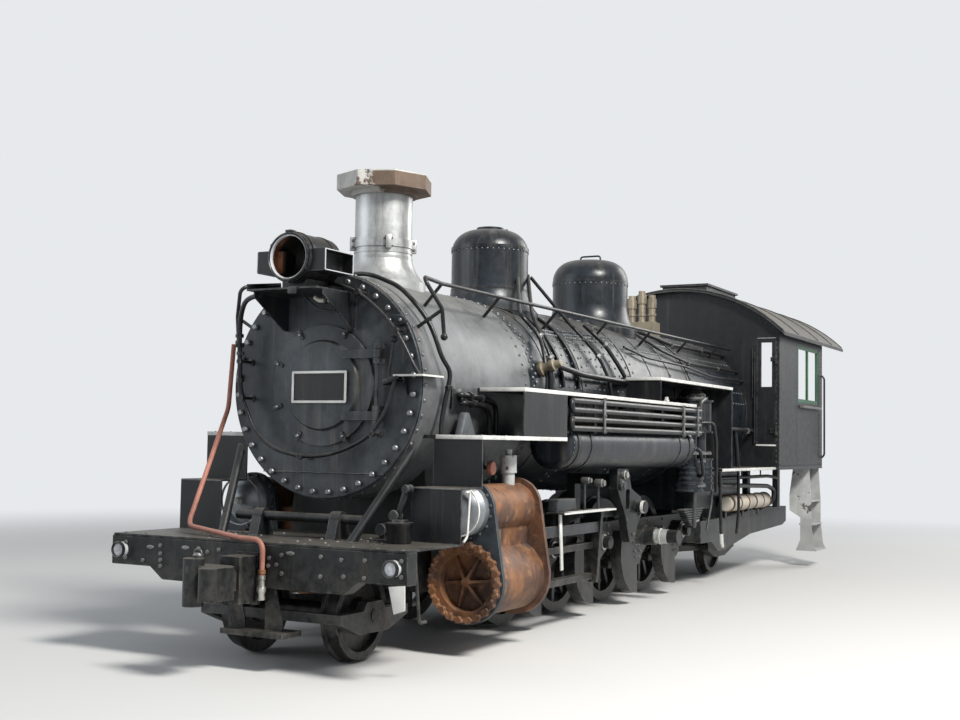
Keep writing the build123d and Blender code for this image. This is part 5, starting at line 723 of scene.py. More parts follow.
def along(start, end, count):
    """Evenly spaced points from start to end."""
    return [Vector(start).lerp(Vector(end), step / (count - 1)) for step in range(count)]


def turns(count, first=0):
    """Evenly spaced turns of a whole circle, in radians. First is a share of a step."""
    return [2 * math.pi / count * (number + first) for number in range(count)]


# %% [markdown]
# The smokebox front is held by a circle of long studs with domed nuts, whose
# shadows are one of the things one notices first. A place on the circle is
# found from a turn about the boiler's axis.

# %% Studs of the smokebox front
AHEAD = Vector((0, -1, 0))
STUD_COUNT = 36
STUD_CIRCLE = SMOKEBOX_RADIUS - 0.062
studs = []
for number in range(STUD_COUNT):
    place = on_barrel(0.004, 360 / STUD_COUNT * (number + 0.5), STUD_CIRCLE)[0]
    studs.append((place, AHEAD, 0.027))
sown("smokebox_front_studs", stud_pattern, studs, "stud_steel")

# %% [markdown]
# Rows of rivets go round the boiler at each joint of its plates. At the
# firebox they leave out the lower half, which it hides. Other rows run
# lengthwise where a plate overlaps its neighbour, on both sides.

# %% Rows of rivets round and along the boiler
BELT_ROWS = (
    # station, shell radius, how many, first turn, size
    (0.062, 0.945, 48, 0.0, 0.016),
    (1.862, 0.945, 64, 0.0, 0.013),
    (2.052, 0.935, 72, 0.0, 0.016),
    (2.112, 0.935, 72, 2.5, 0.016),
    (3.130, 0.935, 60, 0.0, 0.0145),
    (3.270, 0.938, 60, 3.0, 0.0145),
    (4.420, 0.972, 60, 0.0, 0.0145),
    (4.580, 0.975, 60, 3.0, 0.0145),
    (5.790, 0.981, 60, 1.0, 0.0145),
    (6.500, 0.990, 64, 0.0, 0.0145),
    (6.560, 0.990, 64, 2.8, 0.0145),
)
FIREBOX_START, FIREBOX_RADIUS, FIREBOX_SIDE = 6.4, 0.990, 92
rivets = []
for station, radius, count, first, size in BELT_ROWS:
    for number in range(count):
        turn = first + 360 / count * number
        beside_firebox = FIREBOX_SIDE < turn % 360 < 360 - FIREBOX_SIDE
        if station < FIREBOX_START or not beside_firebox:
            rivets.append((*on_barrel(station, turn, radius), size))
SEAM_ROWS = (
    # first station, last station, turn, how many, size
    (2.46, 3.14, 47.0, 15, 0.015),
    (2.50, 3.10, 43.5, 14, 0.015),
    (3.26, 4.44, 41.0, 26, 0.0145),
    (3.28, 4.42, 44.0, 25, 0.0145),
    (3.26, 4.44, 47.0, 26, 0.0145),
    (4.56, 5.74, 50.0, 24, 0.0145),
    (4.60, 5.70, 53.5, 23, 0.0145),
    (5.86, 6.38, 38.0, 12, 0.0145),
)


CLADDING_RADIUS, CLADDING_RISE = 0.935, 0.040
CONE_START, CONE_LENGTH = 3.2, 1.3


def cladding(station):
    """Radius of the boiler's outside at a station: a drum, a cone and a wider drum."""
    share = min(max((station - CONE_START) / CONE_LENGTH, 0), 1)
    return CLADDING_RADIUS + CLADDING_RISE * share


for first, last, turn, count, size in SEAM_ROWS:
    for number in range(count):
        station = first + (last - first) / (count - 1) * number
        for side in (1, -1):
            rivets.append((*on_barrel(station, side * turn, cladding(station)), size))
print(len(rivets), "rivets in rows")

# %% [markdown]
# Between the rows, small heads stand in staggered lines on the shoulders,
# except at the bands, and the firebox's stays end in heads in even lines.
# All of the boiler's rivets become one piece.

# %% Small heads and stay heads
BAND_STATIONS, BAND_CLEAR = (2.4, 3.2, 3.85), 0.09
ROW_PITCH = 0.118
for column in range(16):
    for row in range(7):
        station = 2.52 + ROW_PITCH * column + ROW_PITCH / 2 * (row % 2)
        if not any(abs(station - band) < BAND_CLEAR for band in BAND_STATIONS):
            for side in (1, -1):
                turn = side * (52 + 5.2 * row)
                rivets.append((*on_barrel(station, turn, cladding(station)), 0.012))
STAY_PITCH = 0.112
for column in range(17):
    for row in range(9):
        for side in (1, -1):
            turn = side * (14 + 8.6 * row)
            rivets.append((*on_barrel(6.66 + STAY_PITCH * column, turn, FIREBOX_RADIUS), 0.013))
sown("boiler_rivets", rivet_pattern, rivets, "rivet_blue")

# %% [markdown]
# Pipes and rods are curves with a round bevel. A pipe fitter bends a pipe
# round a former, so each corner becomes an arc of the same reach. The curve
# is then made a mesh with closed ends, so that it can be dressed and baked
# like every other piece.

# %% Helper for pipes and rods
# A bend takes at most this share of the run on either side of it
BEND_SHARE = 0.48


def piped(name, points, radius, finish, body="engine", bend=0.08):
    """A pipe or rod through points, with its corners bent."""
    route = [Vector(points[0])]
    for before, corner, after in zip(points, points[1:], points[2:]):
        corner = Vector(corner)
        back, onward = Vector(before) - corner, Vector(after) - corner
        reach = min(bend, back.length * BEND_SHARE, onward.length * BEND_SHARE)
        start, end = corner + back.normalized() * reach, corner + onward.normalized() * reach
        for share in (0, 0.2, 0.4, 0.6, 0.8, 1):
            route.append(start.lerp(corner, share).lerp(corner.lerp(end, share), share))
    route.append(Vector(points[-1]))
    line = bpy.data.curves.new(name, "CURVE")
    line.dimensions = "3D"
    line.bevel_depth = radius
    line.bevel_resolution = 2 if radius < 0.02 else 4
    line.use_fill_caps = True
    run = line.splines.new("POLY")
    run.points.add(len(route) - 1)
    for point, place in zip(run.points, route):
        point.co = (*place, 1)
    piece = bpy.data.objects.new(name, line)
    bpy.context.scene.collection.objects.link(piece)
    alone(piece)
    bpy.ops.object.convert(target="MESH")
    return finished(bpy.context.object, name, finish, body, 50)


# %% [markdown]
# Flat pieces, such as brackets, lugs and bars cut from plate, start as one
# outline. Solidify gives them their thickness and Bevel breaks their edges,
# because a real edge is never quite sharp and catches the light.

# %% Helper for plates and bars


def plated(name, outline, thickness, finish, body="engine", edge=0.004):
    """A plate from the corners of its middle face, with broken edges."""
    mesh = bpy.data.meshes.new(name)
    mesh.from_pydata([tuple(corner) for corner in outline], [], [list(range(len(outline)))])
    piece = bpy.data.objects.new(name, mesh)
    bpy.context.scene.collection.objects.link(piece)
    alone(piece)
    wall = piece.modifiers.new("wall", "SOLIDIFY")
    wall.thickness = thickness
    wall.offset = 0
    rounding = piece.modifiers.new("edges", "BEVEL")
    rounding.width = min(edge, thickness * 0.3)
    rounding.segments = 2
    for modifier in ("wall", "edges"):
        bpy.ops.object.modifier_apply(modifier=modifier)
    bpy.ops.object.mode_set(mode="EDIT")
    bpy.ops.mesh.select_all(action="SELECT")
    bpy.ops.mesh.normals_make_consistent(inside=False)
    return finished(piece, name, finish, body)


def barred(name, start, end, width, thick, finish, body="engine", across=(1, 0, 0)):
    """A flat bar from start to end: thick along across, width the other way."""
    start, end = Vector(start), Vector(end)
    side_way = (end - start).cross(Vector(across)).normalized() * width / 2
    outline = (start - side_way, end - side_way, end + side_way, start + side_way)
    return plated(name, outline, thick, finish, body)


# %% [markdown]
# Round pieces, such as caps, collars and valve bodies, are turned: half of
# their outline is spun about an axis with the spin tool, and the two ends
# close on the axis.

# %% Helper for turned pieces


def turned(name, profile, centre, axis, finish, body="engine", steps=24):
    """A turned piece. The profile is pairs of distance along the axis and radius."""
    mesh = bpy.data.meshes.new(name)
    corners = [(radius, 0, distance) for distance, radius in profile]
    mesh.from_pydata(corners, [(number, number + 1) for number in range(len(corners) - 1)], [])
    piece = bpy.data.objects.new(name, mesh)
    bpy.context.scene.collection.objects.link(piece)
    alone(piece)
    bpy.ops.object.mode_set(mode="EDIT")
    bpy.ops.mesh.select_mode(type="VERT")
    bpy.ops.mesh.select_all(action="SELECT")
    bpy.ops.mesh.spin(steps=steps, angle=2 * math.pi, center=(0, 0, 0), axis=(0, 0, 1))
    bpy.ops.mesh.select_all(action="SELECT")
    bpy.ops.mesh.remove_doubles(threshold=0.0002)
    bpy.ops.mesh.normals_make_consistent(inside=False)
    bpy.ops.object.mode_set(mode="OBJECT")
    piece.rotation_mode = "QUATERNION"
    piece.rotation_quaternion = Vector(axis).to_track_quat("Z", "Y")
    piece.location = centre
    return finished(piece, name, finish, body, 40)


def ring(low, high, inner, outer):
    """Profile of a plain ring, from low to high along its axis."""
    return ((low, inner), (low, outer), (high, outer), (high, inner), (low, inner))


# %% [markdown]
# On the left side of the smokebox a hand rail arches from the lamp shelf
# down to the corner step, and a second pipe runs behind it from the
# chimney's foot to the running board. On the right a pipe drops from the
# shelf, passes a knot of fittings, and curves under the door to the step.
# Their points were read from the photograph, at the depth of what they touch.

# %% Rails and pipes on the smokebox
FRONT_PIPES = (
    # name, radius, bend, points as X, station and Z
    (
        "front_arc_rail", 0.017, 0.16,
        (
            (-0.15, -0.12, 3.045), (0.15, -0.12, 3.035), (0.40, -0.12, 2.952), (0.63, -0.12, 2.775),
            (0.77, -0.12, 2.63), (0.87, -0.12, 2.475), (0.94, -0.11, 2.34), (0.975, -0.09, 2.278),
        ),
    ),
    (
        "side_arc_pipe", 0.020, 0.15,
        (
            (0.02, 0.33, 3.17), (0.30, 0.20, 3.145), (0.60, 0.18, 3.025), (0.745, 0.18, 2.897),
            (0.865, 0.215, 2.74), (0.94, 0.215, 2.594), (0.985, 0.245, 2.43), (1.03, 0.32, 2.32),
            (1.02, 0.30, 2.19), (1.00, 0.28, 2.07), (0.975, 0.275, 1.90), (0.975, 0.275, 1.80),
        ),
    ),
    (
        "shelf_drop_pipe", 0.021, 0.10,
        (
            (-0.36, -0.42, 2.925), (-0.56, -0.36, 2.90), (-0.72, -0.22, 2.79),
            (-0.775, -0.16, 2.62), (-0.765, -0.15, 2.20), (-0.745, -0.14, 2.09),
        ),
    ),
    (
        "under_door_arc", 0.017, 0.14,
        (
            (-0.745, -0.14, 2.09), (-0.60, -0.14, 1.80), (-0.40, -0.14, 1.66),
            (-0.12, -0.14, 1.605), (0.14, -0.13, 1.62), (0.36, -0.12, 1.69), (0.56, -0.11, 1.80),
            (0.70, -0.10, 2.02), (0.755, -0.085, 2.262),
        ),
    ),
    ("shelf_white_pipe", 0.018, 0.05, ((0.10, -0.30, 2.90), (0.14, -0.30, 2.872), (0.27, -0.30, 2.868))),
    (
        "shelf_bent_pipe", 0.009, 0.05,
        ((-0.06, -0.25, 2.94), (0.02, -0.25, 2.86), (0.13, -0.27, 2.80), (0.29, -0.20, 2.78)),
    ),
    (
        "elbow_upper", 0.024, 0.07,
        (
            (0.935, 0.55, 2.135), (1.00, 0.56, 2.14), (1.00, 0.97, 2.118), (1.00, 1.17, 2.08),
            (0.995, 1.19, 1.95), (0.99, 1.20, 1.80),
        ),
    ),
    (
        "elbow_lower", 0.024, 0.07,
        (
            (0.930, 0.60, 2.065), (0.995, 0.62, 2.075), (0.995, 0.97, 2.058), (0.99, 1.075, 1.99),
            (0.98, 1.09, 1.80),
        ),
    ),
)
for name, radius, bend, points in FRONT_PIPES:
    finish = "lagging_white" if "white" in name else "pipe_black"
    piped(name, [spot(*point) for point in points], radius, finish, bend=bend)
ARC_STANDS = (
    # x, z, how far the pipe stands off
    (-0.15, 3.045, 0.13),
    (0.40, 2.952, 0.13),
    (0.77, 2.63, 0.13),
    (-0.765, 2.40, 0.16),
    (-0.745, 2.09, 0.15),
    (-0.12, 1.605, 0.15),
    (0.56, 1.80, 0.12),
)
FOOT_RADIUS, STEM_RADIUS, EYE_RADIUS = 0.030, 0.013, 0.026
for number, (x, z, reach) in enumerate(ARC_STANDS):
    foot = ((0, 0), (0, FOOT_RADIUS), (0.012, FOOT_RADIUS), (0.016, STEM_RADIUS))
    stem = ((reach - 0.02, STEM_RADIUS), (reach - 0.016, EYE_RADIUS))
    eye = ((reach + 0.014, EYE_RADIUS), (reach + 0.014, 0))
    turned(f"arc_stand_{number}", foot + stem + eye, spot(x, 0, z), AHEAD, "pipe_black", steps=12)
print(len(FRONT_PIPES), "pipes and", len(ARC_STANDS), "stands at the front")

# %% [markdown]
# The knot on the right is three unions, one over the other. Couplings like
# these sit wherever one pipe meets the next, so the hexagonal bolt head is
# copied along the pipes, each copy centred on its pipe. Below the elbows, a
# flange and a grey housing take their ends.

# %% Pipe couplings
COUPLINGS = (
    # x, station, z, direction, size
    (-0.775, -0.16, 2.62, (0, 0, 1), 0.036),
    (-0.772, -0.158, 2.54, (0, 0, 1), 0.042),
    (-0.768, -0.152, 2.47, (0, 0, 1), 0.034),
    (-0.765, -0.15, 2.24, (0, 0, 1), 0.034),
    (0.865, 0.215, 2.74, (-0.5, 0, 1), 0.032),
    (1.022, 0.305, 2.19, (0, 0, 1), 0.034),
    (1.00, 0.70, 2.134, (0, 1, 0), 0.038),
    (0.995, 0.76, 2.068, (0, 1, 0), 0.038),
    (1.00, 0.90, 2.122, (0, 1, 0), 0.034),
    (0.22, -0.30, 2.868, (1, 0, 0), 0.030),
)


def coupled(rows):
    """Places for couplings that are centred on their pipes."""
    return [
        (spot(x, station, z) - Vector(way).normalized() * size * 0.5, way, size)
        for x, station, z, way, size in rows
    ]


sown("front_couplings", bolt_pattern, coupled(COUPLINGS), "pipe_black")
FLANGE_X, HOUSING_X = 0.948, 0.99
FLANGE_SHAPE = ((0.47, 2.02), (0.62, 2.02), (0.62, 2.19), (0.47, 2.19))
HOUSING_SHAPE = ((0.60, 1.995), (0.66, 1.995), (0.78, 1.80), (0.52, 1.80))
flange = [spot(FLANGE_X, *corner) for corner in FLANGE_SHAPE]
plated("elbow_flange", flange, 0.03, "pipe_black")
housing = [spot(HOUSING_X, *corner) for corner in HOUSING_SHAPE]
plated("grey_housing", housing, 0.07, "cover_silver", edge=0.015)

# %% [markdown]
# The pilot beam is a deep box of plate, and nearly everything in front hangs
# on it. Bolt heads stand in groups where brackets sit behind, three oblong
# slots show as flat pieces of their own, and a pale tag is fixed at the left
# end. The heads' places were read from the photograph.

# %% Bolts, slots and tag of the pilot beam
BEAM_FACE = -0.915
BEAM_BOLTS = (
    (-1.261, 0.896), (-1.264, 0.772), (-1.074, 0.760), (-0.894, 0.886), (-0.891, 0.823), (-0.889, 0.771),
    (-0.887, 0.724), (-0.635, 0.760), (-0.501, 0.884), (-0.412, 0.861), (0.188, 0.850), (0.182, 0.790),
    (0.258, 0.804), (0.304, 0.878), (0.309, 0.740), (0.665, 0.740), (0.848, 0.873), (1.053, 0.880),
    (0.870, 0.752), (1.050, 0.753), (1.365, 0.893), (1.365, 0.779), (-0.300, 0.884), (0.665, 0.884),
)
BEAM_SLOTS = ((-1.001, 0.869), (-0.635, 0.883), (0.385, 0.894))
heads = [(spot(x, BEAM_FACE + 0.002, z), AHEAD, 0.017) for x, z in BEAM_BOLTS]
sown("pilot_beam_bolts", bolt_pattern, heads, "bolt_grey")
SLOT_HALF_LENGTH, SLOT_HALF_HEIGHT = 0.038, 0.016
for number, (x, z) in enumerate(BEAM_SLOTS):
    outline = []
    for turn in turns(16):
        squarer = 1.0 if abs(math.cos(turn)) > 0.5 else 0.8
        across = SLOT_HALF_LENGTH * math.cos(turn) * squarer
        outline.append(spot(x + across, BEAM_FACE - 0.004, z + SLOT_HALF_HEIGHT * math.sin(turn)))
    plated(f"beam_slot_{number}", outline, 0.012, "bolt_grey")
TAG = ((1.262, 0.706), (1.400, 0.721), (1.405, 0.545), (1.310, 0.513))
plated("beam_tag", [spot(x, BEAM_FACE - 0.006, z) for x, z in TAG], 0.010, "edge_white")
UPWARDS = (0, 0, 1)
TOP_BOLTS = (-1.33, -1.12, -0.90, -0.68, -0.46, -0.24, 0.24, 0.46, 0.68, 0.90, 1.12, 1.33)
heads = [(spot(x, -0.848, 0.950), UPWARDS, 0.018) for x in TOP_BOLTS]
sown("beam_top_bolts", bolt_pattern, heads, "bolt_grey")

# %% [markdown]
# On the left of the deck stand a small cylinder and a bent bracket with three
# rollers. The cylinder and the rollers are turned, and the bracket is a plate
# with a foot and a post under it.

# %% Deck fittings
DECK_TOP = 0.960
CANISTER = (
    (0, 0), (0, 0.088), (0.02, 0.095), (0.13, 0.095), (0.145, 0.105), (0.165, 0.105),
    (0.170, 0.070), (0.185, 0.066), (0.185, 0),
)
turned("deck_cylinder", CANISTER, spot(0.985, -0.35, DECK_TOP), UPWARDS, "pipe_black")
ROLLER_STATION = -0.20
ROLLERS = (
    # x, z, radius
    (0.74, 1.050, 0.045),
    (0.855, 1.165, 0.040),
    (0.96, 1.375, 0.032),
)
ROLLER_ARM = (
    (0.70, 1.045), (0.76, 1.010), (0.86, 1.045), (0.985, 1.385), (0.955, 1.405), (0.930, 1.385),
    (0.83, 1.110), (0.75, 1.085),
)
arm = [spot(x, ROLLER_STATION, z) for x, z in ROLLER_ARM]
plated("roller_bracket", arm, 0.022, "frame_black")
for number, (x, z, radius) in enumerate(ROLLERS):
    flange, tread = radius * 1.15, radius * 0.9
    front_half = ((-0.045, 0), (-0.045, radius), (-0.030, flange), (-0.012, tread))
    rear_half = ((0.012, tread), (0.030, flange), (0.045, radius), (0.045, 0))
    centre = spot(x, ROLLER_STATION, z)
    turned(f"deck_roller_{number}", front_half + rear_half, centre, (0, 1, 0), "truck_grey", steps=18)
FOOT_SHAPE = ((0.66, -0.27), (0.90, -0.27), (0.90, -0.13), (0.66, -0.13))
plated("roller_foot", [spot(*corner, DECK_TOP + 0.012) for corner in FOOT_SHAPE], 0.018, "frame_black")
post = (spot(0.74, ROLLER_STATION, DECK_TOP + 0.01), spot(0.74, ROLLER_STATION, 1.06))
barred("roller_post", *post, 0.05, 0.03, "frame_black", across=(0, 1, 0))
print(len(ROLLERS), "rollers on the bracket")

# %% [markdown]
# Coal chips lie where the smokebox is cleaned out. One small icosphere is
# pushed out of shape and flattened, and its copies are scattered with a fixed
# seed, so that they fall the same way each time.

# %% Coal chips
chip = np.random.default_rng(19)
chip_pattern = started("ico_sphere", subdivisions=1, radius=1)
bpy.ops.mesh.select_all(action="SELECT")
bpy.ops.transform.vertex_random(offset=0.35, seed=3)
bpy.ops.transform.resize(value=(1, 0.8, 0.55))
bpy.ops.object.mode_set(mode="OBJECT")
CHIP_COUNT, CHIP_LEAN = 150, 0.3
chips = []
for number in range(CHIP_COUNT):
    x, station = 0.62 + 0.34 * chip.random(), -0.60 + 0.42 * chip.random()
    lean = (CHIP_LEAN * chip.random(), CHIP_LEAN * chip.random(), 1)
    side = 1 if number % 4 else -1
    chips.append((spot(x * side, station, DECK_TOP + 0.006), lean, 0.006 + 0.012 * chip.random() ** 2))
sown("coal_chips", chip_pattern, chips, "board_black")
bpy.data.objects.remove(chip_pattern)

# %% [markdown]
# A white rod stands beside the left step box, and a hanger reaches down
# behind the beam. Each is bent from one length of rod. Rows of small heads
# hold the deck's plate to what is under it.

# %% Rods and bolts at the deck
WHITE_ROD_X, HANGER_X = 1.407, 1.36
WHITE_ROD = ((-0.074, 1.361), (-0.004, 1.365), (-0.039, 1.016), (-0.094, 0.980))
piped(
    "white_step_rod", [spot(WHITE_ROD_X, *point) for point in WHITE_ROD], 0.010, "edge_white",
    bend=0.03,
)
HANGER = ((-0.732, 0.940), (-0.652, 0.426), (-0.560, 0.426))
piped("beam_hanger", [spot(HANGER_X, *point) for point in HANGER], 0.013, "frame_black", bend=0.03)
heads = []
for side in (1, -1):
    for x in (0.30, 0.56):
        for station in (-0.72, -0.56, -0.40, -0.24, -0.10):
            heads.append((spot(x * side, station, DECK_TOP + 0.004), UPWARDS, 0.014))
sown("deck_bolts", rivet_pattern, heads, "bolt_grey")

# %% [markdown]
# Beside the door, the front plate carries a lever with a ball on its end, in
# a slanted foot, and an oval bracket with two studs. A weld bead crosses the
# plate below the door. None of them rides on the door, so they stay when it
# swings.

# %% Door and front plate fittings
LEVER_BALL = spot(0.741, -0.100, 2.559)
BALL = (
    (-0.03, 0), (-0.026, 0.016), (-0.014, 0.027), (0, 0.031), (0.014, 0.027), (0.026, 0.016),
    (0.03, 0),
)
piped("door_lever", [LEVER_BALL, spot(0.69, -0.100, 2.216)], 0.012, "pipe_black")
turned("door_lever_ball", BALL, LEVER_BALL, UPWARDS, "pipe_black")
LEVER_FOOT = ((0.64, 2.19), (0.79, 2.24), (0.79, 2.275), (0.64, 2.235))
plated("lever_foot", [spot(x, -0.055, z) for x, z in LEVER_FOOT], 0.11, "pipe_black", edge=0.008)
OVAL_X, OVAL_Z, OVAL_HALF_WIDTH, OVAL_HALF_HEIGHT = 0.724, 2.717, 0.085, 0.048
oval = []
for turn in turns(20):
    x, z = OVAL_X + OVAL_HALF_WIDTH * math.cos(turn), OVAL_Z + OVAL_HALF_HEIGHT * math.sin(turn)
    oval.append(spot(x, -0.028, z))
plated("oval_bracket", oval, 0.05, "smokebox_paint", edge=0.008)
studs = [(spot(OVAL_X + reach, -0.052, OVAL_Z), AHEAD, 0.016) for reach in (-0.05, 0.05)]
sown("oval_studs", stud_pattern, studs, "stud_steel")
WELD_Z, WELD_WAVE, WELD_STEP = 1.475, 0.0025, 0.06
weld = []
for step in range(21):
    weld.append(spot(-0.60 + WELD_STEP * step, -0.004, WELD_Z + WELD_WAVE * math.sin(step * 1.9)))
piped("front_weld", weld, 0.006, "smokebox_paint", bend=0.02)

# %% [markdown]
# The headlight is a drum. A pale ring lies in a darker rim at its mouth,
# small clips hold the rim, and two hoops go round the drum. Rings and hoops
# are turned about the lamp's axis, and a small hinge sits on top.

# %% Headlight
LAMP_FACE = -0.52
lamp_centre = spot(0, LAMP_FACE, LAMP_Z)
LAMP_RIM = (
    (0.03, 0.196), (-0.010, 0.200), (-0.024, 0.196), (-0.028, 0.186), (-0.020, 0.180),
    (0.012, 0.180), (0.03, 0.190), (0.03, 0.196),
)
turned("lamp_rim", LAMP_RIM, lamp_centre, (0, 1, 0), "pipe_black", steps=48)
LAMP_RING = (
    (0.010, 0.184), (-0.014, 0.184), (-0.020, 0.177), (-0.014, 0.170), (0.010, 0.170),
    (0.010, 0.184),
)
turned("lamp_ring", LAMP_RING, lamp_centre, (0, 1, 0), "lamp_pale", steps=48)
for band in (0.05, 0.34):
    hoop = ring(band, band + 0.03, 0.203, 0.212)
    turned(f"lamp_hoop_{int(band * 100)}", hoop, lamp_centre, (0, 1, 0), "pipe_black", steps=48)
CLIP_CIRCLE = 0.200
clips = []
for turn in turns(6, 0.5):
    outward = Vector((math.cos(turn) * CLIP_CIRCLE, -0.004, math.sin(turn) * CLIP_CIRCLE))
    clips.append((lamp_centre + outward, AHEAD, 0.012))
sown("lamp_clips", bolt_pattern, clips, "pipe_black")
LAMP_HINGE = ((0.03, -0.545), (-0.03, -0.545), (-0.03, -0.47), (0.03, -0.47))
plated("lamp_hinge", [spot(*corner, 3.412) for corner in LAMP_HINGE], 0.02, "pipe_black")

# %% [markdown]
# The chimney is cast with a wide flange, which is bolted down over the
# smokebox. A belt clamps it about halfway up, with four bolted lugs.
# Beside the headlight, the shelf carries a small block and a slanted bar.

# %% Chimney and shelf fittings
STACK_STATION, STACK_RADIUS = 0.854, 0.256
stack_axis = spot(0, STACK_STATION, 0)
BELT_Z, LUG_HALF_HEIGHT, LUG_HALF_WIDTH = 3.49, 0.06, 0.024
clamps = []
for azimuth in (42, 132, 222, 312):
    outward = Vector((math.sin(math.radians(azimuth)), -math.cos(math.radians(azimuth)), 0))
    sideways = outward.cross(Vector(UPWARDS))
    middle = stack_axis + outward * (STACK_RADIUS + 0.018) + Vector((0, 0, BELT_Z))
    for lift in (-0.032, 0.032):
        for way in (sideways, -sideways):
            clamps.append((middle + Vector((0, 0, lift)) + way * LUG_HALF_WIDTH, way, 0.014))
    half = Vector((0, 0, LUG_HALF_HEIGHT))
    lug = f"clamp_lug_{azimuth}"
    barred(lug, middle - half, middle + half, 0.05, 0.05, "stack_silver", across=tuple(sideways))
sown("clamp_bolts", bolt_pattern, clamps, "bolt_grey")
for name, low, high, reach in (
    ("chimney_belt", 3.455, 3.525, 0.012), ("chimney_seam", 3.405, 3.421, 0.006),
):
    belt = ring(low, high, STACK_RADIUS - 0.01, STACK_RADIUS + reach)
    turned(name, belt, stack_axis, UPWARDS, "stack_silver", steps=48)
BASE_CIRCLE = 0.348
base_bolts = []
for turn in turns(12, 0.5):
    x, station = BASE_CIRCLE * math.sin(turn), STACK_STATION - BASE_CIRCLE * math.cos(turn)
    height = BOILER_Z + math.sqrt((SMOKEBOX_RADIUS + 0.035) ** 2 - x ** 2)
    base_bolts.append((spot(x, station, height), (x, 0, 1), 0.020))
sown("chimney_base_bolts", bolt_pattern, base_bolts, "bolt_grey")
SHELF_BLOCK = ((0.04, 2.90), (0.11, 2.90), (0.11, 2.955), (0.04, 2.955))
plated("shelf_block", [spot(x, -0.572, z) for x, z in SHELF_BLOCK], 0.03, "truck_grey", edge=0.006)
side_bar = (spot(-0.400, -0.54, 2.975), spot(-0.400, -0.10, 3.035))
barred("shelf_side_bar", *side_bar, 0.05, 0.016, "frame_black")

# %% [markdown]
# A cylinder's ends are bolted all round. In front is the open end with its
# brown ring of nuts, and above it the silver valve cover with a pale rim and
# a nub. Above the left valve chest sits an orange fitting with its pipe.

# %% Bolts of the cylinders
CYLINDER_X, CYLINDER_Z, VALVE_Z = 1.105, 0.606, 1.194
HEAD_FACE, CHEST_FACE, CHEST_REAR, CYLINDER_REAR = 0.438, 0.489, 1.391, 1.392
HEAD_CIRCLE, CHEST_CIRCLE, REAR_CIRCLE = 0.306, 0.228, 0.318
COVER_RIM = ((0, 0.206), (-0.006, 0.214), (0.018, 0.214), (0.022, 0.208), (0, 0.206))
COVER_NUB = (
    (0.02, 0), (0.02, 0.040), (-0.006, 0.040), (-0.012, 0.034), (-0.030, 0.034), (-0.034, 0.026),
    (-0.034, 0),
)


def on_circle(side, station, middle_z, radius, turn):
    """A point on a circle about a cylinder's or a valve chest's axis."""
    return spot(
        (CYLINDER_X + radius * math.sin(turn)) * side, station, middle_z + radius * math.cos(turn),
    )


for side_name, side in SIDES:
    nuts = [
        (on_circle(side, HEAD_FACE, CYLINDER_Z, HEAD_CIRCLE, turn), AHEAD, 0.017)
        for turn in turns(22)
    ]
    sown(f"head_nuts_{side_name}", stud_pattern, nuts, "rusty_head")
    nuts = []
    for turn in turns(16, 0.5):
        nuts.append((on_circle(side, CHEST_FACE, VALVE_Z, CHEST_CIRCLE, turn), AHEAD, 0.013))
        nuts.append((on_circle(side, CHEST_REAR, VALVE_Z, CHEST_CIRCLE, turn), -AHEAD, 0.013))
    for turn in turns(18, 0.5):
        nuts.append((on_circle(side, CYLINDER_REAR, CYLINDER_Z, REAR_CIRCLE, turn), -AHEAD, 0.016))
    sown(f"cylinder_nuts_{side_name}", bolt_pattern, nuts, "bolt_grey")
    rim_centre, nub_centre = (spot(CYLINDER_X * side, station, VALVE_Z) for station in (0.309, 0.290))
    turned(f"valve_cover_rim_{side_name}", COVER_RIM, rim_centre, (0, 1, 0), "edge_white", steps=40)
    turned(f"valve_cover_nub_{side_name}", COVER_NUB, nub_centre, (0, 1, 0), "edge_white", steps=6)
FITTING_STATION, FITTING_Z = 0.915, 1.53
fitting = []
for turn in turns(18):
    station, z = FITTING_STATION + 0.055 * math.cos(turn), FITTING_Z + 0.060 * math.sin(turn)
    fitting.append(spot(1.10, station, z))
plated("orange_fitting", fitting, 0.05, "pipe_orange", edge=0.012)
route = (
    spot(1.10, FITTING_STATION, FITTING_Z), spot(1.02, FITTING_STATION, FITTING_Z),
    spot(1.00, 0.93, 1.80),
)
piped("orange_fitting_pipe", route, 0.016, "pipe_black", bend=0.05)

# %% [markdown]
# Where the crosshead ran on the left side, a guide block, two bars, two
# hanging rods, a gland ring and the link's bushes are left. The eye follows
# them into the dark behind the boards, so each has its own thickness.

# %% Guides, bushes and rods on the left
GUIDE_BLOCK = ((2.00, 1.235), (2.40, 1.235), (2.42, 1.13), (1.99, 1.11))
plated("guide_block", [spot(1.17, *corner) for corner in GUIDE_BLOCK], 0.10, "truck_grey", edge=0.01)
barred("guide_lower", spot(1.19, 1.42, 0.94), spot(1.19, 2.97, 0.94), 0.10, 0.05, "truck_grey")
barred("white_bar", spot(1.235, 2.02, 1.101), spot(1.235, 2.07, 0.585), 0.05, 0.016, "edge_white")
GLAND = ((-0.04, 0.035), (-0.04, 0.085), (0.02, 0.085), (0.03, 0.060), (0.03, 0.035), (-0.04, 0.035))
turned("gland_ring", GLAND, spot(CYLINDER_X, 1.47, CYLINDER_Z), (0, 1, 0), "rusty_head", steps=28)
piped("yoke_rod", [spot(1.20, 2.965, 1.367), spot(1.20, 2.996, 0.77)], 0.016, "truck_grey")
piped("guard_rod", [spot(1.20, 2.64, 1.40), spot(1.20, 2.646, 1.11)], 0.014, "truck_grey")
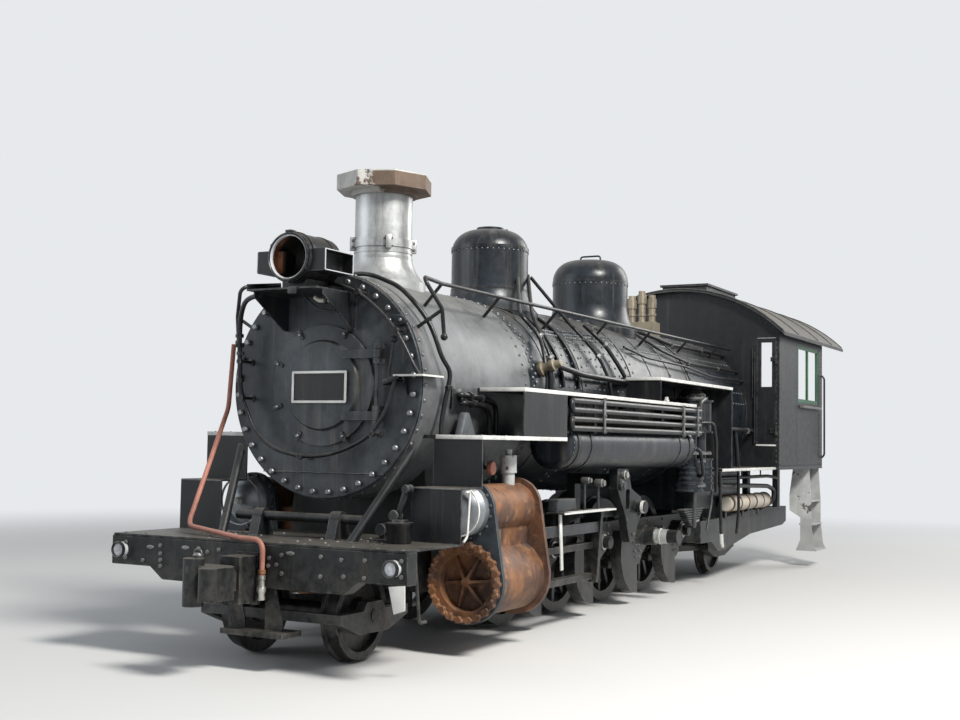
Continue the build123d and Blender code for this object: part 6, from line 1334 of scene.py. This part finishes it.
BUSHES = (
    # name, station, z, radius, finish
    ("link_bush", 3.56, 1.440, 0.045, "bright_steel"),
    ("guard_eye", 2.64, 1.40, 0.030, "bolt_grey"),
    ("link_pivot", 3.50, 1.33, 0.050, "truck_grey"),
    ("hanger_eye", 2.965, 1.367, 0.040, "bolt_grey"),
)
for name, station, z, radius, finish in BUSHES:
    drum = ((-0.05, 0), (-0.05, radius * 0.9), (-0.042, radius), (0.030, radius))
    nose = ((0.036, radius * 0.8), (0.055, radius * 0.75), (0.055, 0))
    turned(name, drum + nose, spot(1.22, station, z), (1, 0, 0), finish, steps=20)
print(len(BUSHES), "bushes on the left")

# %% [markdown]
# The guard plate has a pale edge and a coat of pale paint on top, which is a
# plate of its own, three millimetres thick. A pale ring marks the bush behind
# it, and bolts hold the brackets of the motion on both sides.

# %% Guard and motion bracket on both sides
BUSH_RING = ring(-0.016, 0.016, 0.058, 0.066)
GUARD_TOP = ((1.225, 2.12), (1.310, 2.12), (1.310, 3.168), (1.225, 3.168))
BRACKET_BOLTS = ((0.80, 1.05), (0.95, 1.05), (1.18, 1.05), (1.10, 0.90), (1.10, 0.76))
LINK_BOLTS = ((3.50, 1.38), (3.70, 1.42), (3.66, 0.98), (3.84, 0.82), (4.02, 1.02))
for side_name, side in SIDES:
    turned(
        f"bush_ring_{side_name}", BUSH_RING, spot(1.292 * side, 3.96, 1.10), (1, 0, 0),
        "edge_white", steps=32,
    )
    guard = (spot(1.312 * side, 1.95, 1.107), spot(1.312 * side, 3.17, 1.107))
    barred(f"guard_edge_{side_name}", *guard, 0.016, 0.005, "edge_white")
    guard_top = [spot(x * side, station, 1.1155) for x, station in GUARD_TOP]
    plated(f"guard_paint_{side_name}", guard_top, 0.003, "edge_white", edge=0.001)
    heads = [(spot(x * side, 2.985, z), (0, 1, 0), 0.014) for x, z in BRACKET_BOLTS]
    heads += [(spot(1.222 * side, station, z), (side, 0, 0), 0.015) for station, z in LINK_BOLTS]
    sown(f"motion_bolts_{side_name}", bolt_pattern, heads, "bolt_grey")

# %% [markdown]
# The running boards are thin plate. Wear and old paint make their edges pale,
# which draws the long stepped line along the machine. Each edge strip is a
# thin bar of its own, laid on the board's edge.

# %% Edges and bolts of the running boards
BOARDS = (
    # name, top height, first and last station
    ("low", 1.802, 0.20, 1.79),
    ("high", 2.215, 0.93, 5.30),
    ("top", 2.470, 4.15, 6.64),
    ("cab", 1.475, 6.25, 8.57),
)
BOARD_REACH, BOARD_THICK = 1.402, 0.030
STRIP_THICK, STRIP_WIDTH = 0.006, BOARD_THICK + 0.004
BOLT_ROW_X, BOLT_PITCH = 1.36, 0.19
for side_name, side in SIDES:
    heads = []
    for name, top, first, last in BOARDS:
        middle = top - BOARD_THICK / 2
        strip = [spot(BOARD_REACH * side, station, middle) for station in (first, last)]
        barred(f"edge_{name}_{side_name}", *strip, STRIP_WIDTH, STRIP_THICK, "edge_white")
        count = max(3, int((last - first) / BOLT_PITCH))
        for z, way, size in ((top, 1, 0.010), (top - BOARD_THICK, -1, 0.009)):
            row = [spot(BOLT_ROW_X * side, station, z) for station in (first + 0.06, last - 0.06)]
            heads += [(place, (0, 0, way), size) for place in along(*row, count)]
    sown(f"board_bolts_{side_name}", rivet_pattern, heads, "bolt_grey")
    for name, top, first, last in BOARDS[:3]:
        front = [spot(x * side, first - 0.002, top - BOARD_THICK / 2) for x in (0.97, 1.40)]
        label = f"front_edge_{name}_{side_name}"
        barred(label, *front, STRIP_WIDTH, STRIP_THICK, "edge_white", across=(0, 1, 0))
NUT = ((0, 0), (0, 0.032), (0.030, 0.032), (0.034, 0.022), (0.060, 0.022), (0.064, 0))
turned("board_nut", NUT, spot(1.30, 4.60, 2.215), UPWARDS, "edge_white", steps=6)

# %% [markdown]
# The long tanks hang in steel bands, and a row of small rivets goes round
# each near its ends. The coil above them is one pipe going to and fro, held
# by flat clamps with bolts. On the left it ends in an outlet at the air pump.

# %% Tanks and coil
TANK_X, TANK_Z, TANK_RADIUS = 1.14, 1.735, 0.230
TANK_BAND = ring(-0.03, 0.03, TANK_RADIUS - 0.004, TANK_RADIUS + 0.009)
for side_name, side in SIDES:
    for station in (2.15, 5.20):
        name = f"tank_band_{side_name}_{int(station * 100)}"
        centre = spot(TANK_X * side, station, TANK_Z)
        turned(name, TANK_BAND, centre, (0, 1, 0), "board_black", steps=40)
    seams = []
    for station in (2.02, 5.36):
        for turn in turns(30):
            outward = Vector((math.sin(turn), 0, math.cos(turn)))
            seams.append((spot(TANK_X * side, station, TANK_Z) + outward * TANK_RADIUS, outward, 0.007))
    sown(f"tank_rivets_{side_name}", rivet_pattern, seams, "rivet_blue")
COIL_X, COIL_LOW, COIL_HIGH = 1.392, 1.890, 2.142
for side_name, side in SIDES:
    heads = []
    for station in (2.60, 4.83, 5.30):
        x = (COIL_X + 0.031) * side
        clamp = [spot(x, station, z) for z in (COIL_LOW - 0.04, COIL_HIGH + 0.05)]
        barred(f"coil_clamp_{side_name}_{int(station * 100)}", *clamp, 0.045, 0.009, "edge_grey")
        for z in (COIL_LOW - 0.03, (COIL_LOW + COIL_HIGH) / 2, COIL_HIGH + 0.038):
            heads.append((spot(x + 0.005 * side, station, z), (side, 0, 0), 0.012))
    sown(f"coil_clamp_bolts_{side_name}", bolt_pattern, heads, "bolt_grey")
COIL_OUTLET = ((COIL_X, 5.40, COIL_HIGH), (1.38, 5.50, 2.25), (1.36, 5.74, 2.30), (1.28, 5.80, 2.30))
piped("coil_outlet", [spot(*point) for point in COIL_OUTLET], 0.024, "pipe_black", bend=0.06)

# %% [markdown]
# The air pump is made of upright cylinders, and flanges with bolts join them.
# It stands on the left only, has a stepped cap, and two pipes leave it.

# %% Pump fittings
PUMP_X = 1.20
PUMP_CYLINDERS = (
    # station, radius, heights of the flanges
    (5.70, 0.150, (1.285, 1.57, 1.66, 2.30)),
    (6.00, 0.120, (1.285, 1.57, 1.66)),
)
PUMP_TOP = ((0, 0), (0, 0.16), (0.05, 0.16), (0.07, 0.13), (0.10, 0.11), (0.115, 0.06), (0.115, 0))
PUMP_PIPES = (
    ((1.28, 5.85, 2.02), (1.40, 5.92, 2.02), (1.40, 6.02, 1.80), (1.40, 6.02, 1.20)),
    ((1.30, 5.60, 1.40), (1.40, 5.56, 1.40), (1.40, 5.45, 1.70), (1.30, 5.38, 1.735)),
)
pump_bolts = []
for station, radius, heights in PUMP_CYLINDERS:
    flange = ring(-0.014, 0.014, radius * 0.7, radius + 0.022)
    bolt_circle = radius + 0.004
    for z in heights:
        name = f"pump_flange_{int(station * 100)}_{int(z * 1000)}"
        turned(name, flange, spot(PUMP_X, station, z), UPWARDS, "edge_grey", steps=32)
        for turn in turns(10):
            x, behind = bolt_circle * math.sin(turn), bolt_circle * math.cos(turn)
            pump_bolts.append((spot(PUMP_X + x, station + behind, z + 0.013), UPWARDS, 0.011))
sown("pump_bolts", bolt_pattern, pump_bolts, "bolt_grey")
turned("pump_top", PUMP_TOP, spot(PUMP_X, 5.72, 2.30), UPWARDS, "pipe_black", steps=32)
for number, points in enumerate(PUMP_PIPES, 1):
    piped(f"pump_pipe_{number}", [spot(*point) for point in points], 0.020, "pipe_black", bend=0.06)

# %% [markdown]
# Pipes leave the domes and the boiler's top and run down over its left
# shoulder to the boards, or back along it to the cab. They stand a little off
# the cladding, so each point lies at the pipe's own height. Couplings join
# them, and a tan check valve feeds the boiler from the side.

# %% Pipes over the boiler
OVER_BOILER = (
    # name, radius, points as X, station and Z
    (
        "sand_line_1", 0.019,
        (
            (0.36, 3.04, 3.47), (0.63, 2.60, 3.02), (0.82, 2.42, 2.79), (0.945, 2.395, 2.57),
            (1.005, 2.34, 2.27), (0.99, 2.30, 2.215),
        ),
    ),
    (
        "sand_line_2", 0.019,
        (
            (0.35, 2.82, 3.45), (0.59, 2.40, 3.06), (0.70, 2.22, 2.97), (0.83, 2.37, 2.78),
            (0.93, 2.26, 2.61), (1.00, 2.21, 2.34), (0.99, 2.20, 2.215),
        ),
    ),
    (
        "sand_line_3", 0.019,
        (
            (0.33, 3.16, 3.47), (0.62, 3.47, 3.02), (0.78, 3.545, 2.84), (0.905, 3.63, 2.665),
            (0.985, 3.73, 2.43), (1.00, 3.78, 2.215),
        ),
    ),
    (
        "blower_line", 0.024,
        (
            (0.60, 3.93, 3.03), (0.71, 3.945, 2.93), (0.82, 4.01, 2.81), (0.935, 4.10, 2.60),
            (1.00, 4.14, 2.47),
        ),
    ),
    (
        "feed_line", 0.030,
        (
            (0.93, 2.30, 2.56), (0.99, 2.42, 2.50), (1.00, 3.00, 2.44), (1.00, 4.05, 2.42),
            (1.02, 4.60, 2.40),
        ),
    ),
    (
        "turret_line_1", 0.022,
        (
            (0.16, 5.90, 3.19), (0.42, 6.05, 3.13), (0.62, 6.60, 3.01), (0.66, 7.60, 3.00),
            (0.66, 8.57, 3.00),
        ),
    ),
    (
        "turret_line_2", 0.017,
        (
            (0.46, 5.62, 3.12), (0.74, 5.80, 2.90), (0.84, 6.60, 2.78), (0.86, 7.70, 2.77),
            (0.86, 8.57, 2.77),
        ),
    ),
    (
        "turret_line_3", 0.014,
        (
            (0.78, 4.62, 2.84), (0.86, 5.10, 2.75), (0.90, 6.30, 2.72), (0.94, 7.20, 2.64),
            (0.94, 8.57, 2.64),
        ),
    ),
    (
        "injector_line", 0.028,
        ((1.00, 6.70, 2.30), (1.06, 6.90, 2.10), (1.08, 7.40, 1.98), (1.08, 8.57, 1.96)),
    ),
    ("injector_drop", 0.028, ((1.05, 7.86, 1.96), (1.06, 7.92, 1.70), (1.06, 7.95, 1.48))),
)
for name, radius, points in OVER_BOILER:
    piped(name, [spot(*point) for point in points], radius, "pipe_black", bend=0.10)
LEVEL_RUN, FALLING_RUN = (0, 1, 0), (0.6, 0.2, -0.8)
BOILER_COUPLINGS = (
    # x, station, z, direction, size
    (0.82, 2.42, 2.79, FALLING_RUN, 0.030),
    (0.945, 2.395, 2.57, FALLING_RUN, 0.034),
    (0.83, 2.37, 2.78, FALLING_RUN, 0.030),
    (0.78, 3.545, 2.84, FALLING_RUN, 0.030),
    (0.905, 3.63, 2.665, FALLING_RUN, 0.034),
    (0.82, 4.01, 2.81, FALLING_RUN, 0.036),
    (0.62, 6.60, 3.01, LEVEL_RUN, 0.034),
    (0.66, 7.60, 3.00, LEVEL_RUN, 0.034),
    (0.84, 6.60, 2.78, LEVEL_RUN, 0.028),
    (0.86, 7.70, 2.77, LEVEL_RUN, 0.028),
    (1.08, 7.40, 1.98, LEVEL_RUN, 0.044),
    (1.08, 8.30, 1.96, LEVEL_RUN, 0.044),
)
sown("boiler_couplings", bolt_pattern, coupled(BOILER_COUPLINGS), "bolt_grey")
CHECK_VALVE = (
    (0, 0), (0, 0.060), (0.02, 0.075), (0.05, 0.075), (0.06, 0.050), (0.11, 0.046), (0.13, 0.060),
    (0.17, 0.060), (0.18, 0.040), (0.24, 0.034), (0.25, 0),
)
turned("check_valve", CHECK_VALVE, spot(0.90, 2.22, 2.44), (1, 0, 0.30), "valve_tan", steps=24)
CHECK_FEED = ((1.00, 2.22, 2.47), (1.03, 2.22, 2.40), (1.03, 2.22, 2.215))
piped("check_feed", [spot(*point) for point in CHECK_FEED], 0.030, "pipe_black", bend=0.05)

# %% [markdown]
# The domes are pressed from plate. A seam runs round each where the cap
# meets the drum and another round its foot, with rivets below the upper one.
# The steam dome has a bail on top, bent from rod, and the three safety valves
# behind it have turned rings.

# %% Domes and valves
STEAM_DOME_STATION, STEAM_DOME_TOP = 5.446, 3.945
DOMES = (
    # name, station, radius, height of the upper seam
    ("sand_dome", 2.876, 0.395, 3.730),
    ("steam_dome", STEAM_DOME_STATION, 0.450, 3.676),
)
FOOT_SEAM_Z = 3.30
for name, station, radius, seam in DOMES:
    band = ring(-0.012, 0.012, radius - 0.006, radius + 0.007)
    for label, height in (("seam", seam), ("foot_seam", FOOT_SEAM_Z)):
        turned(f"{name}_{label}", band, spot(0, station, height), UPWARDS, "pipe_black", steps=64)
    heads = []
    for turn in turns(44):
        outward = Vector((math.sin(turn), math.cos(turn), 0))
        heads.append((spot(0, station, seam - 0.034) + outward * radius, outward, 0.009))
    sown(f"{name}_rivets", rivet_pattern, heads, "rivet_blue")
BAIL_LOW, BAIL_HIGH = STEAM_DOME_TOP - 0.01, STEAM_DOME_TOP + 0.067
BAIL = ((-0.13, BAIL_LOW), (-0.13, BAIL_HIGH), (0.13, BAIL_HIGH), (0.13, BAIL_LOW))
bail = [spot(x, STEAM_DOME_STATION, z) for x, z in BAIL]
piped("steam_dome_bail", bail, 0.011, "pipe_black", bend=0.04)
VALVE_RINGS = ((0.00, 0.062), (0.10, 0.058), (0.20, 0.050))
VALVE_STATION, VALVE_FOOT_Z = 7.15, 3.36
for x in (-0.14, 0.0, 0.14):
    for lift, radius in VALVE_RINGS:
        name = f"valve_ring_{int((x + 1) * 100)}_{int(lift * 100)}"
        centre = spot(x, VALVE_STATION, VALVE_FOOT_Z + lift)
        turned(name, ring(-0.014, 0.014, radius * 0.6, radius), centre, UPWARDS, "valve_tan", steps=24)

# %% [markdown]
# The cab is riveted from flat sheets. Rows of rivets follow each edge,
# an arm rest runs under the window, and a pale sill lies at the foot of each
# front door. The rivets of the front follow the roof's curve.

# %% Cab fittings
CAB_START, CAB_END, CAB_HALF, FLOOR_Z = 8.570, 10.930, 1.449, 1.465
ROOF_RADIUS, ROOF_RIDGE = 2.197, 3.950


def roof_height(x):
    """Top of the curved roof at a distance from the middle."""
    return ROOF_RIDGE - ROOF_RADIUS + math.sqrt(ROOF_RADIUS ** 2 - x ** 2)


CAB_ROWS = [
    # first and last station, first and last height, how many, size
    (station, station, FLOOR_Z + 0.05, 3.27, 30, 0.010)
    for station in (CAB_START + 0.035, 9.46, 10.75, CAB_END - 0.035)
]
CAB_ROWS += [(CAB_START + 0.08, CAB_END - 0.08, z, z, 34, 0.010) for z in (FLOOR_Z + 0.035, 3.29)]
CAB_ROWS.append((9.52, 10.70, 2.355, 2.355, 18, 0.009))
SILL = ((1.124, 1.760), (1.400, 1.760), (1.400, 1.782), (1.124, 1.782))
ARM_REST_X, ARM_REST_Z = 1.482, 2.33
for side_name, side in SIDES:
    heads = []
    for first, last, low, high, count, size in CAB_ROWS:
        for place in along(spot(CAB_HALF * side, first, low), spot(CAB_HALF * side, last, high), count):
            heads.append((place, (side, 0, 0), size))
    sown(f"cab_rivets_{side_name}", rivet_pattern, heads, "cab_rivet")
    rest = [spot(ARM_REST_X * side, station, ARM_REST_Z) for station in (9.62, 10.66)]
    barred(f"arm_rest_{side_name}", *rest, 0.035, 0.062, "edge_grey")
    sill = [spot(x * side, CAB_START - 0.007, z) for x, z in SILL]
    plated(f"cab_sill_{side_name}", sill, 0.012, "edge_white")
heads = []
for x in (-1.405, 1.405):
    for place in along(spot(x, CAB_START, 1.55), spot(x, CAB_START, 3.25), 24):
        heads.append((place, AHEAD, 0.010))
for number in range(29):
    x = -1.36 + 2.72 / 28 * number
    heads.append((spot(x, CAB_START, roof_height(x) - 0.10), AHEAD, 0.010))
sown("cab_front_rivets", rivet_pattern, heads, "cab_rivet")

# %% [markdown]
# The roof is curved, so each batten is a thin pipe through points that follow
# the roof's own circle. Gutters run along the eaves, grab rods stand at the
# rear corners, and two rods stand in front on the left.

# %% Roof battens, gutters and rods of the cab
BATTEN_HALF, BATTEN_STEPS = 1.53, 24
for number, station in enumerate((8.452, 9.25, 10.35, 11.20, 11.845)):
    batten = []
    for step in range(BATTEN_STEPS + 1):
        x = -BATTEN_HALF + 2 * BATTEN_HALF / BATTEN_STEPS * step
        batten.append(spot(x, station, roof_height(x) + 0.004))
    piped(f"roof_batten_{number}", batten, 0.011, "roof_paint", bend=0.02)
GUTTER_X = 1.536
for side_name, side in SIDES:
    gutter = [spot(GUTTER_X * side, station, roof_height(GUTTER_X) - 0.008) for station in (8.47, 11.84)]
    piped(f"roof_edge_{side_name}", gutter, 0.012, "roof_paint")
GRAB_STATION = 10.86
GRAB_ROD = ((1.46, 1.60), (1.50, 1.64), (1.50, 2.80), (1.46, 2.84))
CAB_RODS = (
    # name, radius, points as X, station and Z
    ("cab_rod_1", 0.012, [(1.08, 8.545, 2.42), (1.08, 8.545, 3.10)]),
    ("cab_rod_2", 0.014, [(1.11, 8.545, 1.80), (1.11, 8.545, 3.05)]),
    ("rear_grab_rod", 0.015, [(x, GRAB_STATION, z) for x, z in GRAB_ROD]),
    ("rear_grab_rod_right", 0.015, [(-x, GRAB_STATION, z) for x, z in GRAB_ROD]),
)
for name, radius, points in CAB_RODS:
    piped(name, [spot(*point) for point in points], radius, "pipe_black", bend=0.04)
vent_heads = []
for side in (1, -1):
    for place in along(spot(0.31 * side, 8.86, 4.06), spot(0.31 * side, 10.09, 4.06), 12):
        vent_heads.append((place, UPWARDS, 0.009))
sown("vent_rivets", rivet_pattern, vent_heads, "cab_rivet")

# %% [markdown]
# Low down on the left, between wheels and boards, sit a leaf spring with its
# buckle and several pipes. They are seen as light lines in deep shade, so
# what counts is that each one starts and ends at something.

# %% Spring and pipes under the boards
SPRING_X, SPRING_STATION, SPRING_TOP = 1.20, 5.69, 1.01
SPRING_REACH, LEAF_SHORTER, LEAF_PITCH = 0.34, 0.035, 0.026
for leaf in range(8):
    half, z = SPRING_REACH - LEAF_SHORTER * leaf, SPRING_TOP - LEAF_PITCH * leaf
    ends = [spot(SPRING_X, SPRING_STATION + reach, z) for reach in (-half, half)]
    barred(f"spring_leaf_0_{leaf}", *ends, 0.018, 0.09, "truck_grey")
buckle = [spot(SPRING_X, SPRING_STATION, SPRING_TOP + lift) for lift in (0.205, -0.215)]
barred("spring_buckle_0", *buckle, 0.10, 0.11, "frame_black")
PIPES_BELOW = (
    # name, radius, finish, points as X, station and Z
    ("white_tip_pipe", 0.020, "pipe_black", ((1.20, 6.76, 1.44), (1.20, 6.78, 1.27), (1.20, 6.84, 0.62))),
    ("white_tip", 0.027, "edge_white", ((1.20, 6.836, 0.66), (1.20, 6.85, 0.55), (1.20, 6.88, 0.50))),
    (
        "delivery_pipe", 0.030, "pipe_black",
        (
            (1.12, 6.98, 1.445), (1.12, 7.00, 1.25), (1.12, 8.40, 1.222), (1.12, 9.17, 1.20),
            (1.13, 9.44, 1.14), (1.13, 9.40, 0.98), (0.93, 9.36, 0.86),
        ),
    ),
    ("slanting_rod", 0.016, "truck_grey", ((1.16, 6.60, 1.445), (1.16, 6.583, 1.06), (1.16, 6.40, 0.72))),
    ("overflow_pipe", 0.020, "pipe_black", ((1.18, 7.60, 1.44), (1.18, 7.62, 0.90), (1.14, 7.66, 0.62))),
    ("train_pipe", 0.024, "pipe_black", ((0.99, 6.40, 1.33), (0.99, 9.60, 1.33), (0.99, 10.10, 1.30))),
)
for name, radius, finish, points in PIPES_BELOW:
    piped(name, [spot(*point) for point in points], radius, finish, bend=0.08)
print(len(PIPES_BELOW), "pipes and rods below")

# %% [markdown]
# A long pipe is wrapped in pale lagging, which is uneven, so its outline
# swells and narrows a little. Rusty straps hold the lagging, saddles carry it
# from below, and thin straps hang the train pipe from the boards.

# %% Lagged pipe, its straps and the straps of the train pipe
LAGGING_X, LAGGING_Z, LAGGING_START = 1.02, 1.00, 7.55
LAGGING = (
    (0, 0), (0, 0.085), (0.02, 0.10), (0.85, 0.105), (0.88, 0.098), (1.50, 0.108), (1.79, 0.100),
    (1.81, 0.08), (1.81, 0),
)
lagging_start = spot(LAGGING_X, LAGGING_START, LAGGING_Z)
turned("lagged_pipe", LAGGING, lagging_start, (0, 1, 0), "lagging_white", steps=28)
LAGGING_STRAP = ring(-0.014, 0.014, 0.09, 0.113)
for number, station in enumerate((7.62, 7.96, 8.30, 8.64, 8.98, 9.30)):
    centre = spot(LAGGING_X, station, LAGGING_Z)
    turned(f"lagging_strap_{number}", LAGGING_STRAP, centre, (0, 1, 0), "rusty_head", steps=28)
for number, station in enumerate((7.75, 8.50, 9.20)):
    saddle = [spot(0.945, station, z) for z in (0.80, 0.935)]
    barred(f"lagging_saddle_{number}", *saddle, 0.08, 0.05, "frame_black")
UNDER_BOARD_Z, UNDER_CAB_Z = 1.447, 1.458
for number, station in enumerate((6.55, 7.45, 8.35, 9.25)):
    top = UNDER_BOARD_Z if station < CAB_START else UNDER_CAB_Z
    strap = [spot(0.99, station, z) for z in (1.31, top)]
    barred(f"train_pipe_strap_{number}", *strap, 0.04, 0.012, "frame_black")
print("lagging from station", LAGGING_START, "at Z", LAGGING_Z)

# %% [markdown]
# Outside frames are cut from thick plate and bolted to every box and stay.
# A column of heads on either side of each axle marks its guides.

# %% Bolts of the frames
FRAME_X = 0.715
AXLE_STATIONS = (2.200, 3.405, 4.610, 5.815)
for side_name, side in SIDES:
    heads = []
    for axle in AXLE_STATIONS:
        for reach in (-0.24, 0.24):
            for z in (0.55, 0.66, 0.77, 0.86):
                heads.append((spot((FRAME_X + 0.001) * side, axle + reach, z), (side, 0, 0), 0.015))
    sown(f"frame_bolts_{side_name}", bolt_pattern, heads, "bolt_grey")

# %% [markdown]
# The crank pins are left bare, since the rods are off. They turn with their
# wheels, so their collars, the hub's bolts and the main pin's sleeve ride on
# the driving axles. A left pin stands 30 degrees above rearwards, and a right
# one a quarter turn further on.

# %% Collars of the crank pins
AXLE_Z, CRANK_THROW, CRANK_FACE = 0.584, 0.305, 0.965
CRANK_TURNS = (30, 120)
HUB_BOLT_CIRCLE = 0.075
SLEEVE_STEPS = ((0.020, 3), (0.165, 3), (0.170, 12), (0.186, 12), (0.190, 3), (0.268, 3))
MAIN_AXLE, PIN_RADIUS, MAIN_PIN_RADIUS = 3, 0.065, 0.078
for number, station in enumerate(AXLE_STATIONS, 1):
    for (side_name, side), angle in zip(SIDES, CRANK_TURNS):
        turn = math.radians(angle)
        y, z = at(station) + CRANK_THROW * math.cos(turn), AXLE_Z + CRANK_THROW * math.sin(turn)
        radius = MAIN_PIN_RADIUS if number == MAIN_AXLE else PIN_RADIUS
        body = f"driver_axle_{number}"
        pin_foot = Vector((CRANK_FACE * side, y, z))
        inner, rim = radius * 0.9, radius + 0.018
        collar = ((0, inner), (0, rim), (0.016, rim), (0.020, radius + 0.004), (0.020, inner), (0, inner))
        turned(f"pin_collar_{number}_{side_name}", collar, pin_foot, (side, 0, 0), "bright_steel", body)
        hub = Vector(((CRANK_FACE + 0.001) * side, at(station), AXLE_Z))
        nuts = []
        for spin in turns(6):
            outward = Vector((0, math.cos(spin), math.sin(spin)))
            nuts.append((hub + outward * HUB_BOLT_CIRCLE, (side, 0, 0), 0.014))
        sown(f"hub_bolts_{number}_{side_name}", bolt_pattern, nuts, "bolt_grey", body)
        if number == MAIN_AXLE:
            sleeve = [(SLEEVE_STEPS[0][0], inner)]
            sleeve += [(distance, radius + millimetres / 1000) for distance, millimetres in SLEEVE_STEPS]
            sleeve += [(SLEEVE_STEPS[-1][0], inner), (SLEEVE_STEPS[0][0], inner)]
            turned(f"pin_sleeve_{side_name}", sleeve, pin_foot, (side, 0, 0), "pin_silver", body)

# %% [markdown]
# A cock with a collar and a handle sits on the air pipe in front of the beam.
# The corner step, the step boxes and the boxes beside the headlight have
# pale, worn edges.

# %% Air cock and worn edges
cock_top = spot(0.150, -0.955, 0.700)
COCK = (
    (0.02, 0), (0.02, 0.030), (-0.012, 0.030), (-0.018, 0.024), (-0.055, 0.026), (-0.075, 0.036),
    (-0.100, 0.036), (-0.118, 0.026), (-0.150, 0.030), (-0.165, 0.030), (-0.170, 0.022), (-0.172, 0),
)
turned("air_cock", COCK, cock_top, UPWARDS, "bright_steel", steps=20)
handle = [cock_top + Vector(reach) for reach in ((0.02, -0.02, -0.085), (0.02, -0.035, 0.015))]
barred("air_cock_handle", *handle, 0.018, 0.010, "bright_steel")
collar_foot = cock_top + Vector((0, 0, 0.03))
turned("air_pipe_collar", ring(0, 0.03, 0.019, 0.029), collar_foot, UPWARDS, "rusty_head", steps=16)
EDGE_Z, CORNER_FRONT = 2.269, -0.105
corner_front = [spot(x, CORNER_FRONT - 0.001, EDGE_Z) for x in (0.742, 1.022)]
barred("corner_step_edge", *corner_front, 0.016, 0.005, "edge_white", across=(0, 1, 0))
corner_side = [spot(1.021, station, EDGE_Z) for station in (CORNER_FRONT, 0.218)]
barred("corner_step_side", *corner_side, 0.016, 0.005, "edge_white")
STEP_BOX_X, STEP_BOX_Z = 1.396, 1.384
LAMP_BOX_X = 0.336
LAMP_BOX_RIM = ((-0.495, 3.092), (-0.108, 3.092), (-0.108, 3.258), (-0.495, 3.258), (-0.495, 3.092))
for side_name, side in SIDES:
    front = [spot(x * side, -0.131, STEP_BOX_Z) for x in (0.96, STEP_BOX_X)]
    barred(f"step_box_edge_{side_name}", *front, 0.012, 0.004, "edge_grey", across=(0, 1, 0))
    flank = [spot(STEP_BOX_X * side, station, STEP_BOX_Z) for station in (-0.132, 0.198)]
    barred(f"step_box_side_{side_name}", *flank, 0.012, 0.004, "edge_grey")
for side_name, side in SIDES:
    rim = [spot(LAMP_BOX_X * side, *corner) for corner in LAMP_BOX_RIM]
    piped(f"lamp_box_rim_{side_name}", rim, 0.005, "lamp_pale", bend=0.004)
print("worn edges at Z", EDGE_Z, STEP_BOX_Z)

# %% [markdown]
# Dogs hold the smokebox door shut. They are short bars with a stud near the
# middle, set round the rim, and they ride on the door, so that they swing out
# with it. The lamps at the beam's ends have a rim and a rippled lens.

# %% Door dogs and beam lamps
DOOR_BODY = "smokebox_door_leaf"
DOG_TURNS = (-152, -112, -68, -28, 28, 152)
DOG_CIRCLE = 0.488
door_centre = Vector((0, at(-0.036), BOILER_Z))
dog_studs = []
for number, turn in enumerate(DOG_TURNS):
    outward = on_barrel(0, turn, DOG_CIRCLE)[1]
    middle = door_centre + outward * DOG_CIRCLE
    ends = (middle - outward * 0.050, middle + outward * 0.042)
    barred(f"door_dog_{number}", *ends, 0.034, 0.014, "smokebox_paint", DOOR_BODY, across=(0, 1, 0))
    dog_studs.append((middle + AHEAD * 0.006 - outward * 0.010, AHEAD, 0.014))
sown("door_dog_studs", stud_pattern, dog_studs, "stud_steel", DOOR_BODY)
END_LAMP_X, END_LAMP_Z = 1.300, 0.835
LAMP_RIM_PROFILE = (
    (0.012, 0.050), (0.012, 0.066), (-0.010, 0.066), (-0.014, 0.060), (-0.010, 0.052),
    (0.004, 0.050), (0.012, 0.050),
)
LENS_PROFILE = (
    (-0.010, 0), (-0.008, 0.016), (-0.004, 0.022), (-0.007, 0.030), (-0.002, 0.036),
    (-0.004, 0.044), (0.004, 0.052), (0.008, 0.052), (0.008, 0),
)
for side_name, side in SIDES:
    lamp = spot(END_LAMP_X * side, 0, END_LAMP_Z)
    lamp.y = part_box("beam_lamps")[0].y
    turned(f"beam_lamp_rim_{side_name}", LAMP_RIM_PROFILE, lamp, (0, 1, 0), "pipe_black", steps=32)
    turned(f"beam_lamp_lens_{side_name}", LENS_PROFILE, lamp, (0, 1, 0), "lamp_pale", steps=32)

# %% [markdown]
# The coupler's knuckle turns about a pin, which has a head and a ring on top
# to pull it by. Two rows of bolts hold the coupler's pocket to the beam.

# %% Coupler fittings
PIN_X, PIN_STATION, PIN_TOP = -0.125, -1.36, 0.864
RING_Z, RING_RADIUS = 0.895, 0.035
pin_ring = []
for step in range(13):
    turn = math.pi / 6 * step
    x, z = PIN_X + RING_RADIUS * math.cos(turn), RING_Z + RING_RADIUS * math.sin(turn)
    pin_ring.append(spot(x, PIN_STATION, z))
piped("coupler_pin_ring", pin_ring, 0.007, "bolt_grey", bend=0.01)
heads = [(spot(x, -0.918, z), AHEAD, 0.020) for x in (-0.155, 0.135) for z in (0.80, 0.73, 0.66)]
sown("coupler_bolts", bolt_pattern, heads, "bolt_grey")
PIN_HEAD = ((0, 0), (0, 0.034), (0.02, 0.040), (0.035, 0.030), (0.040, 0))
turned("knuckle_pin_head", PIN_HEAD, spot(PIN_X, PIN_STATION, PIN_TOP), UPWARDS, "bolt_grey", steps=20)

# %% [markdown]
# The patterns were only there to be copied, so they go.

# %% Clear the patterns away
for pattern in PATTERNS:
    bpy.data.objects.remove(pattern)
